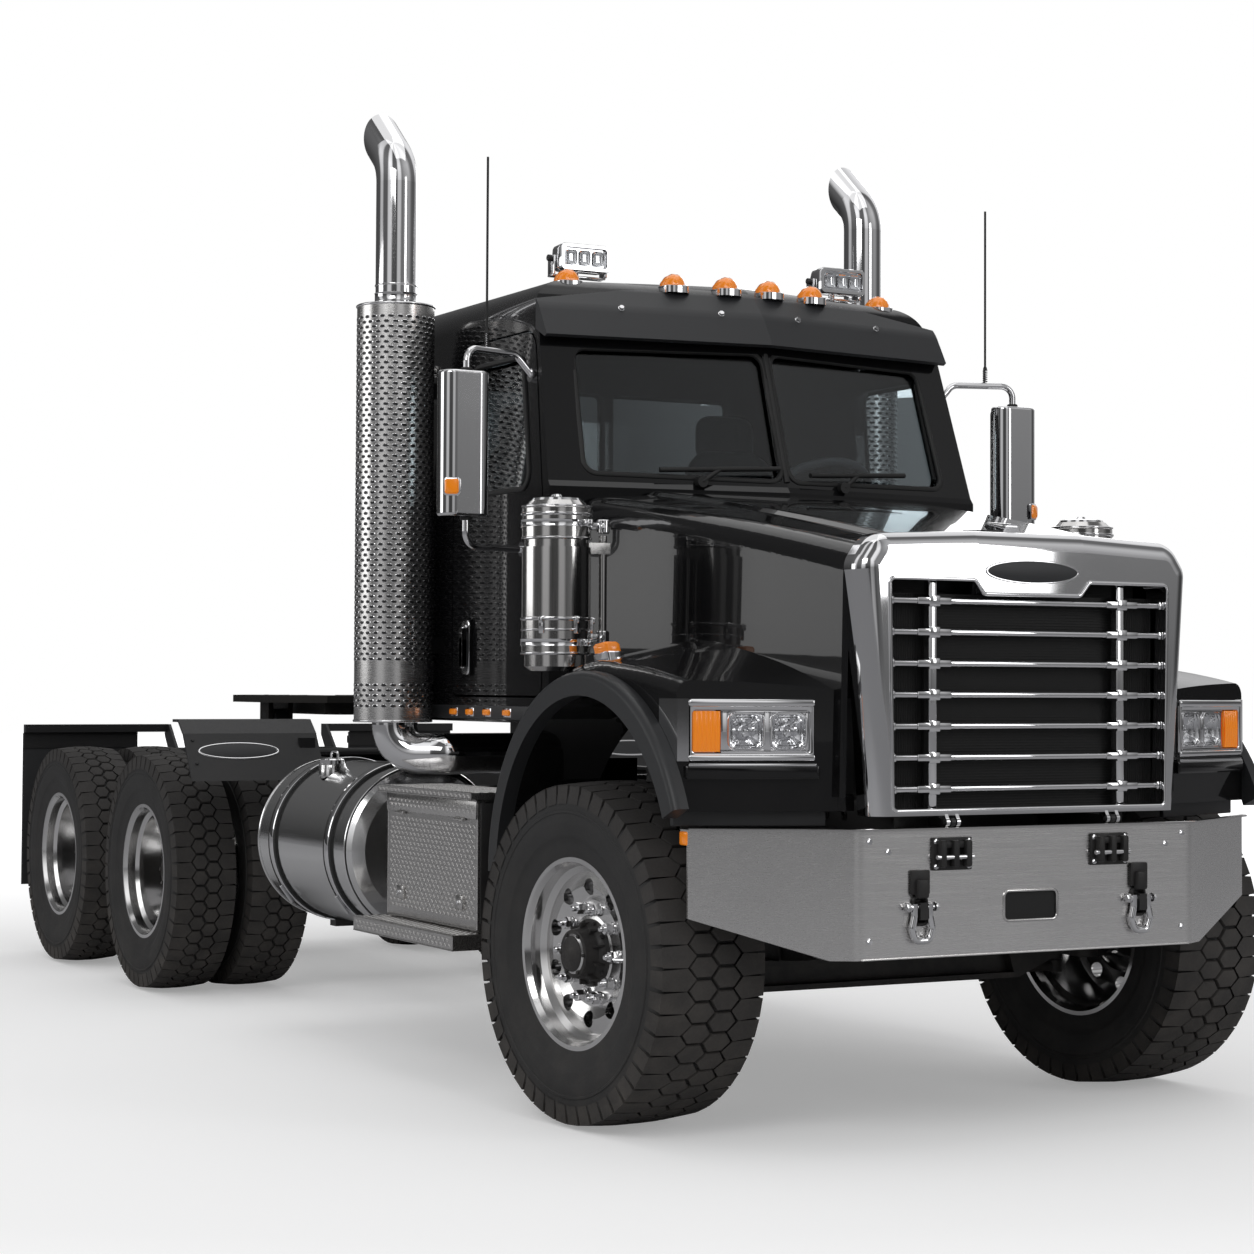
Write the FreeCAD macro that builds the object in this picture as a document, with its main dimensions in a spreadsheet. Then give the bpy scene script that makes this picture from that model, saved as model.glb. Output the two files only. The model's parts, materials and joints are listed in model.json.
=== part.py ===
# Day-cab tractor unit with a tilting hood, a tandem drive bogie and a fifth wheel.
# The frame: +Z up, the truck faces -Y, +X is its left side, the origin is on the ground under the middle of its box.
# Lengths are in millimetres. Stations along the truck are measured back from the front axle.
import FreeCAD, Part
import Sketcher
import math
import os
import re

from FreeCAD import Placement, Rotation, Vector

DRIVING_SIZES = """
front_reach 865        from the front axle forward to the towing eyes
rear_reach 6045        from the front axle back to the mud flaps
drive_station 4100     first drive axle
tandem_spread 1320     from drive axle to drive axle
rail_spread 864        over the frame rails
rail_height 270
rail_flange 90
rail_wall 12
rail_top 1030
rail_front 735         the rails reach this far ahead of the front axle
rail_rear 5900
front_tyre_radius 536
front_tyre_width 385
front_rim_width 335
front_wheel_x 980      middle of the front wheel from the centre line
rear_tyre_radius 527
rear_tyre_width 279
rear_rim_width 235
dual_x 893             plane between the twin wheels
dual_spacing 343
rim_radius 298         over the rim's flange
spindle_radius 45
kingpin_x 860
kingpin_radius 22
steer_angle 5.3        degrees that the wheels stand steered to the left
running_gap 0.05       radial clearance of a shaft in its bore
fit_gap 0.4            between pieces that seat on each other's curved faces
bumper_face 835
bumper_top 945
bumper_height 380
bumper_flat 620        half width of the flat middle
bumper_half 1055       half width over the bent ends
bumper_sweep 250       how far the ends lie back
bumper_wall 8
bumper_lip 45
hood_front 745
hood_rear 505          hood's rear edge at the centre line
hood_wall 22
hood_front_half 620
hood_rear_half 800
hood_front_top 1825
hood_rear_top 2045
crease_share 0.66      where the raised middle of the hood ends, as a share of its half width
hood_pivot_ahead 845
hood_pivot_height 965
grille_face 845
grille_half 620
grille_open_half 522
surround_round 58      outer rounding of the grille's frame
grille_bottom 985
grille_top 1778
grille_open_low 1000
grille_open_high 1690
bar_pitch 93.5
fender_half 1080
fender_face 560        the fender's outer front edge ahead of the front axle
fender_top 1352
arch_height 750        middle of the wheel arch above the ground
arch_radius 585
arch_crown 690
crown_rise 105         the fender's crown stands this much higher at the hood
fender_round 45
fender_swing 1488       its rear edge is an arc about the hood's hinge, inside the cab's lower front corner
flare_radius 662
flare_width 50
lamp_bottom 1145
lamp_height 185
lamp_recess 16         the lenses' seat behind the bezel's face
cab_half 880
cab_front 550
cab_rear 1960
cab_floor 1235
cab_roof 2815
cab_wall 50
cab_sweep 110          how far the windscreen's ends lie behind its middle
door_front 735
door_rear 1460
door_bottom 1330
door_top 2600
door_gap 8
door_axis_out 10       the door's hinge line outside the cab's side
sill_height 2045       lower edge of the windows
pane 6
stack_x 1032
stack_station 1655
stack_radius 76
stack_lean 50          degrees that the stack's end leans back
stack_reach 140        how far back its opening stands
stack_round 150        middle radius of its bend
stack_top 3510
shield_radius 143
shield_bottom 1227
shield_top 2766
cleaner_x 1060
cleaner_station 270
cleaner_radius 112
cleaner_bottom 1412
cleaner_top 1960
mirror_x 1150
mirror_station 790
mirror_bottom 1935
mirror_height 495
antenna_top 3180
tank_x 830
tank_height 745
tank_radius 317
tank_front 1800
tank_length 960
box_front 765
box_rear 1530
box_half 1100
box_bottom 530
box_top 980
fifth_station 4700
fifth_top 1310
fifth_half 457
fifth_pivot 1205
kingpin_bore 26
flap_half 1195
flap_width 600
flap_bottom 335
flap_top 1150
"""

doc = FreeCAD.newDocument("tractor_unit")
sheet = doc.addObject("Spreadsheet::Sheet", "Dims")


class Size:
    """A length that knows its value and the sheet expression that gives it."""

    def __init__(self, value, text):
        self.value = float(value)
        self.text = text

    def __add__(self, other):
        other = size(other)
        return Size(self.value + other.value, f"({self.text} + {other.text})")

    def __sub__(self, other):
        other = size(other)
        return Size(self.value - other.value, f"({self.text} - {other.text})")

    def __radd__(self, other):
        return size(other) + self

    def __rsub__(self, other):
        return size(other) - self

    def __neg__(self):
        return Size(-self.value, f"(0 - {self.text})")

    def __mul__(self, factor):
        return Size(self.value * factor, f"({self.text} * {factor})")

    __rmul__ = __mul__

    def __float__(self):
        return self.value


def size(value):
    return value if isinstance(value, Size) else Size(value, str(float(value)))


class Dims:
    pass


d = Dims()
for row, (alias, value) in enumerate(re.findall(r"^(\w+) ([\d.]+)", DRIVING_SIZES, re.M), start=1):
    sheet.set(f"A{row}", alias)
    sheet.set(f"B{row}", value)
    sheet.setAlias(f"B{row}", alias)
    setattr(d, alias, Size(value, f"Dims.{alias}"))
doc.recompute()

# The middle of the box lies over the origin, so the front axle stands ahead of it.
d.axle = (d.front_reach - d.rear_reach) * 0.5
SUB_PARTS = {}

SIDES = (("left", 1), ("right", -1))
CAB_MOUNT_STATIONS = (700, 1800)
ARM_REACH = 160         # the steering arm's end behind the kingpin
LUG_COUNT = 36          # lugs round each shoulder of a tyre
TRANSMISSION_AXIS = 700 # height of the transmission's output
ENGINE_REAR = 500       # stations of the flywheel housing
DOOR_HINGES = (1480.0, 1900.0)
SEAT_X = 430
FENDER_NOSE = 165       # the fender's middle reaches this far ahead of its outer front edge
FENDER_INNER = 560.0    # the fender runs in under the hood as far as this
LAMP_PROUD = 14         # the headlamp stands out of the fender's face
LAMP_INNER = 690.0      # the headlamp's inner edge
LAMP_FACE = 382         # length of the headlamp's face


def at(station):
    """The frame's Y of a station measured back from the front axle."""
    return d.axle + station


def bind(item, **sizes):
    """Binds properties, written with _ for a dot, to sheet expressions."""
    for name, length in sizes.items():
        item.setExpression(name.replace("_", "."), size(length).text)


def sub_part(label, item):
    """Names a finished sub-part, which is then checked and written."""
    item.Label = label
    SUB_PARTS[label] = item
    return item


def box(name, x, y, z):
    """A block between two limits along each axis."""
    item = doc.addObject("Part::Box", name)
    bind(item, Length=size(x[1]) - x[0], Width=size(y[1]) - y[0], Height=size(z[1]) - z[0])
    bind(item, Placement_Base_x=x[0], Placement_Base_y=y[0], Placement_Base_z=z[0])
    return item


TURN = {"X": Rotation(Vector(0, 1, 0), 90), "Y": Rotation(Vector(1, 0, 0), -90), "Z": Rotation()}


def rod(name, axis, start, radius, length):
    """A cylinder from a start point along +axis."""
    item = doc.addObject("Part::Cylinder", name)
    item.Placement = Placement(Vector(), TURN[axis])
    bind(item, Radius=radius, Height=length)
    bind(item, Placement_Base_x=start[0], Placement_Base_y=start[1], Placement_Base_z=start[2])
    return item


def prism(name, plane, points, low, high, rounds=None):
    """A padded sketch: points lie in the plane, and the pad runs from low to high along its normal.
    rounds gives a fillet radius for the corners whose numbers it names."""
    body = doc.addObject("PartDesign::Body", name)
    role = {"XY": "XY_Plane", "XZ": "XZ_Plane", "YZ": "YZ_Plane"}[plane]
    origin = [f for f in body.Origin.OriginFeatures if f.Role == role][0]
    sketch = body.newObject("Sketcher::SketchObject", name + "_sketch")
    sketch.AttachmentSupport = [(origin, "")]
    sketch.MapMode = "FlatFace"
    points = [(size(u), size(v)) for u, v in points]
    corners = [Vector(u.value, v.value, 0) for u, v in points]
    for i, corner in enumerate(corners):
        sketch.addGeometry(Part.LineSegment(corner, corners[(i + 1) % len(corners)]), False)
    for i, (u, v) in enumerate(points):
        sketch.addConstraint(Sketcher.Constraint("Coincident", i, 2, (i + 1) % len(points), 1))
    for i, (u, v) in enumerate(points):
        for kind, length in (("DistanceX", u), ("DistanceY", v)):
            index = sketch.addConstraint(Sketcher.Constraint(kind, i, 1, length.value))
            sketch.setExpression(f"Constraints[{index}]", length.text)
    pad = body.newObject("PartDesign::Pad", name + "_pad")
    pad.Profile = sketch
    low, high = size(low), size(high)
    # The XZ plane's normal points along -Y, so there the pad starts at the high end.
    sketch.setExpression("AttachmentOffset.Base.z", (-high if plane == "XZ" else low).text)
    pad.setExpression("Length", (high - low).text)
    doc.recompute()
    if rounds:
        normal = {"XY": Vector(0, 0, 1), "XZ": Vector(0, 1, 0), "YZ": Vector(1, 0, 0)}[plane]
        flat = {"XY": lambda p: (p.x, p.y), "XZ": lambda p: (p.x, p.z), "YZ": lambda p: (p.y, p.z)}[plane]
        for number, radius in enumerate(sorted({float(size(r)) for r in rounds.values()})):
            names = []
            wanted = [corners[i] for i, r in rounds.items() if abs(float(size(r)) - radius) < 1e-9]
            base = body.Tip
            for k, edge in enumerate(base.Shape.Edges, start=1):
                a, b = edge.Vertexes[0].Point, edge.Vertexes[-1].Point
                if (b - a).cross(normal).Length > 1e-6 or (b - a).Length < 1e-6:
                    continue
                u, v = flat(a)
                if any(abs(u - w.x) < 0.01 and abs(v - w.y) < 0.01 for w in wanted):
                    names.append(f"Edge{k}")
            fillet = body.newObject("PartDesign::Fillet", f"{name}_round{number}")
            fillet.Base = (base, names)
            source = [size(r) for r in rounds.values() if abs(float(size(r)) - radius) < 1e-9][0]
            fillet.Radius = radius
            fillet.setExpression("Radius", source.text)
            doc.recompute()
    return body


def turned(name, axis, centre, points):
    """A revolved sketch: points are (along the axis, radius), and the body is placed at its centre."""
    body = doc.addObject("PartDesign::Body", name)
    role = {"X": "XZ_Plane", "Y": "XY_Plane", "Z": "XZ_Plane"}[axis]
    origin = [f for f in body.Origin.OriginFeatures if f.Role == role][0]
    sketch = body.newObject("Sketcher::SketchObject", name + "_sketch")
    sketch.AttachmentSupport = [(origin, "")]
    sketch.MapMode = "FlatFace"
    swap = axis in "YZ"
    points = [(size(r), size(a)) if swap else (size(a), size(r)) for a, r in points]
    corners = [Vector(u.value, v.value, 0) for u, v in points]
    for i, corner in enumerate(corners):
        sketch.addGeometry(Part.LineSegment(corner, corners[(i + 1) % len(corners)]), False)
    for i in range(len(points)):
        sketch.addConstraint(Sketcher.Constraint("Coincident", i, 2, (i + 1) % len(points), 1))
    for i, (u, v) in enumerate(points):
        for kind, length in (("DistanceX", u), ("DistanceY", v)):
            index = sketch.addConstraint(Sketcher.Constraint(kind, i, 1, length.value))
            sketch.setExpression(f"Constraints[{index}]", length.text)
    spin = body.newObject("PartDesign::Revolution", name + "_turn")
    spin.Profile = sketch
    spin.ReferenceAxis = (sketch, ["V_Axis" if swap else "H_Axis"])
    spin.Angle = 360
    bind(body, Placement_Base_x=centre[0], Placement_Base_y=centre[1], Placement_Base_z=centre[2])
    doc.recompute()
    return body


def join(name, *items):
    item = doc.addObject("Part::MultiFuse", name)
    item.Shapes = list(items)
    item.Refine = True
    return item


def together(name, *items):
    """Several solids that don't touch, as one sub-part."""
    item = doc.addObject("Part::Compound", name)
    item.Links = list(items)
    return item


def cut(name, base, *tools):
    for number, tool in enumerate(tools):
        item = doc.addObject("Part::Cut", f"{name}_{number}" if number < len(tools) - 1 else name)
        item.Base = base
        item.Tool = tool
        base = item
    return base


def common(name, *items):
    item = doc.addObject("Part::MultiCommon", name)
    item.Shapes = list(items)
    return item


def mirrored(name, source):
    """The same piece on the other side of the centre line."""
    item = doc.addObject("Part::Mirroring", name)
    item.Source = source
    item.Normal = Vector(1, 0, 0)
    return item


def shaped(name, shape):
    """A piece whose shape is worked out here from the sheet's sizes."""
    item = doc.addObject("Part::Feature", name)
    item.Shape = shape
    return item


def rounded_wire(points, radii, closed=True):
    """A wire of straight runs joined by tangent arcs; radii has one radius for each point."""
    n = len(points)
    edges = []
    ends = []
    for i in range(n):
        p = points[i]
        if radii[i] <= 0 or (not closed and i in (0, n - 1)):
            ends.append((p, None, p))
            continue
        a = (points[i - 1] - p).normalize()
        b = (points[(i + 1) % n] - p).normalize()
        half = a.getAngle(b) / 2
        back = radii[i] / math.tan(half)
        middle = p + (a + b).normalize() * (radii[i] / math.sin(half) - radii[i])
        ends.append((p + a * back, middle, p + b * back))
    for i in range(n):
        start, middle, end = ends[i]
        if middle is not None:
            edges.append(Part.Arc(start, middle, end).toShape())
        if closed or i < n - 1:
            follow = ends[(i + 1) % n][0]
            if (follow - end).Length > 1e-6:
                edges.append(Part.LineSegment(end, follow).toShape())
    return Part.Wire(edges)


def tube(points, radius, bend, bore=0.0):
    """A round bar or pipe along straight runs joined by arcs of one bend radius."""
    path = rounded_wire(points, [bend] * len(points), closed=False)
    along = points[1] - points[0]

    def swept(r):
        ring = Part.Wire([Part.Circle(points[0], along, r).toShape()])
        return path.makePipeShell([ring], True, False)

    solid = swept(radius)
    return solid.cut(swept(bore)) if bore else solid


def v3(x, y, z):
    return Vector(float(x), float(y), float(z))


def pair(name, left):
    """A piece and its mirror image, as one sub-part."""
    return sub_part(name, together(name + "_pair", left, mirrored(name + "_mirror", left)))


def sided(x, side):
    """A sideways distance on the left side (+1) or the right side (-1)."""
    return size(x) if side > 0 else -size(x)


def extruded(points, plane, low, high):
    """A straight-sided solid, for shapes that are worked out as numbers."""
    low, high = float(low), float(high)
    place = {"XY": lambda u, v: v3(u, v, low), "XZ": lambda u, v: v3(u, low, v),
             "YZ": lambda u, v: v3(low, u, v)}[plane]
    along = {"XY": v3(0, 0, high - low), "XZ": v3(0, high - low, 0), "YZ": v3(high - low, 0, 0)}[plane]
    wire = Part.makePolygon([place(u, v) for u, v in points] + [place(*points[0])])
    return Part.Face(wire).extrude(along)


def block(x, y, z):
    return Part.makeBox(float(x[1]) - float(x[0]), float(y[1]) - float(y[0]), float(z[1]) - float(z[0]),
                        v3(x[0], y[0], z[0]))


def bar(axis, start, radius, length):
    along = {"X": v3(1, 0, 0), "Y": v3(0, 1, 0), "Z": v3(0, 0, 1)}[axis]
    return Part.makeCylinder(float(radius), float(length), v3(*start), along)


# Chassis

def frame_rails():
    """Channels with their flanges inwards, and the pedestals that carry the cab."""
    outside = d.rail_spread * 0.5
    inside = outside - d.rail_wall
    tip = outside - d.rail_flange
    low = d.rail_top - d.rail_height
    outline = [(outside, low), (outside, d.rail_top), (tip, d.rail_top), (tip, d.rail_top - d.rail_wall),
               (inside, d.rail_top - d.rail_wall), (inside, low + d.rail_wall), (tip, low + d.rail_wall), (tip, low)]
    rail = prism("rail", "XZ", outline, at(-d.rail_front), at(d.rail_rear), {0: 18, 1: 18})
    x = d.rail_spread * 0.5
    mounts = [box(f"cab_mount_{n}", (x - 85, x - 5), (at(s), at(s) + 110), (d.rail_top, d.cab_floor))
              for n, s in enumerate(CAB_MOUNT_STATIONS)]
    return pair("frame_rails", join("rail_with_mounts", rail, *mounts))


def crossmembers():
    """Channels between the rails, and a shelf with the two air tanks slung under it."""
    reach = d.rail_spread * 0.5 - d.rail_wall
    low = d.rail_top - d.rail_height + d.rail_wall
    high = d.rail_top - d.rail_wall
    rear = at(d.rail_rear)
    stations = [at(1700), at(2900), at(d.drive_station - 620), at(d.drive_station + d.tandem_spread * 0.5), rear - 90]
    beams = [prism("front_crossmember", "YZ",
                   [(at(-d.rail_front), low), (at(-d.rail_front) + 90, low), (at(-d.rail_front) + 90, low + 150),
                    (at(-d.rail_front), low + 150)], -reach, reach)]
    for number, station in enumerate(stations):
        web, deep = 10, 90
        outline = [(station, low), (station + deep, low), (station + deep, low + web), (station + web, low + web),
                   (station + web, high - web), (station + deep, high - web), (station + deep, high), (station, high)]
        beams.append(prism(f"crossmember_{number}", "YZ", outline, -reach, reach))
    below = d.rail_top - d.rail_height
    drums = [rod(f"air_tank_{n}", "Y", (x, at(2120), below - 60), 90, 640) for n, x in enumerate((-235, 235))]
    shelves = [box(f"air_tank_shelf_{n}", (-reach, reach), (at(s), at(s) + 60), (low, low + 50))
               for n, s in enumerate((2200, 2620))]
    beams.append(join("air_tanks", *shelves, *drums))
    return sub_part("crossmembers", together("crossmember_set", *beams))


def bumper():
    """A pressed channel: flat in the middle, bent back at both ends, with lips along its top and bottom."""
    face, end = at(-d.bumper_face), at(-d.bumper_face) + d.bumper_sweep

    def band(name, inset, deep, low, high, spare):
        flat = d.bumper_flat - inset * 0.2
        half = d.bumper_half + spare
        over = d.bumper_sweep * (spare / (d.bumper_half.value - d.bumper_flat.value))
        front, back = face + inset, face + deep
        points = [(-half, end + over + inset), (-flat, front), (flat, front), (half, end + over + inset),
                  (half, end + over + deep), (flat, back), (-flat, back), (-half, end + over + deep)]
        return prism(name, "XY", points, low, high, {1: 60, 2: 60})

    low, high = d.bumper_top - d.bumper_height, d.bumper_top
    outer = band("bumper_outer", size(0), d.bumper_lip, low, high, 0)
    inner = band("bumper_inner", d.bumper_wall, d.bumper_lip + 20, low + d.bumper_wall, high - d.bumper_wall, 20)
    shell = cut("bumper_channel", outer, inner)
    far = face - 50, end + 200
    tools = []
    for side in (1, -1):
        points = [(side * (d.bumper_flat + 15), low - 20), (side * (d.bumper_half + 30), low - 20),
                  (side * (d.bumper_half + 30), low + 130)]
        tools.append(prism(f"bumper_undercut_{side + 1}", "XZ", points, *far))
        tools.append(box(f"bumper_hatch_{side + 1}", (size(side * 300) - 52, size(side * 300) + 52),
                         (face - 20, face + 30), (high - 118, high - 30)))
        tools.append(box(f"shackle_slot_{side + 1}", (size(side * 410) - 20, size(side * 410) + 20),
                         (face - 20, face + 30), (low + 105, low + 175)))
    slot = [(-100, low + 98), (100, low + 98), (100, low + 188), (-100, low + 188)]
    tools.append(prism("bumper_slot", "XZ", slot, face - 20, face + 30, {0: 15, 1: 15, 2: 15, 3: 15}))
    return sub_part("bumper", cut("bumper_cut", shell, *tools))


def bumper_mounts():
    """Brackets from the rails to the bumper, each with a towing eye that passes through the bumper's slot."""
    face = at(-d.bumper_face)
    low = d.bumper_top - d.bumper_height
    back = face + d.bumper_wall
    x = 410
    bracket = box("bumper_bracket", (x - 45, x + 22), (back, at(-d.rail_front)), (low + 105, low + 300))
    tongue = box("tow_tongue", (x - 14, x + 14), (at(-d.front_reach), back + 2), (low + 115, low + 165))
    return [bracket, tongue]


def tow_shackles():
    """Bow shackles that hang from the towing eyes."""
    face = at(-d.bumper_face)
    low = d.bumper_top - d.bumper_height
    x, r, thick = 410.0, 36.0, 11.0
    y, z = float(face) - 17, float(low) + 140
    bow = rounded_wire([v3(x - 27, y, z + 22), v3(x - 27, y, z - 14), v3(x - r, y, z - 52), v3(x - 24, y, z - 88),
                        v3(x + 24, y, z - 88), v3(x + r, y, z - 52), v3(x + 27, y, z - 14), v3(x + 27, y, z + 22)],
                       [22] * 8, closed=False)
    ring = Part.Wire([Part.Circle(v3(x - 27, y, z + 22), v3(0, 0, 1), thick).toShape()])
    solid = bow.makePipeShell([ring], True, False)
    pin = bar("X", (x - 44, y, z + 12), 8, 88)
    shackle = solid.fuse(pin)
    shackle = shackle.cut(block((x - 14.4, x + 14.4), (y - 30, y + 30), (z - 26, z + 26)))
    return pair("tow_shackles", shaped("tow_shackle", shackle))


def hood_hinge_brackets():
    """Ears over the bumper that hold the hood's two hinge pins."""
    pivot_y, pivot_z = at(-d.hood_pivot_ahead), d.hood_pivot_height
    top = d.bumper_top + 3
    x = 300
    outline = [(pivot_y - 2, top), (at(-d.rail_front), top), (at(-d.rail_front), pivot_z + 10), (pivot_y - 2, pivot_z + 10)]
    ear = join("hinge_ear", prism("hinge_plate", "YZ", outline, x - 8, x + 8),
               rod("hinge_eye", "X", (x - 8, pivot_y, pivot_z), 13, 16),
               box("hinge_foot", (x - 8, d.rail_spread * 0.5 - d.rail_wall),
                   (at(-d.rail_front), at(-d.rail_front) + 14), (top, d.rail_top - 40)),
               rod("hinge_pin", "X", (x - 26, pivot_y, pivot_z), 7, 52))
    return pair("front_brackets", together("front_bracket_side", join("bumper_mount", *bumper_mounts()), ear))


# Front axle and steering

def wheel_height(front=True):
    return d.front_tyre_radius if front else d.rear_tyre_radius


def front_axle():
    """A drop-centre I-beam between the kingpin bosses."""
    z = wheel_height()
    boss = 52
    pin = d.kingpin_x
    points = [(pin, z - 42), (pin, z + 42), (pin - 110, z + 38), (size(520), z - 50), (size(-520), z - 50),
              (-(pin - 110), z + 38), (-pin, z + 42), (-pin, z - 42), (-(pin - 90), z - 55), (size(-540), z - 150),
              (size(540), z - 150), (pin - 90, z - 55)]
    beam = prism("axle_beam_blank", "XZ", points, at(0) - 55, at(0) + 55)
    tools = []
    for number, (low, high) in enumerate(((at(0) - 60, at(0) - 16), (at(0) + 16, at(0) + 60))):
        web = [(size(-500), z - 68), (size(-520), z - 132), (size(520), z - 132), (size(500), z - 68)]
        tools.append(prism(f"axle_flute_{number}", "XZ", web, low, high))
    blank = cut("axle_i_beam", beam, *tools)
    bosses = [rod(f"kingpin_boss_{side + 1}", "Z", (sided(pin, side), at(0), z - 60), boss, 120) for side in (1, -1)]
    bores = [rod(f"kingpin_bore_{side + 1}", "Z", (sided(pin, side), at(0), z - 70), d.kingpin_radius + d.running_gap, 140)
             for side in (1, -1)]
    springs = front_spring()
    whole = join("front_axle_blank", blank, *bosses, springs, mirrored("front_spring_mirror", springs))
    return sub_part("front_axle", cut("front_axle_bored", whole, *bores))


def spring_leaf(half, z_mid, rise, thick):
    """A leaf: an arc through its middle and its two ends, with one thickness."""
    y = float(at(0)) + 20

    def arc(z):
        return (v3(0, y - half, z + rise), v3(0, y, z), v3(0, y + half, z + rise))

    low, high = arc(z_mid), arc(z_mid + thick)
    edges = [Part.Arc(*low).toShape(), Part.LineSegment(low[2], high[2]).toShape(),
             Part.Arc(*reversed(high)).toShape(), Part.LineSegment(high[0], low[0]).toShape()]
    return Part.Face(Part.Wire(edges))


def front_spring():
    """Three leaves a side, clamped on the beam and held by hangers under the rail."""
    base = float(wheel_height()) - 50
    outer = float(d.rail_spread) / 2 - 4
    wide = 82.0
    rise = 95.0
    leaves = []
    for number, half in enumerate((330.0, 480.0, 620.0)):
        share = (half / 620.0) ** 2
        face = spring_leaf(half, base + 20 * number, rise * share, 20)
        face.translate(v3(outer - wide, 0, 0))
        leaves.append(face.extrude(v3(wide, 0, 0)))
    solid = leaves[0].fuse(leaves[1:])
    clamp = block((outer - wide - 8, outer + 8), (float(at(0)) - 90, float(at(0)) + 90), (base, base + 84))
    solid = solid.fuse(clamp)
    rail_low = float(d.rail_top - d.rail_height)
    for station in (float(at(0)) + 20 - 612, float(at(0)) + 20 + 612):
        eye = base + 50 + rise
        hanger = block((outer - wide - 4, outer + 4), (station - 40, station + 40), (eye - 14, rail_low))
        solid = solid.fuse(hanger).fuse(bar("X", (outer - wide - 10, station, eye), 32, wide + 20))
    return shaped("front_spring", solid.removeSplitter())


def steered(item, side):
    """Turns a finished piece about its kingpin to the angle at which the wheels stand."""
    centre = v3(side * d.kingpin_x.value, at(0), 0)
    item.Placement = Placement(Vector(), Rotation(Vector(0, 0, 1), d.steer_angle.value), centre)
    return item


def knuckle(name, side):
    """The steering knuckle: a yoke round the beam's boss, its kingpin, the spindle and the steering arm."""
    z = wheel_height()
    pin = d.kingpin_x
    half = 66
    thick = 34
    y = at(0)

    def across(low, high):
        return (low, high) if side > 0 else (-size(high), -size(low))

    levels = (z + half - 4, z - half + 4 - thick)
    arms = [rod(f"{name}_eye_{n}", "Z", (sided(pin, side), y, level), 50, thick) for n, level in enumerate(levels)]
    webs = [box(f"{name}_web_{n}", across(pin, pin + 82), (y - 44, y + 44), (level, level + thick))
            for n, level in enumerate(levels)]
    flange_x = pin + 58
    back = rod(f"{name}_flange", "X", (sided(flange_x, side) - (0 if side > 0 else 24), y, z), 97, 24)
    spindle_end = d.front_wheel_x + 66
    start = sided(flange_x, side) if side > 0 else -spindle_end
    spindle = rod(f"{name}_spindle", "X", (start, y, z), d.spindle_radius, spindle_end - flange_x)
    kingpin = rod(f"{name}_kingpin", "Z", (sided(pin, side), y, z - half - thick + 4), d.kingpin_radius,
                  2 * half + 2 * thick - 8)
    arm_low = levels[1]
    arm_points = [(pin - 40, y + 20), (pin + 30, y + 20), (pin + 22, y + ARM_REACH), (pin - 22, y + ARM_REACH)]
    if side < 0:
        arm_points = [(-u, v) for u, v in reversed(arm_points)]
    arm = prism(f"{name}_arm", "XY", arm_points, arm_low, arm_low + 28)
    ball = rod(f"{name}_ball", "Z", (sided(pin, side), y + ARM_REACH - 10, arm_low - 22), 30, 50)
    bored = cut(f"{name}_bored", join(f"{name}_blank", *arms, *webs, back, spindle, arm, ball),
                rod(f"{name}_tie_bore", "Z", (sided(pin, side), y + ARM_REACH - 10, arm_low - 30),
                    14 + d.running_gap, 40))
    return sub_part(name, steered(together(name + "_turned", join(name + "_whole", bored, kingpin)), side))


def tie_rod():
    """The track rod behind the axle, with its two ball pins."""
    z = wheel_height() - 66 + 4 - 34 - 22
    y = at(0) + ARM_REACH - 10
    reach = d.kingpin_x
    items = [rod("tie_bar", "X", (-reach, y, z - 24), 20, reach * 2)]
    for side in (1, -1):
        items.append(rod(f"tie_socket_{side + 1}", "Z", (sided(reach, side), y, z - 46), 28, 42))
        items.append(rod(f"tie_pin_{side + 1}", "Z", (sided(reach, side), y, z - 10), 14, 30))
    whole = together("tie_rod_set", join("tie_rod_blank", *items))
    angle = math.radians(d.steer_angle.value)
    arm = ARM_REACH - 10
    shift_x, shift_y = -arm * math.sin(angle), arm * math.cos(angle) - arm
    whole.Placement = Placement(v3(shift_x, shift_y, 0), Rotation())
    return sub_part("tie_rod", whole)


# Wheels

def wheel_blank(name, side, centre, points):
    points = [(size(a) * side, r) for a, r in points]
    return turned(name, "X", centre, points)


def hand_holes(body, name, pitch, radius, low, high, count):
    """Round holes through the disc, repeated about the axle."""
    origin = [f for f in body.Origin.OriginFeatures if f.Role == "YZ_Plane"][0]
    axis = [f for f in body.Origin.OriginFeatures if f.Role == "X_Axis"][0]
    sketch = body.newObject("Sketcher::SketchObject", name + "_hole_sketch")
    sketch.AttachmentSupport = [(origin, "")]
    sketch.MapMode = "FlatFace"
    sketch.AttachmentOffset = Placement(v3(0, 0, high), Rotation())
    sketch.addGeometry(Part.Circle(v3(0, pitch, 0), Vector(0, 0, 1), radius), False)
    sketch.addConstraint(Sketcher.Constraint("DistanceX", 0, 3, 0.0))
    sketch.addConstraint(Sketcher.Constraint("DistanceY", 0, 3, float(pitch)))
    sketch.addConstraint(Sketcher.Constraint("Radius", 0, float(radius)))
    pocket = body.newObject("PartDesign::Pocket", name + "_hole")
    pocket.Profile = sketch
    pocket.Length = float(high) - float(low)
    doc.recompute()
    pattern = body.newObject("PartDesign::PolarPattern", name + "_holes")
    pattern.Originals = [pocket]
    pattern.Axis = (axis, [""])
    pattern.Angle = 360
    pattern.Occurrences = count
    body.Tip = pattern
    doc.recompute()
    return body


def rim_edge(half, middle, sign):
    """The rim's section from the flange to the well, from outside in."""
    section = [(0, 0), (12.5, 0), (15.5, 13), (50, 15), (66, 34)]
    return [(middle + (half - back) * sign, d.rim_radius - drop) for back, drop in section]


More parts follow.
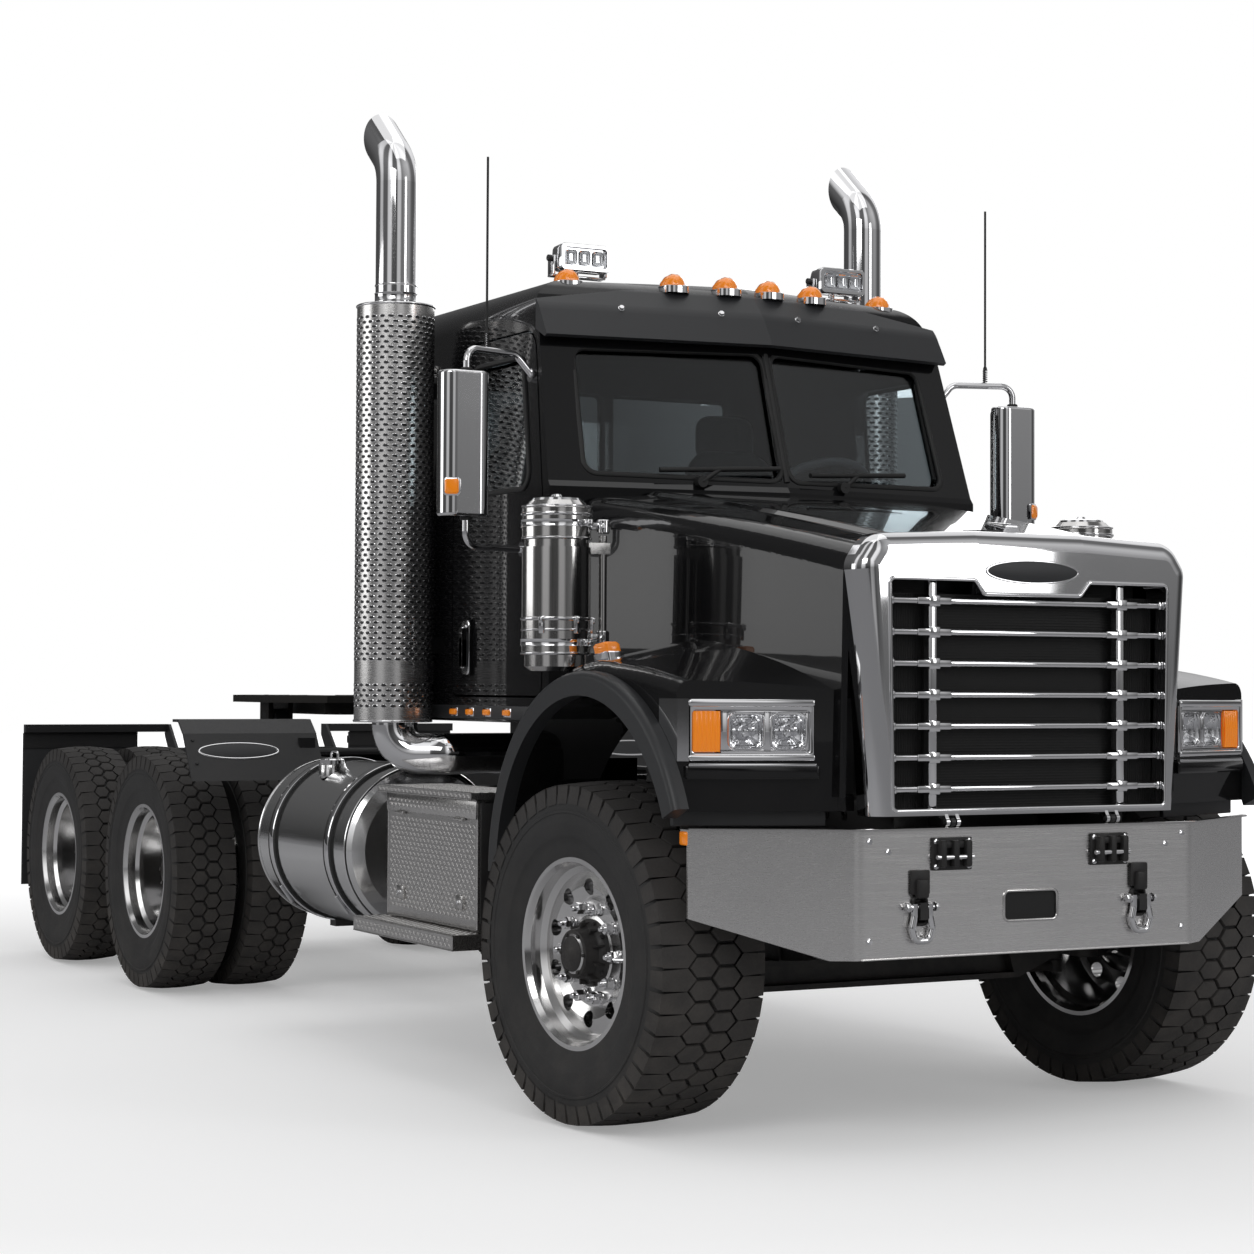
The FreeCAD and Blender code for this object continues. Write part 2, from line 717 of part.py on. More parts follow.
def rim_inside(half, middle, sign):
    """The barrel's inner face from the well to the flange."""
    section = [(64, 46), (50, 28), (16, 25), (0, 14)]
    return [(middle + (half - back) * sign, d.rim_radius - drop) for back, drop in section]


def front_rim(name, side):
    half = d.front_rim_width * 0.5
    middle = size(0)
    outer_in = rim_inside(half, middle, 1)
    points = rim_edge(half, middle, 1)
    points += reversed(rim_edge(half, middle, -1))
    points += reversed(rim_inside(half, middle, -1))
    face = half - 72
    bore = d.spindle_radius + d.running_gap
    well = d.rim_radius - 46
    points += [(face - 34, well), (face - 42, well - 40), (face - 34, well - 90), (size(-10), 100), (size(-32), 96),
               (size(-32), bore), (size(70), bore), (size(70), 0), (half + 4, 0), (half + 4, 52), (half - 6, 72),
               (face + 24, 78), (face + 6, 92), (face, 118), (face, 165), (face + 14, 205), (face + 10, 236)]
    points += outer_in
    body = wheel_blank(name, side, (sided(d.front_wheel_x, side), at(0), wheel_height()), points)
    low, high = sorted((side * (float(face) - 60), side * (float(face) + 30)))
    return hand_holes(body, name, 205, 26, low, high, 10)


def tyre_section(half_rim, middle, width, radius):
    """A tyre's section: beads inside the flanges, bulging walls, square shoulders and a slightly crowned tread."""
    seat = d.rim_radius - 13 + d.fit_gap
    over = d.rim_radius + d.fit_gap
    w = width * 0.5
    points = []
    for sign in (1, -1):
        ladder = [(half_rim - 16, seat), (half_rim - 13, over), (half_rim - 1, over + 5), (w - 12, over + 45), (w, over + 105),
                  (w - 6, radius - 62), (w - 26, radius - 12), (w * 0.5, radius)]
        if sign < 0:
            ladder.reverse()
        points += [(middle + a * sign, r) for a, r in ladder]
    return points


def tread_notches(width, radius, middle, centre):
    """Wedges that notch both shoulders of a tyre into lugs, staggered from side to side."""
    width, radius, middle = float(width), float(radius), float(size(middle))
    place = v3(*centre)
    step = 360.0 / LUG_COUNT
    edge, deep, gap = width / 2 - 62, radius - 34, 0.34 * step
    wedges = []
    for sign in (1, -1):
        low, high = sorted((sign * edge, sign * (width / 2 + 20)))
        for number in range(LUG_COUNT):
            turn = math.radians(number * step + (step / 2 if sign < 0 else 0))
            half = math.radians(gap / 2)
            corners = [(deep, 0.0), (radius + 20, -half), (radius + 20, half)]
            wedge = [v3(low + middle, r * math.cos(turn + a), r * math.sin(turn + a)) for r, a in corners]
            face = Part.Face(Part.makePolygon(wedge + [wedge[0]]))
            wedges.append(face.extrude(v3(high - low, 0, 0)))
    notches = Part.makeCompound(wedges)
    notches.translate(place)
    return notches


def lugged(name, tyre, width, radius, middle, centre):
    """A tyre with its shoulders notched into lugs."""
    return cut(name, tyre, shaped(name + "_notches", tread_notches(width, radius, middle, centre)))


def front_wheel(side_name, side):
    rim = steered(together(f"front_rim_{side_name}_set", front_rim(f"front_rim_{side_name}_body", side)), side)
    sub_part(f"front_rim_{side_name}", rim)
    points = tyre_section(d.front_rim_width * 0.5, size(0), d.front_tyre_width, d.front_tyre_radius)
    centre = (sided(d.front_wheel_x, side), at(0), wheel_height())
    plain = wheel_blank(f"front_tyre_{side_name}_body", side, centre, points)
    tyre = lugged(f"front_tyre_{side_name}_lugs", plain, d.front_tyre_width, d.front_tyre_radius, 0, centre)
    sub_part(f"front_tyre_{side_name}", steered(together(f"front_tyre_{side_name}_set", tyre), side))


def dual_rim_points():
    """Two rims bolted disc to disc, with the hub, its cap and the brake drum."""
    half = d.rear_rim_width * 0.5
    off = d.dual_spacing * 0.5
    bore = d.spindle_radius + d.running_gap
    well = d.rim_radius - 46
    points = rim_edge(half, off, 1)
    points += reversed(rim_edge(half, off, -1))
    points += [(off - half, well), (size(30), well - 20), (size(-30), well - 20), (-(off - half), well)]
    points += rim_edge(half, -off, 1)
    points += reversed(rim_edge(half, -off, -1))
    points += reversed(rim_inside(half, -off, -1))
    points += [(-(off - half) - 40, well - 6), (size(-24), well - 62), (size(-24), 176), (size(-200), 176),
               (size(-200), 162), (size(-40), 162), (size(-40), 100), (size(-190), 84), (size(-190), bore),
               (size(120), bore), (size(120), 0), (size(172), 0), (size(172), 46), (size(160), 68), (size(60), 76),
               (size(50), 120), (size(24), 126), (size(24), well - 62), ((off - half) + 40, well - 6)]
    points += rim_inside(half, off, 1)
    return points


def dual_wheels(axle, side_name, side):
    station = at(d.drive_station) if axle == "forward" else at(d.drive_station + d.tandem_spread)
    centre = (sided(d.dual_x, side), station, wheel_height(False))
    tag = f"{axle}_{side_name}"
    body = wheel_blank(f"dual_rims_{tag}_body", side, centre, dual_rim_points())
    low, high = sorted((side * -60.0, side * 90.0))
    sub_part(f"dual_rims_{tag}", hand_holes(body, f"dual_{tag}", 190, 22, low, high, 10))
    tyres = []
    for number, sign in enumerate((1, -1)):
        points = tyre_section(d.rear_rim_width * 0.5, d.dual_spacing * (0.5 * sign), d.rear_tyre_width, d.rear_tyre_radius)
        plain = wheel_blank(f"dual_tyre_{tag}_{number}", side, centre, points)
        middle = d.dual_spacing * (0.5 * sign * side)
        tyres.append(lugged(f"dual_tyre_{tag}_{number}_lugs", plain, d.rear_tyre_width, d.rear_tyre_radius, middle, centre))
    sub_part(f"dual_tyres_{tag}", together(f"dual_tyres_{tag}_set", *tyres))


# Drive axles, suspension and drive line

def drive_axle(name, station, through):
    """A banjo housing with its tubes, spindles and pinion nose, and spring seats on the tubes."""
    z = wheel_height(False)
    inner = d.dual_x - 205
    spindle = d.dual_x + 118
    housing = turned(f"{name}_banjo", "Y", (0, station, z),
                     [(size(-165), 0), (size(-165), 120), (size(-110), 205), (size(60), 215), (size(120), 150), (size(150), 0)])
    tube_bar = rod(f"{name}_tube", "X", (-inner, station, z), 68, inner * 2)
    shaft = rod(f"{name}_spindles", "X", (-spindle, station, z), d.spindle_radius, spindle * 2)
    drums = [rod(f"{name}_plate_{n}", "X", (x, station, z), 165, 14) for n, x in enumerate((inner - 14, -inner))]
    nose = rod(f"{name}_nose", "Y", (0, station - 330, z + 40), 70, 200)
    parts = [housing, tube_bar, shaft, nose] + drums
    if through:
        parts.append(rod(f"{name}_tail", "Y", (0, station + 100, z + 40), 60, 170))
    seat = d.rail_spread * 0.5 - d.rail_flange * 0.5
    for side in (1, -1):
        parts.append(box(f"{name}_seat_{side + 1}", (sided(seat, side) - 45, sided(seat, side) + 45),
                         (station - 70, station + 70), (z, z + 84)))
    return join(f"{name}_whole", *parts)


def rear_suspension():
    """Trailing beams from hangers under the rails, over the axle seats, to the air springs."""
    z = wheel_height(False) + 84
    rail_low = d.rail_top - d.rail_height
    x = d.rail_spread * 0.5 - d.rail_flange * 0.5
    pieces = []
    for number, station in enumerate((at(d.drive_station), at(d.drive_station + d.tandem_spread))):
        outline = [(station - 470, z - 40), (station - 400, z - 50), (station - 90, z), (station + 90, z),
                   (station + 330, z - 70), (station + 460, z - 70), (station + 460, z - 48), (station + 340, z - 40),
                   (station + 110, z + 42), (station - 90, z + 42), (station - 420, z + 22), (station - 470, z + 12)]
        beam = prism(f"trailing_beam_{number}", "YZ", outline, x - 42, x + 42)
        hanger = prism(f"hanger_{number}", "YZ",
                       [(station - 500, z - 60), (station - 380, z - 60), (station - 350, rail_low), (station - 530, rail_low)],
                       x - 45, x + 45)
        slot = box(f"hanger_slot_{number}", (x - 60, x + 60), (station - 471, station - 340), (z - 90, z + 24))
        pin = rod(f"hanger_pin_{number}", "X", (x - 45, station - 488, z - 10), 16, 90)
        bag = turned(f"air_spring_{number}", "Z", (x, station + 395, z - 48),
                     [(size(0), 0), (size(0), 60), (size(20), 78), (size(34), 100), (size(70), 108), (size(104), 100),
                      (rail_low - (z - 48) - 12, 84), (rail_low - (z - 48), 84), (rail_low - (z - 48), 0)])
        pieces.append(join(f"suspension_{number}", beam, cut(f"hanger_cut_{number}", hanger, slot), pin, bag))
    axles = [drive_axle("forward_axle", at(d.drive_station), True),
             drive_axle("rear_axle", at(d.drive_station + d.tandem_spread), False)]
    for n, piece in enumerate(pieces):
        axles[n] = join(f"drive_axle_{n}", axles[n], piece, mirrored(f"suspension_mirror_{n}", piece))
    return sub_part("drive_axles", together("drive_axle_pair", *axles))


def driveshafts():
    z = wheel_height(False) + 40
    front = at(1560)
    first = at(d.drive_station) - 330
    high = float(TRANSMISSION_AXIS)
    fall = float(z) - high
    run = float(first) - float(front)
    start = v3(0, front, high)
    long_shaft = Part.makeCylinder(55, math.hypot(run, fall), start, v3(0, run, fall))
    ends = [block((-300, 300), (float(y), float(y) + 200), (0, 2000)) for y in (front - 200, first)]
    joints = [bar("Y", (0, front, high), 72, 90), bar("Y", (0, float(first) - 90, z), 72, 90)]
    long_shaft = long_shaft.fuse(joints).cut(ends)
    gap_start = at(d.drive_station) + 270
    gap_end = at(d.drive_station + d.tandem_spread) - 330
    between = bar("Y", (0, gap_start, z), 48, gap_end - gap_start)
    between = between.fuse(bar("Y", (0, gap_start, z), 66, 80)).fuse(bar("Y", (0, gap_end - 80, z), 66, 80))
    front_part = join("driveline_front", transmission(), shaped("long_shaft", long_shaft))
    return sub_part("driveline", together("driveline_set", front_part, shaped("short_shaft", between)))


def engine():
    """The engine as one block, with its sump, rocker cover and the four feet on the rails."""
    reach = d.rail_spread * 0.5 - d.rail_wall
    points = [(-150, 620), (150, 620), (190, 760), (280, 800), (280, 1330), (170, 1420), (170, 1600), (-130, 1600),
              (-170, 1420), (-280, 1330), (-280, 800), (-190, 760)]
    blank = prism("engine_blank", "XZ", points, at(-500), at(ENGINE_REAR))
    feet = [box(f"engine_foot_{n}", (-reach, reach), (at(s) - 60, at(s) + 60), (840, 900))
            for n, s in enumerate((-380, 400))]
    fan = rod("fan_hub", "Y", (0, at(-590), 1330), 60, 95)
    blades = rod("fan_disc", "Y", (0, at(-585), 1330), 330, 40)
    return sub_part("engine", join("engine_whole", blank, *feet, fan, blades))


def transmission():
    z = TRANSMISSION_AXIS
    body = turned("transmission_body", "Y", (0, at(ENGINE_REAR), z),
                  [(size(0), 0), (size(0), 245), (size(120), 235), (size(300), 175), (size(820), 165), (size(900), 120),
                   (size(980), 110), (size(1000), 62), (at(1560) - at(ENGINE_REAR), 62), (at(1560) - at(ENGINE_REAR), 0)])
    return body


def radiator():
    """The cooling pack on the front of the rails, framed by its two tanks."""
    core = box("radiator_core", (-470, 470), (at(-700), at(-630)), (d.rail_top + 45, d.grille_open_high - 30))
    low = box("radiator_foot", (-500, 500), (at(-706), at(-620)), (d.rail_top, d.rail_top + 45))
    high = box("radiator_head", (-500, 500), (at(-706), at(-620)), (d.grille_open_high - 30, d.grille_open_high + 20))
    cheeks = [box(f"radiator_cheek_{n}", x, (at(-706), at(-620)), (d.rail_top, d.grille_open_high + 20))
              for n, x in enumerate(((-500, -465), (465, 500)))]
    return sub_part("radiator", join("radiator_whole", core, low, high, *cheeks))


# Tanks, boxes and what hangs beside the rails

def fuel_tanks():
    """Drums with dished ends and a filler neck; the brackets and straps are a piece of their own."""
    start, length, r = at(d.tank_front), d.tank_length, d.tank_radius
    drum = turned("tank_drum", "Y", (d.tank_x, start, d.tank_height),
                  [(size(0), 0), (size(0), r - 70), (size(12), r - 22), (size(30), r), (length - 30, r), (length - 12, r - 22),
                   (length, r - 70), (length, 0)])
    neck_x, neck_z = d.tank_x + 150, d.tank_height + 240
    neck = rod("filler_neck", "Z", (neck_x, start + length * 0.5 + 90, neck_z - 40), 44, 90)
    cap = rod("filler_cap", "Z", (neck_x, start + length * 0.5 + 90, neck_z + 45), 52, 24)
    return pair("fuel_tanks", join("tank_whole", drum, neck, cap))


def tank_straps():
    """Cradle brackets bolted to the rail, each with a strap over the tank."""
    start, r = at(d.tank_front), float(d.tank_radius)
    x0, z0 = float(d.tank_x), float(d.tank_height)
    rail_side = float(d.rail_spread) / 2
    pieces = []
    for number, along in enumerate((190, float(d.tank_length) - 190)):
        y = float(start) + along
        ring = bar("Y", (x0, y - 30, z0), r + 7, 60)
        cradle = extruded([(rail_side, z0 + 230), (rail_side, z0 - 190), (x0 - 60, z0 - r - 30), (x0 + 60, z0 - r - 30),
                           (x0 + 60, z0 - r + 20), (x0 - 200, z0 - 60), (x0 - r + 30, z0 + 140), (rail_side + 90, z0 + 230)],
                          "XZ", y - 30, y + 30)
        strap = ring.fuse(cradle).cut(bar("Y", (x0, y - 40, z0), r + float(d.fit_gap), 80))
        pieces.append(shaped(f"tank_strap_{number}", strap.removeSplitter()))
    return pair("tank_straps", together("tank_strap_side", *pieces))


def step_case():
    """The battery and tool boxes between the front wheels and the tanks."""
    case = prism("step_box_case", "XZ",
                 [(d.rail_spread * 0.5, d.box_bottom), (d.box_half, d.box_bottom), (d.box_half, d.box_top),
                  (d.rail_spread * 0.5, d.box_top)], at(d.box_front), at(d.box_rear), {1: 18, 2: 18})
    return case


def step_boxes():
    """Treads on top of the boxes and below them, with drop plates that carry the lower one."""
    out = d.box_half + 95
    upper = box("upper_tread", (d.box_half - 260, d.box_half + 35), (at(d.box_front) - 20, at(d.box_rear) + 20),
                (d.box_top, d.box_top + 22))
    low = d.box_bottom
    lower = box("lower_tread", (d.box_half - 190, out), (at(d.box_front) - 10, at(d.box_rear) + 90), (low - 56, low - 4))
    hangers = [box(f"step_hanger_{n}", (d.box_half - 180, d.box_half - 20), (at(s), at(s) + 40), (low - 6, low))
               for n, s in enumerate((d.box_front + 60, d.box_rear - 100))]
    return pair("step_boxes", join("step_box_whole", step_case(), upper, lower, *hangers))


def quarter_fenders():
    """A sloping guard ahead of each pair of drive wheels, on an arm from the rail."""
    face = at(d.drive_station) - d.rear_tyre_radius
    high, low = size(1210), size(950)
    thick = 12
    points = [(face + 105, high - thick), (face + 105, high), (face + 30, high), (face - 40, high - 60), (face - 165, low),
              (face - 165 + thick, low), (face - 40 + thick, high - 64), (face + 34, high - thick)]
    inner = d.dual_x - d.dual_spacing * 0.5 - d.rear_tyre_width * 0.5 + 5
    guard = prism("quarter_guard", "YZ", points, inner, d.flap_half)
    arm = rod("quarter_arm", "X", (d.rail_spread * 0.5, face - 56, d.rail_top - 60), 24, inner - d.rail_spread * 0.5 + 200)
    post = box("quarter_post", (inner + 20, inner + 90), (face - 80, face - 40 + 6), (d.rail_top - 80, high - 80))
    return pair("quarter_fenders", join("quarter_whole", guard, arm, post))


def flap_face():
    """Where the mud flaps' front faces stand."""
    return at(d.rear_reach) - 15


def mud_flaps():
    """Rubber flaps that hang behind the last wheels."""
    x = d.flap_half - d.flap_width, d.flap_half
    flap = box("mud_flap", x, (flap_face(), at(d.rear_reach)), (d.flap_bottom, d.flap_top - 45))
    return pair("mud_flaps", flap)


def tail_bar():
    """Bars across the end of the rails that carry the flaps and the tail lamps."""
    y = flap_face()
    beam = box("flap_bar", (d.rail_spread * 0.5, d.flap_half), (y - 40, y), (d.flap_top - 40, d.flap_top))
    clamp = box("flap_clamp", (d.flap_half - d.flap_width, d.flap_half), (y - 8, y), (d.flap_top - 120, d.flap_top - 20))
    drop = prism("flap_bracket", "YZ", [(at(d.rail_rear) - 190, d.rail_top - 130), (at(d.rail_rear) - 30, d.rail_top - 130),
                                        (y, d.flap_top - 60), (y, d.flap_top), (y - 60, d.flap_top)],
                 d.rail_spread * 0.5, d.rail_spread * 0.5 + 14)
    hanger = join("flap_hanger", beam, clamp, drop)
    return sub_part("tail_bar", together("tail_bar_set", hanger, mirrored("flap_hanger_mirror", hanger), tail_lamps()))


def tail_lamps():
    """Round lamps in a rear panel that closes the frame's end."""
    rear = at(d.rail_rear)
    panel = box("tail_panel", (d.rail_spread * -0.5, d.rail_spread * 0.5), (rear, rear + 10),
                (d.rail_top - 215, d.rail_top - 45))
    lamps = [rod(f"tail_lamp_{n}", "Y", (x, rear + 8, d.rail_top - 130), 55, 26) for n, x in enumerate((-345, -215, 215, 345))]
    return join("tail_lamp_set", panel, *lamps)


# Exhaust

def exhaust_stacks():
    """Each stack rises from a bend under the cab, leans back at its end and opens to the rear."""
    x, y = float(d.stack_x), float(at(d.stack_station))
    low = float(d.shield_bottom) - 115
    tip = float(d.stack_top)
    lean, reach = math.radians(float(d.stack_lean)), float(d.stack_reach)
    mouth = tip - float(d.stack_radius) / math.sin(lean)
    beyond = 100
    points = [v3(330, y - 130, low), v3(x - 160, y - 130, low), v3(x, y, low), v3(x, y, mouth - reach / math.tan(lean)),
              v3(x, y + reach + beyond, mouth + beyond / math.tan(lean))]
    path = rounded_wire(points, [0, 120, 105, float(d.stack_round), 0], closed=False)
    ring = Part.Wire([Part.Circle(points[0], v3(1, 0, 0), float(d.stack_radius)).toShape()])
    hole = Part.Wire([Part.Circle(points[0], v3(1, 0, 0), float(d.stack_radius) - 4).toShape()])
    pipe = path.makePipeShell([ring], True, False)
    bore = path.makePipeShell([hole], True, False)
    trim = block((x - 300, x + 300), (y + reach, y + 600), (tip - 500, tip + 400))
    above = block((x - 120, x + 120), (y - 120, y + 400), (float(d.shield_top) - 60, tip + 400))
    return pair("exhaust_stacks", shaped("exhaust_stack", pipe.cut(bore.common(above)).cut(trim)))


def heat_shields():
    x, y = d.stack_x, at(d.stack_station)
    height = d.shield_top - d.shield_bottom
    r, wall, neck = d.shield_radius, 4, d.stack_radius + d.fit_gap
    tube_wall = turned("shield_tube", "Z", (x, y, d.shield_bottom),
                       [(size(0), neck), (size(0), r), (height, r), (height, neck), (height - wall, neck),
                        (height - wall, r - wall), (size(wall), r - wall), (size(wall), neck)])
    return pair("heat_shields", tube_wall)


def stack_saddles():
    """Saddles on the cab's side that seat the heat shields."""
    x, y = float(d.stack_x), float(at(d.stack_station))
    saddles = []
    for z in (1480.0, 2420.0):
        arm = block((cab_side(z + 60) - 10, x - 60), (y - 70, y + 70), (z, z + 60))
        arm = arm.cut(bar("Z", (x, y, z - 10), float(d.shield_radius) + float(d.fit_gap), 80))
        arm = arm.cut(cab_volume(0.0))
        saddles.append(max(arm.Solids, key=lambda s: s.Volume))
    return saddles


# Fifth wheel

def fifth_wheel_base():
    """Angles on the rails and two saddle towers with the rocking pins."""
    y, z = at(d.fifth_station), d.fifth_pivot
    floor = box("fifth_floor", (-430, 430), (y - 330, y + 330), (d.rail_top, d.rail_top + 14))
    towers = []
    for side in (1, -1):
        x = side * 330
        outline = [(y - 200, d.rail_top + 14), (y + 200, d.rail_top + 14), (y + 48, z + 40), (y - 48, z + 40)]
        towers.append(prism(f"tower_{side + 1}", "YZ", outline, x - 30, x + 30))
        towers.append(rod(f"rock_pin_{side + 1}", "X", (x - 62, y, z), 26, 124))
    return sub_part("fifth_wheel_base", join("fifth_base_whole", floor, *towers))


def fifth_wheel_plate():
    """The rocking plate: a broad nose, a throat that guides the kingpin in, and ramps at its rear."""
    y, z, top = at(d.fifth_station), d.fifth_pivot, d.fifth_top
    half, bore = d.fifth_half, d.kingpin_bore
    thick = 34
    front = y - half
    rear = y + half - 20
    outline = [(half * 0.55, front), (half, front + 190), (half, y + 260), (half - 130, rear), (size(150), rear),
               (bore + 2, y + 70), (bore + 2, y), (-(bore + 2), y), (-(bore + 2), y + 70), (size(-150), rear),
               (-(half - 130), rear), (-half, y + 260), (-half, front + 190), (half * -0.55, front)]
    plate = prism("fifth_plate_blank", "XY", outline, top - thick, top)
    jaw = rod("kingpin_jaw", "Z", (0, y - 20, top - thick - 60), bore + 44, thick + 60)
    throat = rod("kingpin_throat", "Z", (0, y - 20, top - thick - 90), bore, thick + 120)
    mouth = box("kingpin_mouth", (-16, 16), (y - 20, y + 120), (top - thick - 90, top + 20))
    ribs = [box(f"plate_rib_{n}", (x - 12, x + 12), (front + 60, rear - 140), (top - thick - 55, top - thick))
            for n, x in enumerate((-225, 225))]
    cross = box("plate_cross", (-230, 230), (y - 210, y - 180), (top - thick - 55, top - thick))
    ears, holes = [], []
    for side in (1, -1):
        for n, x in enumerate((side * 330 - 50, side * 330 + 50)):
            ears.append(box(f"plate_ear_{side + 1}_{n}", (x - 12, x + 12), (y - 58, y + 58), (z, top - thick)))
            ears.append(rod(f"plate_eye_{side + 1}_{n}", "X", (x - 12, y, z), 58, 24))
        holes.append(rod(f"plate_eye_bore_{side + 1}", "X", (side * 330 - 80, y, z), 26 + d.running_gap, 160))
    blank = join("fifth_plate_whole", plate, jaw, cross, *ribs, *ears)
    return sub_part("fifth_wheel_plate", cut("fifth_plate_cut", blank, throat, mouth, *holes))


# Cab

def cab_side(z):
    """Half the cab's width at a height: upright to the window sills, then leaning in."""
    lean = max(0.0, float(z) - float(d.sill_height)) * 0.075
    return float(d.cab_half) - lean


def cab_volume(inset, open_low=False):
    """The cab's outer form, or what lies a given depth inside it."""
    i = float(inset)
    half, floor, roof = float(d.cab_half), float(d.cab_floor) + i, float(d.cab_roof) - i
    sill, sweep = float(d.sill_height), float(d.cab_sweep)
    y0, back = float(at(d.cab_front)), float(at(d.cab_rear))
    top_half = cab_side(roof) - i
    cross = rounded_wire([v3(half - i, 0, floor), v3(half - i, 0, sill), v3(top_half, 0, roof - 0.03 * half),
                          v3(0, 0, roof), v3(-top_half, 0, roof - 0.03 * half), v3(-half + i, 0, sill),
                          v3(-half + i, 0, floor)], [0, 200, 130 - i, 2000, 130 - i, 200, 0])
    across = Part.Face(cross)
    across.translate(v3(0, y0 - 400, 0))
    across = across.extrude(v3(0, 3000, 0))
    lead = 1.25 * i
    long_points = [v3(0, y0 + i, floor), v3(0, y0 + i, sill), v3(0, y0 + 15 + lead, sill + 20),
                   v3(0, y0 + 0.327 * (2585 - sill) + lead, 2585), v3(0, y0 + 290 + lead, roof),
                   v3(0, back + 400, roof), v3(0, back + 400, floor)]
    profile = Part.Face(rounded_wire(long_points, [0, 0, 0, 120, 140, 0, 0]))
    slope = sweep / 750.0
    wings = [profile.extrude(v3(s * 1000, 1000 * slope, 0)) for s in (1, -1)]
    along = wings[0].fuse(wings[1])
    # The rear corners stand a hair outside the sides, so that no two rounds start at one point.
    corner = half - i + 0.3
    plan = rounded_wire([v3(-1000, y0 - 100, 0), v3(1000, y0 - 100, 0), v3(1000, back - i - 200, 0), v3(corner, back - i - 200, 0),
                         v3(corner, back - i, 0), v3(-corner, back - i, 0), v3(-corner, back - i - 200, 0),
                         v3(-1000, back - i - 200, 0)], [0, 0, 0, 0, 80 - i, 80 - i, 0, 0])
    plan = Part.Face(plan)
    plan.translate(v3(0, 0, 1000))
    return across.common(along).common(plan.extrude(v3(0, 0, 2000)))


def shell_layer(outer, inner):
    """The part of the cab's wall between two depths."""
    return cab_volume(outer).cut(cab_volume(inner))


def door_outline(grow=0.0):
    """The door's edge seen from the side: an upright rear edge, and a front edge that leans back beside the window."""
    g = float(grow)
    front, rear = float(at(d.door_front)) - g, float(at(d.door_rear)) + g
    low, high, sill = float(d.door_bottom) - g, float(d.door_top) + g, float(d.sill_height)
    wire = rounded_wire([v3(0, front, low), v3(0, rear, low), v3(0, rear, high), v3(0, front + 150, high),
                         v3(0, front + 6, sill), v3(0, front, sill - 60)], [40 + g, 40 + g, 90 + g, 90 + g, 0, 0])
    return Part.Face(wire)


def window_outline(shrink=0.0):
    g = float(shrink)
    front, rear = float(at(d.door_front)) + 95 + g, float(at(d.door_rear)) - 95 - g
    low, high = float(d.sill_height) + g, float(d.door_top) - 85 - g
    wire = rounded_wire([v3(0, front, low), v3(0, rear, low), v3(0, rear, high), v3(0, front + 130, high)],
                        [45 - g, 45 - g, 70 - g, 60 - g])
    return Part.Face(wire)


def through_side(face, side, start=760.0):
    face = face.copy()
    face.translate(v3(side * start, 0, 0))
    return face.extrude(v3(side * 600, 0, 0))


def screen_outline(side, shrink=0.0):
    """Half of the windscreen, seen from the front."""
    g = float(shrink)
    wire = rounded_wire([v3(side * (16 + g), 0, 2085 + g), v3(side * (745 - g), 0, 2095 + g), v3(side * (722 - g), 0, 2540 - g),
                         v3(side * (16 + g), 0, 2552 - g)], [15, 50 - g, 50 - g, 15])
    face = Part.Face(wire)
    face.translate(v3(0, float(at(d.cab_front)) - 100, 0))
    return face.extrude(v3(0, 700, 0))


def rear_window_outline(shrink=0.0):
    g = float(shrink)
    wires = []
    for side in (1, -1):
        wire = rounded_wire([v3(side * (18 + g), 0, 2080 + g), v3(side * (560 - g), 0, 2080 + g), v3(side * (560 - g), 0, 2520 - g),
                             v3(side * (18 + g), 0, 2520 - g)], [30] * 4)
        face = Part.Face(wire)
        face.translate(v3(0, float(at(d.cab_rear)) - 200, 0))
        wires.append(face.extrude(v3(0, 400, 0)))
    return wires[0].fuse(wires[1])


def cab_shell():
    shell = shell_layer(0.0, d.cab_wall)
    tools = [through_side(door_outline(d.door_gap), side) for side in (1, -1)]
    tools += [screen_outline(side) for side in (1, -1)] + [rear_window_outline()]
    for tool in tools:
        shell = shell.cut(tool)
    fittings = door_hinges() + stack_saddles()
    fittings += [f.mirror(Vector(), Vector(1, 0, 0)) for f in fittings]
    return sub_part("cab_shell", shaped("cab_shell_shape", shell.fuse(fittings).removeSplitter()))


def cab_glass():
    """The windscreen's two panes and the rear window's."""
    depth = 20.0
    layer = shell_layer(depth, depth + d.pane.value)
    front = [layer.common(screen_outline(side, 0)) for side in (1, -1)]
    panes = front + [layer.common(rear_window_outline())]
    return sub_part("cab_glass", shaped("cab_glass_shape", Part.makeCompound([s for g in panes for s in g.Solids])))


def doors():
    """Each door is the cab's wall within its outline, with a window opening and hinge knuckles on its front edge."""
    shell = shell_layer(0.0, d.cab_wall)
    pane = shell_layer(20.0, 20.0 + d.pane.value)
    axis_x, axis_y = float(d.cab_half) + float(d.door_axis_out), float(at(d.door_front)) + 6
    for name, side in SIDES:
        panel = shell.common(through_side(door_outline(), side)).cut(through_side(window_outline(), side))
        panel = max(panel.Solids, key=lambda s: s.Volume)
        for z in DOOR_HINGES:
            panel = panel.fuse(bar("Z", (side * axis_x, axis_y, z), 9, 46))
            outside = sorted((side * float(d.cab_half), side * axis_x))
            panel = panel.fuse(block(outside, (axis_y - 3, axis_y + 40), (z, z + 46)))
        for z in DOOR_HINGES:
            panel = panel.cut(bar("Z", (side * axis_x, axis_y, z - 5), 4 + float(d.running_gap), 60))
        handle = handle_shape(side)
        panel = panel.fuse(handle)
        sub_part(f"door_{name}", shaped(f"door_{name}_shape", panel.removeSplitter()))
        glass = pane.common(through_side(window_outline(), side))
        sub_part(f"door_glass_{name}", shaped(f"door_glass_{name}_shape", max(glass.Solids, key=lambda s: s.Volume)))


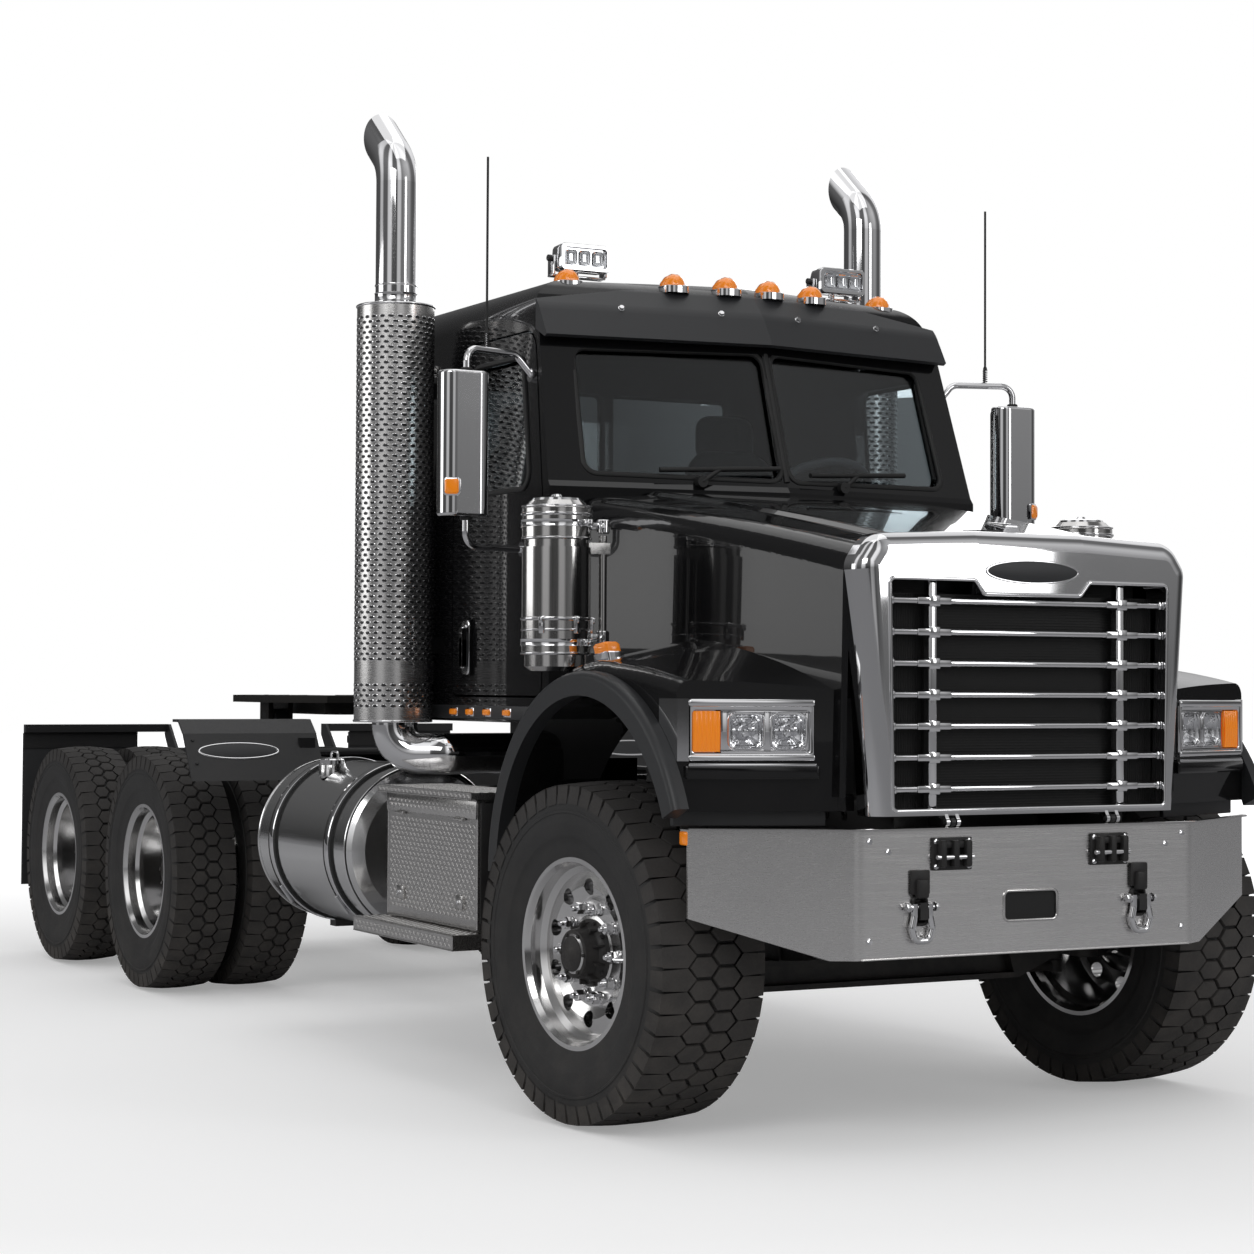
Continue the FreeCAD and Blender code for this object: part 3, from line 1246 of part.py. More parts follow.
def handle_shape(side):
    """The paddle handle on its escutcheon."""
    x = float(d.cab_half)
    y = float(at(d.door_rear)) - 130
    plate = block(sorted((side * (x - 2), side * (x + 10))), (y - 40, y + 40), (1400, 1600))
    paddle = block(sorted((side * (x + 8), side * (x + 30))), (y - 14, y + 14), (1430, 1570))
    return plate.fuse(paddle)


def door_hinges():
    """Hinge leaves on the cab's side, with the pins that the doors turn on."""
    axis_x, axis_y = float(d.cab_half) + float(d.door_axis_out), float(at(d.door_front)) + 6
    leaves = []
    for z in DOOR_HINGES:
        leaf = None
        for low in (z - 24, z + 47):
            piece = bar("Z", (axis_x, axis_y, low), 9, 23)
            piece = piece.fuse(block((float(d.cab_half), axis_x + 4), (axis_y - 60, axis_y), (low, low + 23)))
            leaf = piece if leaf is None else leaf.fuse(piece)
        leaf = leaf.fuse(block((float(d.cab_half), float(d.cab_half) + 5), (axis_y - 60, axis_y - 22), (z - 24, z + 70)))
        leaf = leaf.fuse(bar("Z", (axis_x, axis_y, z - 24), 4, 94))
        leaves.append(leaf.cut(cab_volume(0.0)).removeSplitter())
    return leaves


def sun_visor():
    """The visor over the windscreen, swept back to both sides."""
    y0, sweep = float(at(d.cab_front)), float(d.cab_sweep)
    slope = sweep / 750.0
    profile = rounded_wire([v3(0, y0 + 120, 2580), v3(0, y0 + 136, 2572), v3(0, y0 + 400, 2700), v3(0, y0 + 400, 2790),
                            v3(0, y0 + 262, 2772), v3(0, y0 + 185, 2690)], [0, 0, 0, 0, 40, 150])
    face = Part.Face(profile)
    wings = [face.extrude(v3(s * 838, 838 * slope, 0)) for s in (1, -1)]
    visor = wings[0].fuse(wings[1])
    body = cab_volume(0.0)
    rear = block((-900, 900), (y0 + 330, y0 + 800), (2500, 2900))
    visor = visor.cut(body).cut(rear)
    visor = max(visor.Solids, key=lambda s: s.Volume)
    return sub_part("sun_visor", shaped("sun_visor_shape", visor.removeSplitter()))


def cab_lights():
    """Six marker lamps along the roof's front edge, seated on the roof."""
    body = cab_volume(0.0)
    visor = SUB_PARTS["sun_visor"].Shape
    lamps = []
    y0 = float(at(0))
    for x, station in ((90, 860), (290, 890), (660, 1000)):
        for side in (1, -1):
            lamp = Part.makeSphere(48, v3(side * x, y0 + station, float(d.cab_roof) - 22))
            lamp = lamp.common(block((side * x - 34, side * x + 34), (y0 + station - 48, y0 + station + 48),
                                     (float(d.cab_roof) - 80, float(d.cab_roof) + 24)))
            lamp = lamp.cut(body).cut(visor)
            lamps.append(max(lamp.Solids, key=lambda s: s.Volume))
    return sub_part("cab_lights", shaped("cab_lights_shape", Part.makeCompound(lamps)))


def work_lights():
    """Two square lamps on posts behind the markers."""
    body = cab_volume(0.0)
    y, roof = float(at(1110)), float(d.cab_roof)
    post = bar("Z", (550, y + 30, roof - 60), 14, 110)
    foot = bar("Z", (550, y + 30, roof - 60), 40, 66)
    head = extruded([(y - 55, roof + 38), (y + 20, roof + 46), (y + 62, roof + 70), (y + 62, roof + 106), (y + 20, roof + 128),
                     (y - 55, roof + 136)], "YZ", 450, 650)
    lamp = head.fuse(post).fuse(foot).cut(body)
    lamp = max(lamp.Solids, key=lambda s: s.Volume)
    return pair("work_lights", shaped("work_light", lamp.removeSplitter()))


def wipers():
    """Arms and blades that lie along the foot of the windscreen."""
    slope = float(d.cab_sweep) / 750.0
    lean = 0.327
    y0 = float(at(d.cab_front))

    def on_glass(x, z, off):
        """A point that lies off the windscreen's outer face by a distance."""
        return v3(x, y0 + 15 + abs(x) * slope + (z - 2065) * lean - off, z)

    body = cab_volume(0.0)
    pieces = []
    for x0, tip in ((-330, (-30, 2130)), (250, (550, 2135))):
        pivot = on_glass(x0, 2075, 22)
        blade_a, blade_b = on_glass(x0 - 150, 2112, 20), on_glass(*tip, 20)
        blade = Part.makeCylinder(9, (blade_b - blade_a).Length, blade_a, blade_b - blade_a)
        middle = (blade_a + blade_b) * 0.5
        link = Part.makeCylinder(8, (middle - pivot).Length, pivot, middle - pivot)
        boss = Part.makeCylinder(20, 60, pivot + v3(0, -6, 0), v3(0, 1, 0))
        pieces.append(max(blade.fuse(link).fuse(boss).cut(body).Solids, key=lambda s: s.Volume))
    return sub_part("wipers", shaped("wipers_shape", Part.makeCompound(pieces)))


def dashboard():
    """The dash, from the firewall back, as deep as it shows through the glass."""
    y0 = float(at(d.cab_front))
    space = cab_volume(float(d.cab_wall))
    form = Part.Face(rounded_wire([v3(0, y0 - 50, 1700), v3(0, y0 + 330, 1700), v3(0, y0 + 400, 1800), v3(0, y0 + 400, 1960),
                                   v3(0, y0 + 330, 2050), v3(0, y0 - 50, 2062)], [0, 40, 30, 60, 40, 0]))
    form.translate(v3(-700, 0, 0))
    dash = form.extrude(v3(1400, 0, 0)).common(space)
    return sub_part("dashboard", shaped("dashboard_shape", dash.fuse(steering_wheel()).removeSplitter()))


def seat_base():
    floor = d.cab_floor + d.cab_wall
    base = prism("seat_base", "XZ", [(SEAT_X - 210, floor), (SEAT_X + 210, floor), (SEAT_X + 180, floor + 250),
                                     (SEAT_X + 180, 1630), (SEAT_X - 180, 1630), (SEAT_X - 180, floor + 250)], at(1200), at(1640))
    return base


def seats():
    """Cushion and back of each seat, with the head rest that stands above them."""
    y = at(0)
    points = [(y + 1150, 1630), (y + 1620, 1630), (y + 1700, 1690), (y + 1790, 2200), (y + 1780, 2270), (y + 1775, 2440),
              (y + 1700, 2440), (y + 1680, 2260), (y + 1655, 2200), (y + 1560, 1790), (y + 1160, 1810), (y + 1120, 1760)]
    seat = prism("seat_form", "YZ", points, SEAT_X - 240, SEAT_X + 240, {1: 50, 4: 30, 5: 25, 6: 25, 9: 40, 10: 35, 11: 35})
    return pair("seats", join("seat_whole", seat_base(), seat))


def steering_wheel():
    """Rim, three spokes and column, rising from the dash before the left seat."""
    y0 = float(at(d.cab_front))
    centre = v3(SEAT_X, y0 + 540, 2060)
    axis = v3(0, 0.62, 0.78)
    rim = Part.makeTorus(225, 16, centre, axis)
    hub = Part.makeCylinder(60, 46, centre - axis * 60, axis)
    solid = rim.fuse(hub)
    for turn in (0, 120, 240):
        flat = v3(1, 0, 0)
        spoke_dir = Rotation(axis, turn + 90).multVec(flat)
        solid = solid.fuse(Part.makeCylinder(12, 225, centre - axis * 25, spoke_dir))
    column = Part.makeCylinder(38, 420, centre - axis * 40, axis * -1)
    return solid.fuse(column)


def mirrors():
    """Each mirror head on its loop arm, with its antenna, carried by the door."""
    for name, side in SIDES:
        x, y = float(d.mirror_x), float(at(d.mirror_station))
        low, high = float(d.mirror_bottom), float(d.mirror_bottom) + float(d.mirror_height)
        back = Part.Face(rounded_wire([v3(x - 88, y - 42, 0), v3(x + 88, y - 42, 0), v3(x + 88, y + 34, 0),
                                       v3(x - 88, y + 34, 0)], [45, 45, 12, 12]))
        back.translate(v3(0, 0, low))
        head = back.extrude(v3(0, 0, high - low))
        ends = [e for e in head.Edges if abs(e.BoundBox.ZMin - e.BoundBox.ZMax) < 0.01]
        head = head.makeFillet(10, ends)
        arm_x = x - 8
        top, foot_top, foot_low = high + 86, 2440.0, 1835.0
        door_top_x, door_low_x = cab_side(foot_top), float(d.cab_half)
        y_foot = y + 80
        upper = tube([v3(door_top_x + 5, y_foot, foot_top), v3(door_top_x + 70, y_foot, top - 6), v3(arm_x, y, top - 6),
                      v3(arm_x, y, high - 20)], 12, 45)
        lower = tube([v3(door_low_x + 4, y_foot, foot_low), v3(arm_x, y, foot_low), v3(arm_x, y, low + 20)], 12, 50)
        feet = bar("X", (door_low_x, y_foot, foot_low), 26, 14).fuse(
            Part.makeCylinder(24, 14, v3(door_top_x - 1, y_foot, foot_top), v3(1, 0, 0.075)))
        mast = bar("Z", (arm_x - 95, y + (y_foot - y) * 0.55, top - 12), 3.2, float(d.antenna_top) - top + 12)
        whole = head.fuse([upper, lower, feet, mast])
        if side < 0:
            whole = whole.mirror(Vector(), Vector(1, 0, 0))
        whole = whole.cut(cab_volume(0.0))
        whole = max(whole.Solids, key=lambda s: s.Volume)
        sub_part(f"mirror_{name}", shaped(f"mirror_{name}_shape", whole))


# Hood

def hood_section(y, half, top, inset, low):
    """A cross section of the hood: upright sides, a rounded shoulder and a nearly flat top."""
    i = float(inset)
    corner = 95 - i * 0.6
    crease = half * float(d.crease_share)
    left = [v3(half + 12 - i, y, low), v3(half - i, y, top - 70 - i), v3(half - 70 - i * 0.7, y, top - 34 - i),
            v3(crease + 34, y, top - 22 - i), v3(crease, y, top - 5 - i)]
    right = [v3(-p.x, p.y, p.z) for p in reversed(left)]
    return rounded_wire(left + [v3(0, y, top - i)] + right, [0, corner, corner, 30, 30, 1500, 30, 30, corner, corner, 0])


def hood_volume(inset):
    """The hood's outer form, or what lies a given depth inside it."""
    front, rear = float(at(-d.hood_front)), float(at(d.hood_rear)) + 130
    a, b = float(d.hood_front_half), float(d.hood_rear_half)
    za, zb = float(d.hood_front_top), float(d.hood_rear_top)
    low = 1040.0 - (20 if inset else 0)
    sections = []
    for share in (0.0, 0.5, 1.0):
        y = front + (rear - front) * share
        swell = math.sin(math.pi * share)
        sections.append(hood_section(y, a + (b - a) * share - 6 * swell, za + (zb - za) * share + 14 * swell, inset, low))
    return Part.makeLoft(sections, True, False)


def arch_bore(radius, low=400.0, high=1300.0, side=1):
    """What the wheel needs of the arch, as a cylinder across the truck."""
    return Part.makeCylinder(radius, high - low, v3(side * low, float(at(0)) - 25, float(d.arch_height)), Vector(side, 0, 0))


def hood_shell():
    shell = hood_volume(0.0).cut(hood_volume(d.hood_wall))
    y = float(at(d.hood_rear))
    slope = float(d.cab_sweep) / 750.0
    behind = extruded([(0, y), (1000, y + 1000 * slope), (1000, y + 900), (-1000, y + 900), (-1000, y + 1000 * slope)],
                      "XY", 900, 2200)
    shell = shell.cut(behind)
    for side in (1, -1):
        shell = shell.cut(arch_bore(float(d.arch_radius), side=side))
    rear_low = block((-1100, 1100), (float(at(0)), y + 400), (900, 1235))
    shell = shell.cut(rear_low)
    return sub_part("hood_shell", shaped("hood_shell_shape", max(shell.Solids, key=lambda s: s.Volume)))


def fender_outline(crown_radius, x):
    """The fender's side view at a distance from the centre line: a crown that runs tangent into its nose."""
    y, zc = float(at(0)) - 25, float(d.arch_height)
    nose, top = float(at(-d.fender_face)) - FENDER_NOSE, float(d.fender_top)
    away, above = y - nose, top - zc
    reach = math.hypot(away, above)
    crown = math.atan2(above, away) + math.acos(min(1.0, crown_radius / reach))
    rear = math.radians(178)

    def spot(r, a):
        return v3(x, y - r * math.cos(a), zc + r * math.sin(a))

    crown_at, rear_out = spot(crown_radius, crown), spot(crown_radius, rear)
    low_in = spot(float(d.arch_radius), math.radians(25))
    low = low_in.z
    corner = v3(x, nose, top)
    swell = (crown_at + corner) * 0.5 + v3(0, 0, 0.02 * (corner - crown_at).Length)
    middle = spot(crown_radius, (rear + crown) / 2)
    edges = [Part.Arc(rear_out, middle, crown_at).toShape(), Part.Arc(crown_at, swell, corner).toShape(),
             Part.LineSegment(corner, v3(x, nose, low)).toShape(), Part.LineSegment(v3(x, nose, low), low_in).toShape(),
             Part.LineSegment(low_in, v3(x, y, zc)).toShape(), Part.LineSegment(v3(x, y, zc), rear_out).toShape()]
    return Part.Wire(edges), (middle, swell)


def fenders():
    """A fender each side: an arched crown that rises to the hood, and a full front that holds the headlamp."""
    half = float(d.fender_half)
    inner, _ = fender_outline(float(d.arch_crown + d.crown_rise), FENDER_INNER)
    outer, marks = fender_outline(float(d.arch_crown), half)
    blank = Part.makeLoft([inner, outer], True, True)
    rim = [e for e in blank.Edges if any(e.distToShape(Part.Vertex(m))[0] < 0.5 for m in marks)]
    blank = blank.makeFillet(float(d.fender_round), rim).cut(arch_bore(float(d.arch_radius), 500.0, 1200.0))
    front_y = float(at(-d.fender_face))
    nose = front_y - FENDER_NOSE
    slant = extruded([(FENDER_INNER - 10, nose - 5), (half + 60, nose - 5), (half + 60, front_y + 24),
                      (620, nose + 10), (FENDER_INNER - 10, nose + 10)], "XY", 700, 1700)
    box_face = float(at(d.box_front)) - 30
    over_boxes = block((0, half + 60), (box_face, box_face + 400), (700, 1700))
    hinge = v3(0, float(at(-d.hood_pivot_ahead)), float(d.hood_pivot_height))
    past_cab = Part.makeCylinder(2400, half + 60, hinge, v3(1, 0, 0)).cut(
        Part.makeCylinder(float(d.fender_swing), half + 60, hinge, v3(1, 0, 0)))
    for tool in (slant, over_boxes, past_cab, hood_volume(0.0), lamp_form(1, LAMP_PROUD)):
        blank = max(blank.cut(tool).Solids, key=lambda s: s.Volume)
    return pair("fenders", shaped("fender", blank))


def lamp_slope():
    """How far back the fender's slanted front runs for each millimetre outwards."""
    return (FENDER_NOSE - 10) / (float(d.fender_half) - 620)


def lamp_frame():
    """The headlamp's face: its direction outwards along the face, its normal, and its lower inner corner."""
    slope = lamp_slope()
    across = v3(1, slope, 0).normalize()
    nose = float(at(-d.fender_face)) - FENDER_NOSE
    corner = v3(LAMP_INNER, nose + 10 + (LAMP_INNER - 620) * slope - LAMP_PROUD, d.lamp_bottom)
    return across, v3(across.y, -across.x, 0), corner


def lamp_form(side, proud):
    """The headlamp's block: its face follows the fender's slanted front."""
    half = float(d.fender_half)
    nose = float(at(-d.fender_face)) - FENDER_NOSE

    def y_at(x):
        return nose + 10 + (x - 620) * lamp_slope()

    low, high = float(d.lamp_bottom), float(d.lamp_bottom + d.lamp_height)
    a, b = LAMP_INNER, half + 40
    points = [(a, y_at(a) - proud), (half - 28, y_at(half - 28) - proud), (b, y_at(half) + 30), (b, y_at(half) + 110),
              (half - 40, y_at(half) + 110), (a, y_at(a) + 62)]
    return extruded(points, "XY", low, high)


def headlamps():
    """A bezel along each fender's slanted front, with two lenses and a side lens set into it."""
    lamp = lamp_form(1, LAMP_PROUD)
    outer = block((600, float(d.fender_half)), (float(at(-1000)), float(at(0))), (1000, 1500))
    lamp = lamp.common(outer)
    across, away, corner = lamp_frame()
    up = v3(0, 0, 1)

    def panel(u, v, low, high, radius):
        """A rounded panel on the lamp's face: u runs outwards from its inner corner, v up from its foot."""
        corners = ((u[0], v[0]), (u[1], v[0]), (u[1], v[1]), (u[0], v[1]))
        points = [corner + across * a + up * b + away * low for a, b in corners]
        return Part.Face(rounded_wire(points, [radius] * 4)).extrude(away * (high - low))

    deep = float(d.lamp_recess)
    high = float(d.lamp_height)
    lamp = lamp.cut(panel((16, LAMP_FACE - 22), (24, high - 34), -deep, 30, 12))
    lenses = [panel((22 + 128 * n, 22 + 128 * n + 116), (30, high - 40), -deep - 4, -4, 26) for n in range(2)]
    lenses.append(panel((22 + 256, LAMP_FACE - 26), (28, high - 38), -deep - 4, -3, 10))
    return pair("headlamps", shaped("headlamp", lamp.fuse(lenses).removeSplitter()))


def arch_flares():
    """A broad lip round each wheel arch."""
    y, zc = float(at(0)) - 25, float(d.arch_height)
    r_in, r_out = float(d.arch_radius), float(d.flare_radius)
    x0 = float(d.fender_half)

    def spot(r, degrees):
        a = math.radians(degrees)
        return v3(x0, y + r * math.cos(a), zc + r * math.sin(a))

    first, last = 0.0, 157.0
    edges = [Part.Arc(spot(r_out, first), spot(r_out, 80), spot(r_out, last)).toShape(),
             Part.LineSegment(spot(r_out, last), spot(r_in, last)).toShape(),
             Part.Arc(spot(r_in, last), spot(r_in, 80), spot(r_in, first)).toShape(),
             Part.LineSegment(spot(r_in, first), spot(r_out, first)).toShape()]
    face = Part.Face(Part.Wire(edges))
    flare = face.extrude(v3(d.flare_width, 0, 0))
    outer = [e for e in flare.Edges if abs(e.BoundBox.XMin - x0 - float(d.flare_width)) < 0.01 and e.Length > 1700]
    flare = flare.makeFillet(22, [max(outer, key=lambda e: e.Length)])
    return pair("wheel_arch_flares", shaped("wheel_arch_flare", flare))


def rounded_front(name, base, face, low, radius):
    """Rounds the edges of a block's front face, but for the one along its foot."""
    numbers = []
    for number, edge in enumerate(base.Shape.Edges, start=1):
        limits = edge.BoundBox
        if abs(limits.YMin - face) < 0.01 and abs(limits.YMax - face) < 0.01 and limits.ZMax > low + 1:
            numbers.append((number, radius, radius))
    item = doc.addObject("Part::Fillet", name)
    item.Base = base
    item.Edges = numbers
    return item


def grille_surround():
    """The bright frame round the grille, with the hood's two hinge lugs under it."""
    face, back = at(-d.grille_face), at(-d.hood_front)
    half, low, high = d.grille_half, d.grille_bottom, d.grille_top
    outline = [(-(half - 52), low), (half - 52, low), (half, high - 40), (half - 60, high + 45), (size(200), high + 62),
               (size(-200), high + 62), (-(half - 60), high + 45), (-half, high - 40)]
    block_form = prism("surround_blank", "XZ", outline, face, back, {2: 70, 3: 90, 6: 90, 7: 70})
    blank = rounded_front("surround_rounded", block_form, float(face), float(low), float(d.surround_round))
    open_half, open_low, open_high = d.grille_open_half, d.grille_open_low, d.grille_open_high
    inside = [(-open_half + 12, open_low), (open_half - 12, open_low), (open_half, open_high), (size(215), open_high),
              (size(180), open_high - 42), (size(-180), open_high - 42), (size(-215), open_high), (-open_half, open_high)]
    opening = prism("surround_opening", "XZ", inside, face - 10, back + 10, {2: 30, 7: 30, 4: 14, 5: 14})
    frame = cut("surround_frame", blank, opening)
    pivot_y, pivot_z = at(-d.hood_pivot_ahead), d.hood_pivot_height
    lugs = []
    for side in (1, -1):
        for n, x in enumerate((side * 300 - 19, side * 300 + 19)):
            tag = f"{side + 1}_{n}"
            outline = [(pivot_y - 13, pivot_z), (pivot_y + 13, pivot_z), (pivot_y + 40, low + 8), (pivot_y + 2, low + 8)]
            lug = join(f"hood_lug_whole_{tag}", prism(f"hood_lug_{tag}", "YZ", outline, x - 6, x + 6),
                       rod(f"hood_lug_eye_{tag}", "X", (x - 6, pivot_y, pivot_z), 13, 12))
            bore = rod(f"hood_lug_bore_{tag}", "X", (x - 10, pivot_y, pivot_z), 7 + d.running_gap, 20)
            lugs.append(cut(f"hood_lug_bored_{tag}", lug, bore))
    return sub_part("grille_surround", together("surround_set", join("surround_whole", frame, *lugs), hood_ornament()))


def grille_bars():
    """Seven level bars crossed by two uprights, ending in the surround."""
    face, back = at(-d.grille_face) + 12, at(-d.grille_face) + 42
    high = d.grille_open_high
    bars = []
    for number in range(7):
        z = high - 66 - d.bar_pitch * number
        reach = d.grille_open_half - 1 - 12 * ((float(high) - float(z)) / 690.0)
        bars.append(box(f"grille_bar_{number}", (-reach, reach), (face, back), (z - 9, z + 9)))
    for side in (1, -1):
        x = side * 353
        bars.append(box(f"grille_upright_{side + 1}", (x - 15, x + 15), (face + 6, back + 8), (d.grille_open_low, high)))
        for number in range(7):
            z = high - 66 - d.bar_pitch * number
            bars.append(box(f"grille_sleeve_{side + 1}_{number}", (x - 62, x + 62), (face - 3, back), (z - 11, z + 11)))
            bars.append(box(f"grille_collar_{side + 1}_{number}", (x - 21, x + 21), (face - 3, back + 8), (z - 17, z + 17)))
    return sub_part("grille_bars", join("grille_bar_set", *bars))


def grille_screen():
    face = at(-d.grille_face) + 62
    reach = d.grille_open_half - 13
    screen = box("grille_mesh", (-reach, reach), (face, face + 8), (d.grille_open_low, d.grille_open_high - 43))
    return sub_part("grille_screen", screen)


def air_cleaners():
    """Upright canisters with bands and end caps, clamped to a post on the fender."""
    x, y = float(d.cleaner_x), float(at(d.cleaner_station))
    low, high, r = float(d.cleaner_bottom), float(d.cleaner_top), float(d.cleaner_radius)
    profile = [(0, 0), (0, r - 28), (14, r - 10), (60, r - 10), (60, r), (high - low - 150, r), (high - low - 150, r - 8),
               (high - low - 120, r - 8), (high - low - 120, r), (high - low - 26, r), (high - low, r - 24), (high - low, 0)]
    canister = turned("cleaner_canister", "Z", (x, y, low), [(a, b) for a, b in profile])
    post_x = x - r - 34
    post_y = y - 45
    items = []
    arch_top = fender_inside(post_y)
    items.append(rod("cleaner_post", "Z", (post_x, post_y, arch_top), 13, 1850 - arch_top))
    for n, z in enumerate((1470, 1790)):
        items.append(box(f"cleaner_clamp_{n}", (post_x - 18, post_x + 60), (post_y - 18, post_y + 18), (z, z + 36)))
    clear = shaped("fender_top", SUB_PARTS["fenders"].Shape)
    return pair("air_cleaners", cut("cleaner_seated", join("cleaner_whole", canister, *items), clear))


def fender_inside(y):
    """A height within the fender's crown at a place along the truck."""
    run = float(y) - (float(at(0)) - 25)
    return float(d.arch_height) + math.sqrt((float(d.arch_radius) + 30) ** 2 - run ** 2)


def hood_ornament():
    """A plain winged ornament at the front of the hood."""
    y = float(at(-d.hood_front)) + 60
    hood = hood_volume(0.0)
    z = float(d.hood_front_top)
    body = Part.makeCone(30, 12, 120, v3(0, y - 50, z + 16), v3(0, 1, 0.25))
    wings = extruded([(0, y - 40), (110, y + 50), (95, y + 66), (0, y + 20), (-95, y + 66), (-110, y + 50)],
                     "XY", z + 14, z + 28)
    foot = bar("Z", (0, y, z - 20), 26, 44)
    ornament = body.fuse([wings, foot]).cut(hood)
    return shaped("hood_ornament", max(ornament.Solids, key=lambda s: s.Volume))


def build():
    frame_rails()
    crossmembers()
    bumper()
    tow_shackles()
    hood_hinge_brackets()
    front_axle()
    for name, side in SIDES:
        knuckle(f"knuckle_{name}", side)
        front_wheel(name, side)
    tie_rod()
    for axle in ("forward", "rear"):
        for name, side in SIDES:
            dual_wheels(axle, name, side)
    rear_suspension()
    driveshafts()
    engine()
    radiator()
    fuel_tanks()
    tank_straps()
    step_boxes()
    quarter_fenders()
    mud_flaps()
    tail_bar()
    exhaust_stacks()
    heat_shields()
    fifth_wheel_base()
    fifth_wheel_plate()
    cab_shell()
    cab_glass()
    doors()
    sun_visor()
    cab_lights()
    work_lights()
    wipers()
    dashboard()
    seats()
    mirrors()
    hood_shell()
    fenders()
    headlamps()
    arch_flares()
    grille_surround()
    grille_bars()
    grille_screen()
    air_cleaners()


build()
doc.recompute()

faults = [item.Name for item in doc.Objects if "Invalid" in item.State or "Error" in item.State]
for label, item in SUB_PARTS.items():
    if item.Shape.isNull() or not item.Shape.isValid() or not item.Shape.Solids:
        faults.append(label)
if faults:
    raise RuntimeError("these objects failed: " + ", ".join(faults))

os.makedirs("parts", exist_ok=True)
for label, item in SUB_PARTS.items():
    item.Shape.exportStep(f"parts/{label}.step")
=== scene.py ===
# A day-cab tractor unit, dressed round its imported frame.
# Metres. +Z is up, the truck faces -Y, and +X is its left side.
import json
import math
import bmesh
import bpy
import numpy as np
from mathutils import Matrix, Vector
from mathutils.bvhtree import BVHTree


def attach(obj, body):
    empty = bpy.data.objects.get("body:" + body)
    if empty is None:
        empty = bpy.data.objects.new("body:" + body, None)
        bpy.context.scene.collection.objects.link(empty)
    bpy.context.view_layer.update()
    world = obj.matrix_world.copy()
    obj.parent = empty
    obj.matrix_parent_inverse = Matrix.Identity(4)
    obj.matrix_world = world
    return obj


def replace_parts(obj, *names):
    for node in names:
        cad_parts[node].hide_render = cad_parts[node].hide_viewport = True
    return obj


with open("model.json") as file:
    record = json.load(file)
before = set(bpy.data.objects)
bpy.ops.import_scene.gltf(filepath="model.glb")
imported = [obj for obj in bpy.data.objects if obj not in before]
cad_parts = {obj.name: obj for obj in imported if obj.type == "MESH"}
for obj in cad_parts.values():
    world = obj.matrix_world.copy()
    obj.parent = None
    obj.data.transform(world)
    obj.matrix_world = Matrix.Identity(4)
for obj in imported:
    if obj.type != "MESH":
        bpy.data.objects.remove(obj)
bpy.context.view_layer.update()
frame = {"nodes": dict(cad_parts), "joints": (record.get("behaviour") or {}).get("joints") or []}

JOINTS = {joint["name"]: joint for joint in frame["joints"]}
SIDES = (("left", 1), ("right", -1))
BOTH = (1, -1)
AXLES = ("forward", "rear")
AXLE_Y = JOINTS["steer_left"]["pos_m"][1]
# Unit vectors: to the truck's left, to its rear and up, and the opposites of the last two
ACROSS, BACK, UP = np.eye(3)
AHEAD = -BACK
DOWN = -UP
# Where rays down, ahead, back and inwards start, clear of all that they are to strike
CLEAR_ABOVE, CLEAR_BEHIND, CLEAR_AHEAD, CLEAR_ASIDE = 3.2, 5.0, -3.2, 1.6


# Forms. A form is (points, [faces]): an array of points, and arrays of faces with one number of corners each.

def grid(points, wrap_rows=False, wrap_columns=False):
    """A surface over a grid of points: each cell is one face, and a wrapped side joins its last line to its first."""
    rows, columns = points.shape[:2]
    a, b = np.meshgrid(np.arange(rows if wrap_rows else rows - 1),
                       np.arange(columns if wrap_columns else columns - 1), indexing="ij")
    c, e = (a + 1) % rows, (b + 1) % columns
    cells = np.stack([a * columns + b, a * columns + e, c * columns + e, c * columns + b], axis=-1)
    return points.reshape(-1, 3), [cells.reshape(-1, 4)]


def capped(rings):
    """A closed skin over rings of points, with a face over the first ring and one over the last."""
    points, faces = grid(rings, wrap_columns=True)
    ring = np.arange(rings.shape[1])
    return points, faces + [ring[None, ::-1], ring[None] + len(points) - len(ring)]


def merged(*forms):
    """Several forms as one, with the points of each numbered after those before."""
    points, faces, start = [], [], 0
    for form_points, form_faces in forms:
        points.append(form_points)
        faces += [f + start for f in form_faces]
        start += len(form_points)
    return np.concatenate(points), faces


def repeated(faces, count, size):
    """Faces for a number of copies of a form, each copy with that many points."""
    steps = np.arange(count) * size
    return [(f[None] + steps[:, None, None]).reshape(-1, f.shape[1]) for f in faces]


def copies(form, shifts):
    """The form repeated at each shift: point plus shift, for every pair of both."""
    points, faces = form
    shifts = np.asarray(shifts, float).reshape(-1, 3)
    return (points[None] + shifts[:, None]).reshape(-1, 3), repeated(faces, len(shifts), len(points))


def spun(form, centre, axis, count, start=0.0):
    """The form repeated at equal angles about an axis through a centre, by the axis-angle formula."""
    points, faces = form
    x, y, z = np.asarray(axis, float) / np.linalg.norm(axis)
    k = np.array([[0, -z, y], [z, 0, -x], [-y, x, 0]])
    angles = (start + np.arange(count) * 2 * math.pi / count)[:, None, None]
    turns = np.eye(3) + np.sin(angles) * k + (1 - np.cos(angles)) * (k @ k)
    moved = np.einsum("kij,nj->kni", turns, points - centre) + centre
    return moved.reshape(-1, 3), repeated(faces, count, len(points))


def mirrored(form):
    """The form's mirror image in the plane x = 0, with its faces turned round again."""
    points, faces = form
    return points * [-1, 1, 1], [f[:, ::-1] for f in faces]


def both(*forms):
    """Forms as one, on the left side and mirrored on the right."""
    form = merged(*forms)
    return merged(form, mirrored(form))


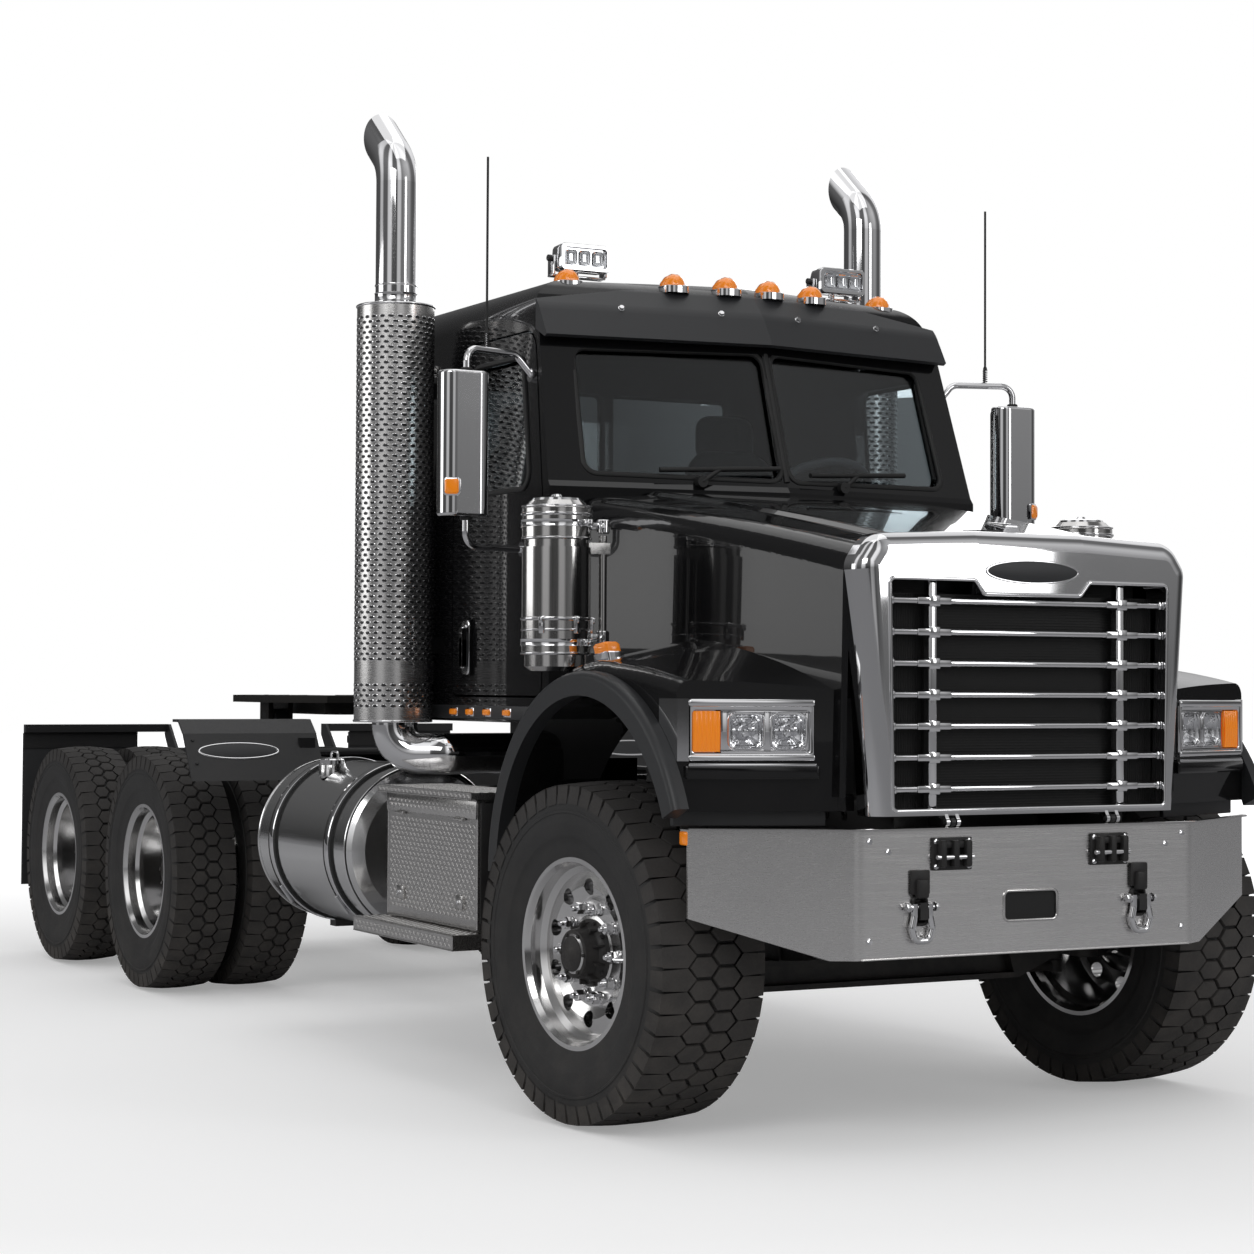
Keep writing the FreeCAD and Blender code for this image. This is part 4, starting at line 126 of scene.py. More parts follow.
def placed(form, origin, u, v, n):
    """A form drawn in its own axes, set down with them along u, v and n from an origin."""
    points, faces = form
    turn = np.array([u, v, n], float)
    out = points @ turn + np.asarray(origin, float)
    return out, (faces if np.linalg.det(turn) > 0 else [f[:, ::-1] for f in faces])


def cross_axes(axis):
    """Two unit vectors square to an axis and to each other."""
    axis = np.asarray(axis, float) / np.linalg.norm(axis)
    first = np.cross(UP if abs(axis[2]) < 0.9 else BACK, axis)
    first /= np.linalg.norm(first)
    return first, np.cross(axis, first)


def circle(count):
    """Angles of equal steps round a circle."""
    return np.linspace(0, 2 * math.pi, count, endpoint=False)


def lathe(profile, centre, axis, segments=48):
    """A turned form: each profile point (along, radius) runs round the axis, at radius times (cos, sin)."""
    profile = np.asarray(profile, float)
    axis = np.asarray(axis, float) / np.linalg.norm(axis)
    first, second = cross_axes(axis)
    turn = circle(segments)[:, None]
    round_about = np.cos(turn) * first + np.sin(turn) * second
    points = np.asarray(centre, float) + profile[None, :, :1] * axis + profile[None, :, 1:] * round_about[:, None]
    return grid(points, wrap_rows=True)


def rod(start, end, radius, sides=16, edge=0.0):
    """A round bar between two points, its ends closed, with a small chamfer."""
    start, end = np.asarray(start, float), np.asarray(end, float)
    length = np.linalg.norm(end - start)
    profile = [(0, 0), (0, radius - edge), (edge, radius), (length - edge, radius), (length, radius - edge),
               (length, 0)]
    return lathe(profile, start, end - start, sides)


def hex_nut(centre, axis, across, height):
    """A six-sided nut with its top corners chamfered."""
    r = across / math.sqrt(3)
    return lathe([(0, 0), (0, r), (height * 0.85, r), (height, r * 0.88), (height, 0)], centre, axis, 6)


def bolt(axis, across, height):
    """A hexagon on its washer, at the origin."""
    axis = np.asarray(axis, float) / np.linalg.norm(axis)
    rim = across * 0.70
    washer = lathe([(-0.001, rim), (height * 0.2, rim), (height * 0.25, across * 0.64), (height * 0.25, 0)],
                   (0, 0, 0), axis, 14)
    return merged(washer, hex_nut(axis * height * 0.2, axis, across, height * 0.8))


def quarters(steps):
    """Angles round four quarters of a circle, each with both its ends."""
    quarter = np.linspace(0, math.pi / 2, steps + 1)
    return np.concatenate([quarter + k * math.pi / 2 for k in range(4)])


def soft_box(low, high, radius=0.004, steps=2):
    """A block with rounded edges: a ball's surface, cut at its axes and pulled apart to the block's corners."""
    low, high = np.asarray(low, float), np.asarray(high, float)
    radius = min(radius, *(high - low) / 2 * 0.98)
    around = quarters(steps)
    signs_x = np.repeat([1, -1, -1, 1], steps + 1)
    signs_y = np.repeat([1, 1, -1, -1], steps + 1)
    quarter = around[:steps + 1]
    up = np.concatenate([quarter - math.pi / 2, quarter])
    middle, half = (low + high) / 2, (high - low) / 2 - radius
    x = signs_x * half[0] + radius * np.cos(up)[:, None] * np.cos(around)
    y = signs_y * half[1] + radius * np.cos(up)[:, None] * np.sin(around)
    z = (np.repeat([-1, 1], steps + 1) * half[2] + radius * np.sin(up))[:, None] + 0 * x
    body, faces = grid(np.stack([x, y, z], -1) + middle, wrap_columns=True)
    ring = np.arange(4) * (steps + 1)
    return body, faces + [ring[None, ::-1], ring[None] + len(body) - len(around)]


def block(x, half, y0, y1, z0, z1, radius=0.004, steps=2):
    """A rounded block about x, half as wide to each side."""
    return soft_box((x - half, y0, z0), (x + half, y1, z1), radius, steps)


def plank(low, high):
    """A sharp-edged block, for slats too thin to round."""
    low, high = np.asarray(low, float), np.asarray(high, float)
    pick = np.array([[0, 0, 0], [1, 0, 0], [1, 1, 0], [0, 1, 0], [0, 0, 1], [1, 0, 1], [1, 1, 1], [0, 1, 1]])
    faces = np.array([[3, 2, 1, 0], [4, 5, 6, 7], [0, 1, 5, 4], [1, 2, 6, 5], [2, 3, 7, 6], [3, 0, 4, 7]])
    return low + (high - low) * pick, [faces]


def rounded_outline(half_u, half_v, radius, steps=5):
    """A rectangle with round corners, as points (u, v): each corner's centre plus radius times (cos, sin)."""
    around = quarters(steps)
    u = np.repeat([1, -1, -1, 1], steps + 1) * (half_u - radius) + radius * np.cos(around)
    v = np.repeat([1, 1, -1, -1], steps + 1) * (half_v - radius) + radius * np.sin(around)
    return np.stack([u, v], -1)


def stacked(outlines, heights):
    """A closed form lofted through outlines of as many points, each at its height."""
    return capped(np.stack([np.column_stack([o, np.full(len(o), h)]) for o, h in zip(outlines, heights)]))


def dish(*levels):
    """A form lofted through round-cornered rectangles: each level is (u0, u1, v0, v1, corner radius, height)."""
    outlines = [rounded_outline((u1 - u0) / 2, (v1 - v0) / 2, r) + [(u0 + u1) / 2, (v0 + v1) / 2]
                for u0, u1, v0, v1, r, _ in levels]
    return stacked(outlines, [level[-1] for level in levels])


def tray(*levels, u=0.0):
    """A dish about (u, 0): each level is (half its width, half its height, corner radius, height)."""
    return dish(*[(u - half_u, u + half_u, -half_v, half_v, r, h) for half_u, half_v, r, h in levels])


def bent_path(corners, radius, steps=8):
    """A line through corners, each rounded by a tangent arc of the radius, or less where its runs are short."""
    corners = np.asarray(corners, float)
    out = [corners[0]]
    for before, corner, after in zip(corners[:-2], corners[1:-1], corners[2:]):
        a, b = before - corner, after - corner
        la, lb = np.linalg.norm(a), np.linalg.norm(b)
        a, b = a / la, b / lb
        half = math.acos(np.clip(a @ b, -1, 1)) / 2
        back = min(radius / math.tan(half), 0.48 * la, 0.48 * lb)
        r = back * math.tan(half)
        centre = corner + (a + b) / np.linalg.norm(a + b) * r / math.sin(half)
        start, end = corner + a * back - centre, corner + b * back - centre
        sweep = math.acos(np.clip(start @ end / r ** 2, -1, 1))
        share = np.linspace(0, 1, steps)[:, None]
        arc = (np.sin((1 - share) * sweep) * start + np.sin(share * sweep) * end) / math.sin(sweep)
        out += list(arc + centre)
    out.append(corners[-1])
    return np.array(out)


def loop(corners, radius, steps=6):
    """A closed line through corners, each rounded: a bent path that starts and ends in the middle of a run."""
    corners = np.asarray(corners, float)
    middle = (corners[0] + corners[-1]) / 2
    return bent_path([middle, *corners, middle], radius, steps)[:-1]


def upright_loop(y, x0, x1, z0, z1, radius, steps=6):
    """A round-cornered rectangle that stands across the truck."""
    return loop([(x0, y, z0), (x1, y, z0), (x1, y, z1), (x0, y, z1)], radius, steps)


def tube(path, radius, sides=14, up=UP):
    """A pipe along a path: rings of the radius, square to the path's direction, with closed ends."""
    path = np.asarray(path, float)
    along = np.gradient(path, axis=0)
    along /= np.linalg.norm(along, axis=1, keepdims=True)
    first = np.cross(np.asarray(up, float), along)
    first /= np.linalg.norm(first, axis=1, keepdims=True)
    turn = circle(sides)[None, :, None]
    spokes = np.cos(turn) * first[:, None] + np.sin(turn) * np.cross(along, first)[:, None]
    return capped(path[:, None] + radius * spokes)


def moulding(path, profile, normal, closed=True):
    """A section carried along a path: its points are (sideways, outwards), square to the path, near the normal."""
    path = np.asarray(path, float)
    along = np.roll(path, -1, 0) - np.roll(path, 1, 0) if closed else np.gradient(path, axis=0)
    along /= np.linalg.norm(along, axis=1, keepdims=True)
    side = np.cross(np.broadcast_to(np.asarray(normal, float), path.shape), along)
    side /= np.linalg.norm(side, axis=1, keepdims=True)
    profile = np.asarray(profile, float)
    rings = (path[:, None] + side[:, None] * profile[None, :, :1]
             + np.cross(along, side)[:, None] * profile[None, :, 1:])
    return grid(rings, wrap_rows=True, wrap_columns=True) if closed else capped(rings)


def half_round(width, height, steps=6):
    """A section with a flat foot and a rounded top."""
    half, foot = width / 2, -0.002
    turn = np.linspace(0, math.pi, steps)
    return [(half * math.cos(a), height * math.sin(a)) for a in turn] + [(-half, foot), (half, foot)]


def bead(start, end, normal, width, height, steps=5):
    """A straight half-round bead from one point to another."""
    return moulding([start, end], half_round(width, height, steps), normal, closed=False)


def oval(half_u, half_v, height, rim, steps=40):
    """A raised oval plate and its rim: the rim's half-round section runs round the ellipse."""
    turn = circle(steps)
    edge = np.stack([half_u * np.cos(turn), half_v * np.sin(turn), np.zeros(steps)], -1)
    shares = np.array([1.0, 1.0, 0.97])[:, None, None]
    lift = np.array([0.0, height * 0.6, height * 0.7])
    plate, faces = grid(edge * shares + lift[:, None, None] * UP, wrap_columns=True)
    plate = plate, faces + [np.arange(steps)[None] + 2 * steps]
    return plate, moulding(edge, half_round(rim, height), UP)


def tree_of(name):
    """A node's surface, to find where a ray strikes it."""
    return BVHTree.FromObject(frame["nodes"][name], bpy.context.evaluated_depsgraph_get())


def struck(tree, start, direction):
    """Where a ray first meets a surface and the normal there, turned to face the ray; or two Nones where it misses."""
    place, normal, _, _ = tree.ray_cast(tuple(start), tuple(direction))
    if place is None:
        return None, None
    normal = np.array(normal)
    return np.array(place), normal if normal @ np.asarray(direction, float) < 0 else -normal


def joint_place(joint):
    """A joint's centre and its unit axis."""
    axis = np.array(JOINTS[joint]["axis"], float)
    return np.array(JOINTS[joint]["pos_m"], float), axis / np.linalg.norm(axis)


# Pieces

def piece(name, body, slot, *parts, sides=(1,), angle=40, bevel=0.0):
    """A mesh that rides on a body, its finishes given by its parts' materials; the slot is not used. Each part is
    (material, form, form ...), drawn for the truck's left: a side of 1 takes it as drawn, and -1 as its mirror image."""
    points, faces, kinds, start = [], [], [], 0
    materials = list(dict.fromkeys(part[0] for part in parts))
    for material, *forms in parts:
        for form_points, form_faces in [form if side > 0 else mirrored(form) for form in forms for side in sides]:
            points.append(form_points)
            for f in form_faces:
                faces.append(f + start)
                kinds.append(np.full(len(f), materials.index(material)))
            start += len(form_points)
    points = np.concatenate(points).astype(np.float32)
    mesh = bpy.data.meshes.new(name)
    mesh.vertices.add(len(points))
    mesh.vertices.foreach_set("co", points.ravel())
    corners = np.concatenate([f.ravel() for f in faces])
    sizes = np.concatenate([np.full(len(f), f.shape[1]) for f in faces])
    mesh.loops.add(len(corners))
    mesh.loops.foreach_set("vertex_index", corners.astype(np.int32))
    mesh.polygons.add(len(sizes))
    mesh.polygons.foreach_set("loop_start", np.concatenate([[0], np.cumsum(sizes)[:-1]]).astype(np.int32))
    mesh.polygons.foreach_set("material_index", np.concatenate(kinds).astype(np.int32))
    for material in materials:
        mesh.materials.append(material)
    mesh.update(calc_edges=True)
    mesh.validate()
    weld(mesh)
    mesh.shade_smooth()
    mesh.set_sharp_from_angle(angle=math.radians(angle))
    item = bpy.data.objects.new(name, mesh)
    bpy.context.scene.collection.objects.link(item)
    if bevel:
        rounding = item.modifiers.new("Rounded edges", "BEVEL")
        rounding.width = bevel
        rounding.segments = 2
        rounding.limit_method = "ANGLE"
        rounding.angle_limit = math.radians(40)
    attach(item, body)
    return item


def weld(mesh):
    """Merges points that lie on each other, drops faces with no area, and points all faces outwards."""
    work = bmesh.new()
    work.from_mesh(mesh)
    bmesh.ops.remove_doubles(work, verts=work.verts, dist=2e-6)
    bmesh.ops.dissolve_degenerate(work, dist=1e-7, edges=work.edges)
    bmesh.ops.recalc_face_normals(work, faces=work.faces)
    work.to_mesh(mesh)
    work.free()


# Effects that several finishes share, as node groups

def feed(tree, value, socket):
    """Gives a socket a number or a colour, or links it to another node's socket."""
    if isinstance(value, bpy.types.NodeSocket):
        tree.links.new(value, socket)
    else:
        socket.default_value = (*value, 1) if socket.type == "RGBA" else value


def node(tree, kind, values=(), **settings):
    """A new shader node with its settings, and a value or a link for each input that is named or numbered."""
    item = tree.nodes.new("ShaderNode" + kind)
    for label, value in settings.items():
        setattr(item, label, value)
    for label, value in dict(values).items():
        feed(tree, value, item.inputs[label])
    return item


def worked_out(tree, operation, first, second, kind="Math"):
    """The result of a mathematical operation on two numbers, colours or sockets."""
    return node(tree, kind, {0: first, 1: second}, operation=operation).outputs[0]


def noise(tree, scale, detail=3.0, stretch=None, roughness=0.5):
    """Noise over Object coordinates, stretched along an axis where a stretch is given."""
    source = node(tree, "TexCoord").outputs["Object"]
    if stretch:
        source = node(tree, "Mapping", {"Scale": stretch, "Vector": source}).outputs["Vector"]
    values = {"Scale": scale, "Detail": detail, "Roughness": roughness, "Vector": source}
    return node(tree, "TexNoise", values).outputs["Fac"]


def ranged(tree, source, low, high, to_low, to_high):
    """A value between two limits carried to two others, which may be numbers or sockets."""
    values = {"From Min": low, "From Max": high, "To Min": to_low, "To Max": to_high, "Value": source}
    return node(tree, "MapRange", values).outputs["Result"]


def blended(tree, share, first, second):
    """One colour over another by a share, each a colour or a socket."""
    return node(tree, "Mix", {0: share, 6: first, 7: second}, data_type="RGBA").outputs[2]


def effect_group(name, inputs, outputs):
    """An empty shader group with sockets for its inputs (name: value) and outputs (name: kind)."""
    group = bpy.data.node_groups.new(name, "ShaderNodeTree")
    for label, value in inputs.items():
        kind = "NodeSocketColor" if isinstance(value, tuple) else "NodeSocketFloat"
        socket = group.interface.new_socket(label, in_out="INPUT", socket_type=kind)
        socket.default_value = (*value, 1) if isinstance(value, tuple) else value
    for label, kind in outputs.items():
        group.interface.new_socket(label, in_out="OUTPUT", socket_type=kind)
    return group, group.nodes.new("NodeGroupInput").outputs, group.nodes.new("NodeGroupOutput").inputs


def make_patchy():
    """Broad soft patches between two values, as on a wiped or handled surface."""
    group, given, result = effect_group("Patchy value", {"Low": 0.1, "High": 0.2}, {"Value": "NodeSocketFloat"})
    cloud = noise(group, 3.5, 4.0)
    feed(group, ranged(group, cloud, 0.35, 0.65, given["Low"], given["High"]), result["Value"])
    return group


def make_road_dust():
    """Dust that thins out with height above the road, broken up by noise, over a clean colour."""
    group, given, result = effect_group(
        "Road dust", {"Clean": (0.02, 0.02, 0.02), "Dust": (0.16, 0.14, 0.12), "Amount": 0.3, "Top": 1.2},
        {"Colour": "NodeSocketColor"})
    place = node(group, "TexCoord").outputs["Object"]
    height = node(group, "SeparateXYZ", {"Vector": place}).outputs["Z"]
    high = ranged(group, height, 0.05, given["Top"], given["Amount"], 0.0)
    broken = ranged(group, noise(group, 9.0, 6.0, roughness=0.65), 0.4, 0.7, 0.25, 1.0)
    share = worked_out(group, "MULTIPLY", high, broken)
    feed(group, blended(group, share, given["Clean"], given["Dust"]), result["Colour"])
    return group


def make_grain(name, scale, detail, stretch=None):
    """A fine height and a matching value: grain, pores or brushed lines by its scale and stretch."""
    group, given, result = effect_group(name, {"Low": 0.3, "High": 0.5},
                                        {"Value": "NodeSocketFloat", "Height": "NodeSocketFloat"})
    fine = noise(group, scale, detail, stretch, 0.6)
    feed(group, ranged(group, fine, 0.3, 0.7, given["Low"], given["High"]), result["Value"])
    feed(group, fine, result["Height"])
    return group


PATCHY = make_patchy()
ROAD_DUST = make_road_dust()
BRUSHED_X = make_grain("Lines along X", 60.0, 2.0, (0.06, 1.0, 9.0))
BRUSHED_Y = make_grain("Lines along Y", 60.0, 2.0, (9.0, 0.05, 9.0))
BRUSHED_Z = make_grain("Lines along Z", 60.0, 2.0, (8.0, 8.0, 0.08))
PORES = make_grain("Fine pores", 420.0, 3.0)
CAST_SKIN = make_grain("Cast skin", 130.0, 5.0)
PAINT_PEEL = make_grain("Paint surface", 90.0, 1.0)
WOVEN = make_grain("Woven cloth", 900.0, 2.0, (1.0, 0.25, 1.0))


# Finishes

def finish(name, colour, metallic=0.0, rough=(0.3, 0.4), grain=None, bump=0.0, dust=0.0, dust_top=1.2, mottle=0.0,
           **settings):
    """A Principled material: patchy or grained roughness, a bump from the grain, and dust over the colour."""
    material = bpy.data.materials.new(name)
    material.use_nodes = True
    tree = material.node_tree
    shader = tree.nodes["Principled BSDF"].inputs
    shader["Metallic"].default_value = metallic
    for label, value in settings.items():
        feed(tree, value, shader[label.replace("_", " ")])
    surface = tree.nodes.new("ShaderNodeGroup")
    surface.node_tree = grain or PATCHY
    surface.inputs["Low"].default_value, surface.inputs["High"].default_value = rough
    feed(tree, surface.outputs["Value"], shader["Roughness"])
    if bump:
        values = {"Strength": bump, "Distance": 0.001, "Height": surface.outputs["Height"]}
        feed(tree, node(tree, "Bump", values).outputs["Normal"], shader["Normal"])
    if mottle:
        share = ranged(tree, noise(tree, 2.2, 4.0), 0.3, 0.7, 0.0, 1.0)
        colour = blended(tree, share, tuple(c * (1 - mottle) for c in colour),
                         tuple(min(1.0, c * (1 + mottle)) for c in colour))
    layer = tree.nodes.new("ShaderNodeGroup")
    layer.node_tree = ROAD_DUST
    for label, value in (("Amount", dust), ("Top", dust_top), ("Clean", colour)):
        feed(tree, value, layer.inputs[label])
    feed(tree, layer.outputs["Colour"], shader["Base Color"])
    return material


PAINT = finish("Black paint", (0.0045, 0.0045, 0.005), 0.0, (0.16, 0.22), PAINT_PEEL, 0.012, 0.05, 1.6,
               Coat_Weight=1.0, Coat_Roughness=0.015, Coat_IOR=1.4, Specular_IOR_Level=0.1)
CHASSIS = finish("Chassis black", (0.012, 0.012, 0.013), 0.0, (0.35, 0.5), CAST_SKIN, 0.08, 0.22)
CASTING = finish("Black casting", (0.018, 0.018, 0.019), 0.3, (0.42, 0.62), CAST_SKIN, 0.35, 0.35)
BUMPER_STEEL = finish("Bumper steel", (0.80, 0.79, 0.78), 1.0, (0.2, 0.3), BRUSHED_X, 0.03, mottle=0.05)
CHROME = finish("Chrome", (0.80, 0.80, 0.81), 1.0, (0.03, 0.07))
STAINLESS = finish("Polished stainless", (0.70, 0.69, 0.68), 1.0, (0.08, 0.16), BRUSHED_Z, 0.015)
ALUMINIUM = finish("Polished aluminium", (0.80, 0.80, 0.80), 1.0, (0.10, 0.18), BRUSHED_Y, 0.012)
WHEEL_ALLOY = finish("Wheel alloy", (0.78, 0.775, 0.77), 1.0, (0.10, 0.22), dust=0.08)
TREAD_METAL = finish("Tread plate", (0.62, 0.61, 0.60), 1.0, (0.2, 0.36), PORES, 0.06, 0.12)
TYRE_RUBBER = finish("Tyre rubber", (0.021, 0.021, 0.0215), 0.0, (0.62, 0.82), PORES, 0.25, 0.16, mottle=0.25)
TREAD_RUBBER = finish("Tread rubber", (0.032, 0.030, 0.029), 0.0, (0.75, 0.92), CAST_SKIN, 0.3, 0.3, mottle=0.3)
RUBBER = finish("Rubber trim", (0.012, 0.012, 0.012), 0.0, (0.5, 0.65), PORES, 0.1)
PLASTIC = finish("Black plastic", (0.022, 0.023, 0.025), 0.0, (0.38, 0.5), PORES, 0.12, 0.12)
CABIN = finish("Cabin plastic", (0.16, 0.165, 0.175), 0.0, (0.5, 0.62), PORES, 0.2)
WOVEN_COVER = finish("Woven cover", (0.06, 0.062, 0.068), 0.0, (0.8, 0.92), WOVEN, 0.5, Sheen_Weight=0.25)
DARK_METAL = finish("Dark core", (0.006, 0.006, 0.006), 0.0, (0.5, 0.7), PORES, 0.1)
GREASE = finish("Greased steel", (0.03, 0.028, 0.026), 0.7, (0.25, 0.6), CAST_SKIN, 0.25)
REFLECTOR = finish("Lamp reflector", (0.85, 0.85, 0.86), 1.0, (0.05, 0.12))
MIRROR = finish("Mirror glass", (0.85, 0.86, 0.87), 1.0, (0.01, 0.03))
AMBER = finish("Amber lens", (0.95, 0.27, 0.008), 0.0, (0.12, 0.18), Emission_Color=(1.0, 0.25, 0.01),
               Emission_Strength=0.12, Coat_Weight=0.8, Coat_Roughness=0.03)
RED = finish("Red lens", (0.5, 0.012, 0.01), 0.0, (0.12, 0.2), Coat_Weight=0.8, Coat_Roughness=0.03)
GLASS = finish("Tinted glass", (0.55, 0.60, 0.62), 0.0, (0.0, 0.02), Transmission_Weight=1.0, IOR=1.5)
LENS = finish("Clear lens", (0.96, 0.97, 0.98), 0.0, (0.02, 0.04), Transmission_Weight=1.0, IOR=1.2)


# The studio: a pale floor, soft lamps and the camera

CAMERA_AT = (-4.888, AXLE_Y - 7.302, 1.370)
CAMERA_YAW = 0.495
CAMERA_PITCH = 0.034
CAMERA_ROLL = 0.005
SENSOR = 36.0
LENS_LENGTH = 75.57
SHIFT_Y = -0.0256
FLOOR_RADIUS = 60
FLOOR_LIFT = 0.30
SCREEN_GAIN = 1.9
# The surround's shade at each share of the way up, from straight down to straight up
BANDS = [(0.0, 0.5), (0.46, 0.45), (0.5, 0.16), (0.56, 0.30), (0.66, 0.50), (0.80, 0.62), (1.0, 0.40)]
# Headings round the studio, in degrees from +X, and how bright its screens are there in reflections
SCREENS = [(-180, 0.16), (-168, 0.16), (-160, 1.0), (-144, 1.0), (-136, 0.12), (-112, 0.12), (-106, 0.85),
           (-92, 0.85), (-84, 0.22), (-64, 0.40), (-40, 0.50), (-20, 0.15), (4, 0.15), (16, 0.8), (50, 0.8),
           (62, 0.12), (100, 0.10), (138, 0.12), (146, 0.75), (160, 0.75), (168, 0.16), (180, 0.16)]
# Each lamp's place, the spot it points at, its size and its power
LAMPS = {"Key lamp": ((-7.0, -7.5, 6.5), (0, -1.0, 1.2), (4.5, 3.5), 150),
         "Front strip": ((3.5, -9.0, 4.0), (0, -2.5, 1.2), (1.6, 4.5), 60),
         "Top lamp": ((0, 0, 8.0), (0, 0, 0), (5.0, 9.0), 120),
         "Back lamp": ((6.5, 6.5, 5.0), (0, 1.0, 1.4), (4.0, 3.0), 90),
         "Side lamp": ((-8.0, 3.0, 3.0), (0, 1.0, 1.0), (5.0, 2.5), 60)}


def make_camera():
    """The camera at the reference view: yaw from +Y towards +X, then pitch up, then roll about its axis."""
    data = bpy.data.cameras.new("Camera")
    data.sensor_width = SENSOR
    data.sensor_fit = "HORIZONTAL"
    data.lens = LENS_LENGTH
    data.shift_y = SHIFT_Y
    data.clip_end = 200
    ahead = np.array([math.sin(CAMERA_YAW) * math.cos(CAMERA_PITCH), math.cos(CAMERA_YAW) * math.cos(CAMERA_PITCH),
                      math.sin(CAMERA_PITCH)])
    right = np.cross(ahead, UP)
    right /= np.linalg.norm(right)
    up = np.cross(right, ahead)
    c, s = math.cos(CAMERA_ROLL), math.sin(CAMERA_ROLL)
    right, up = c * right + s * up, -s * right + c * up
    camera = bpy.data.objects.new("Camera", data)
    turned = np.column_stack([right, up, -ahead, CAMERA_AT])
    camera.matrix_world = Matrix([*turned.tolist(), [0, 0, 0, 1]])
    bpy.context.scene.collection.objects.link(camera)
    bpy.context.scene.camera = camera


def make_floor():
    """A round pale floor, whiter with distance in the camera's view and greyer in reflections."""
    ring = circle(96)
    points = np.column_stack([FLOOR_RADIUS * np.cos(ring), FLOOR_RADIUS * np.sin(ring), 0 * ring])
    mesh = bpy.data.meshes.new("Floor")
    mesh.from_pydata(points.tolist(), [], [list(range(len(ring)))])
    floor = bpy.data.objects.new("Floor", mesh)
    bpy.context.scene.collection.objects.link(floor)
    material = bpy.data.materials.new("Studio floor")
    material.use_nodes = True
    tree = material.node_tree
    rays = node(tree, "LightPath").outputs
    place = node(tree, "TexCoord").outputs["Object"]
    away = node(tree, "VectorMath", {0: place}, operation="LENGTH").outputs["Value"]
    far = ranged(tree, away, 4.5, 13.0, FLOOR_LIFT, 1.0)
    values = {"Roughness": 0.9, "Specular IOR Level": 0.1, "Emission Color": (1, 1, 1),
              "Emission Strength": worked_out(tree, "MULTIPLY", far, rays["Is Camera Ray"]),
              "Base Color": blended(tree, rays["Is Glossy Ray"], (0.78, 0.78, 0.78), (0.40, 0.40, 0.41))}
    for label, value in values.items():
        feed(tree, value, tree.nodes["Principled BSDF"].inputs[label])
    mesh.materials.append(material)


def make_ramp(tree, share, stops):
    """Colours along a ramp, by stops of (place, colour)."""
    ramp = node(tree, "ValToRGB", {"Fac": share})
    while len(ramp.color_ramp.elements) < len(stops):
        ramp.color_ramp.elements.new(0.5)
    for element, (place, colour) in zip(ramp.color_ramp.elements, stops):
        element.position = place
        element.color = (*colour, 1)
    return ramp.outputs["Color"]


def make_world():
    """A surround that is white in the view, bands and bright screens in reflections, and dimmer as light."""
    world = bpy.data.worlds.new("Studio")
    bpy.context.scene.world = world
    world.use_nodes = True
    tree = world.node_tree
    way = node(tree, "SeparateXYZ", {"Vector": node(tree, "TexCoord").outputs["Generated"]}).outputs
    bands = make_ramp(tree, ranged(tree, way["Z"], -1.0, 1.0, 0.0, 1.0),
                      [(place, (shade, shade, shade * 1.01)) for place, shade in BANDS])
    heading = worked_out(tree, "ARCTAN2", way["Y"], way["X"])
    screens = make_ramp(tree, ranged(tree, heading, -math.pi, math.pi, 0.0, 1.0),
                        [((degrees + 180) / 360, (shade,) * 3) for degrees, shade in SCREENS])
    lit = worked_out(tree, "MULTIPLY", bands, screens, "VectorMath")
    lit = worked_out(tree, "MULTIPLY", lit, (SCREEN_GAIN,) * 3, "VectorMath")
    rays = node(tree, "LightPath").outputs
    sky = blended(tree, rays["Is Glossy Ray"], bands, lit)
    seen = worked_out(tree, "MAXIMUM", rays["Is Camera Ray"], rays["Is Glossy Ray"])
    seen = worked_out(tree, "MAXIMUM", seen, rays["Is Transmission Ray"])
    back = tree.nodes["Background"].inputs
    feed(tree, blended(tree, rays["Is Camera Ray"], sky, (1.0, 1.0, 1.0)), back["Color"])
    feed(tree, ranged(tree, seen, 0.0, 1.0, 0.95, 1.0), back["Strength"])


def make_lamps():
    """Soft rectangular lamps, each turned to its spot."""
    for name, (place, aim, size, power) in LAMPS.items():
        data = bpy.data.lights.new(name, "AREA")
        data.shape = "RECTANGLE"
        data.size, data.size_y = size
        data.energy = power
        lamp = bpy.data.objects.new(name, data)
        lamp.rotation_euler = (Vector(place) - Vector(aim)).to_track_quat("Z", "Y").to_euler()
        lamp.location = place
        bpy.context.scene.collection.objects.link(lamp)


# Finishes of the construction's own pieces

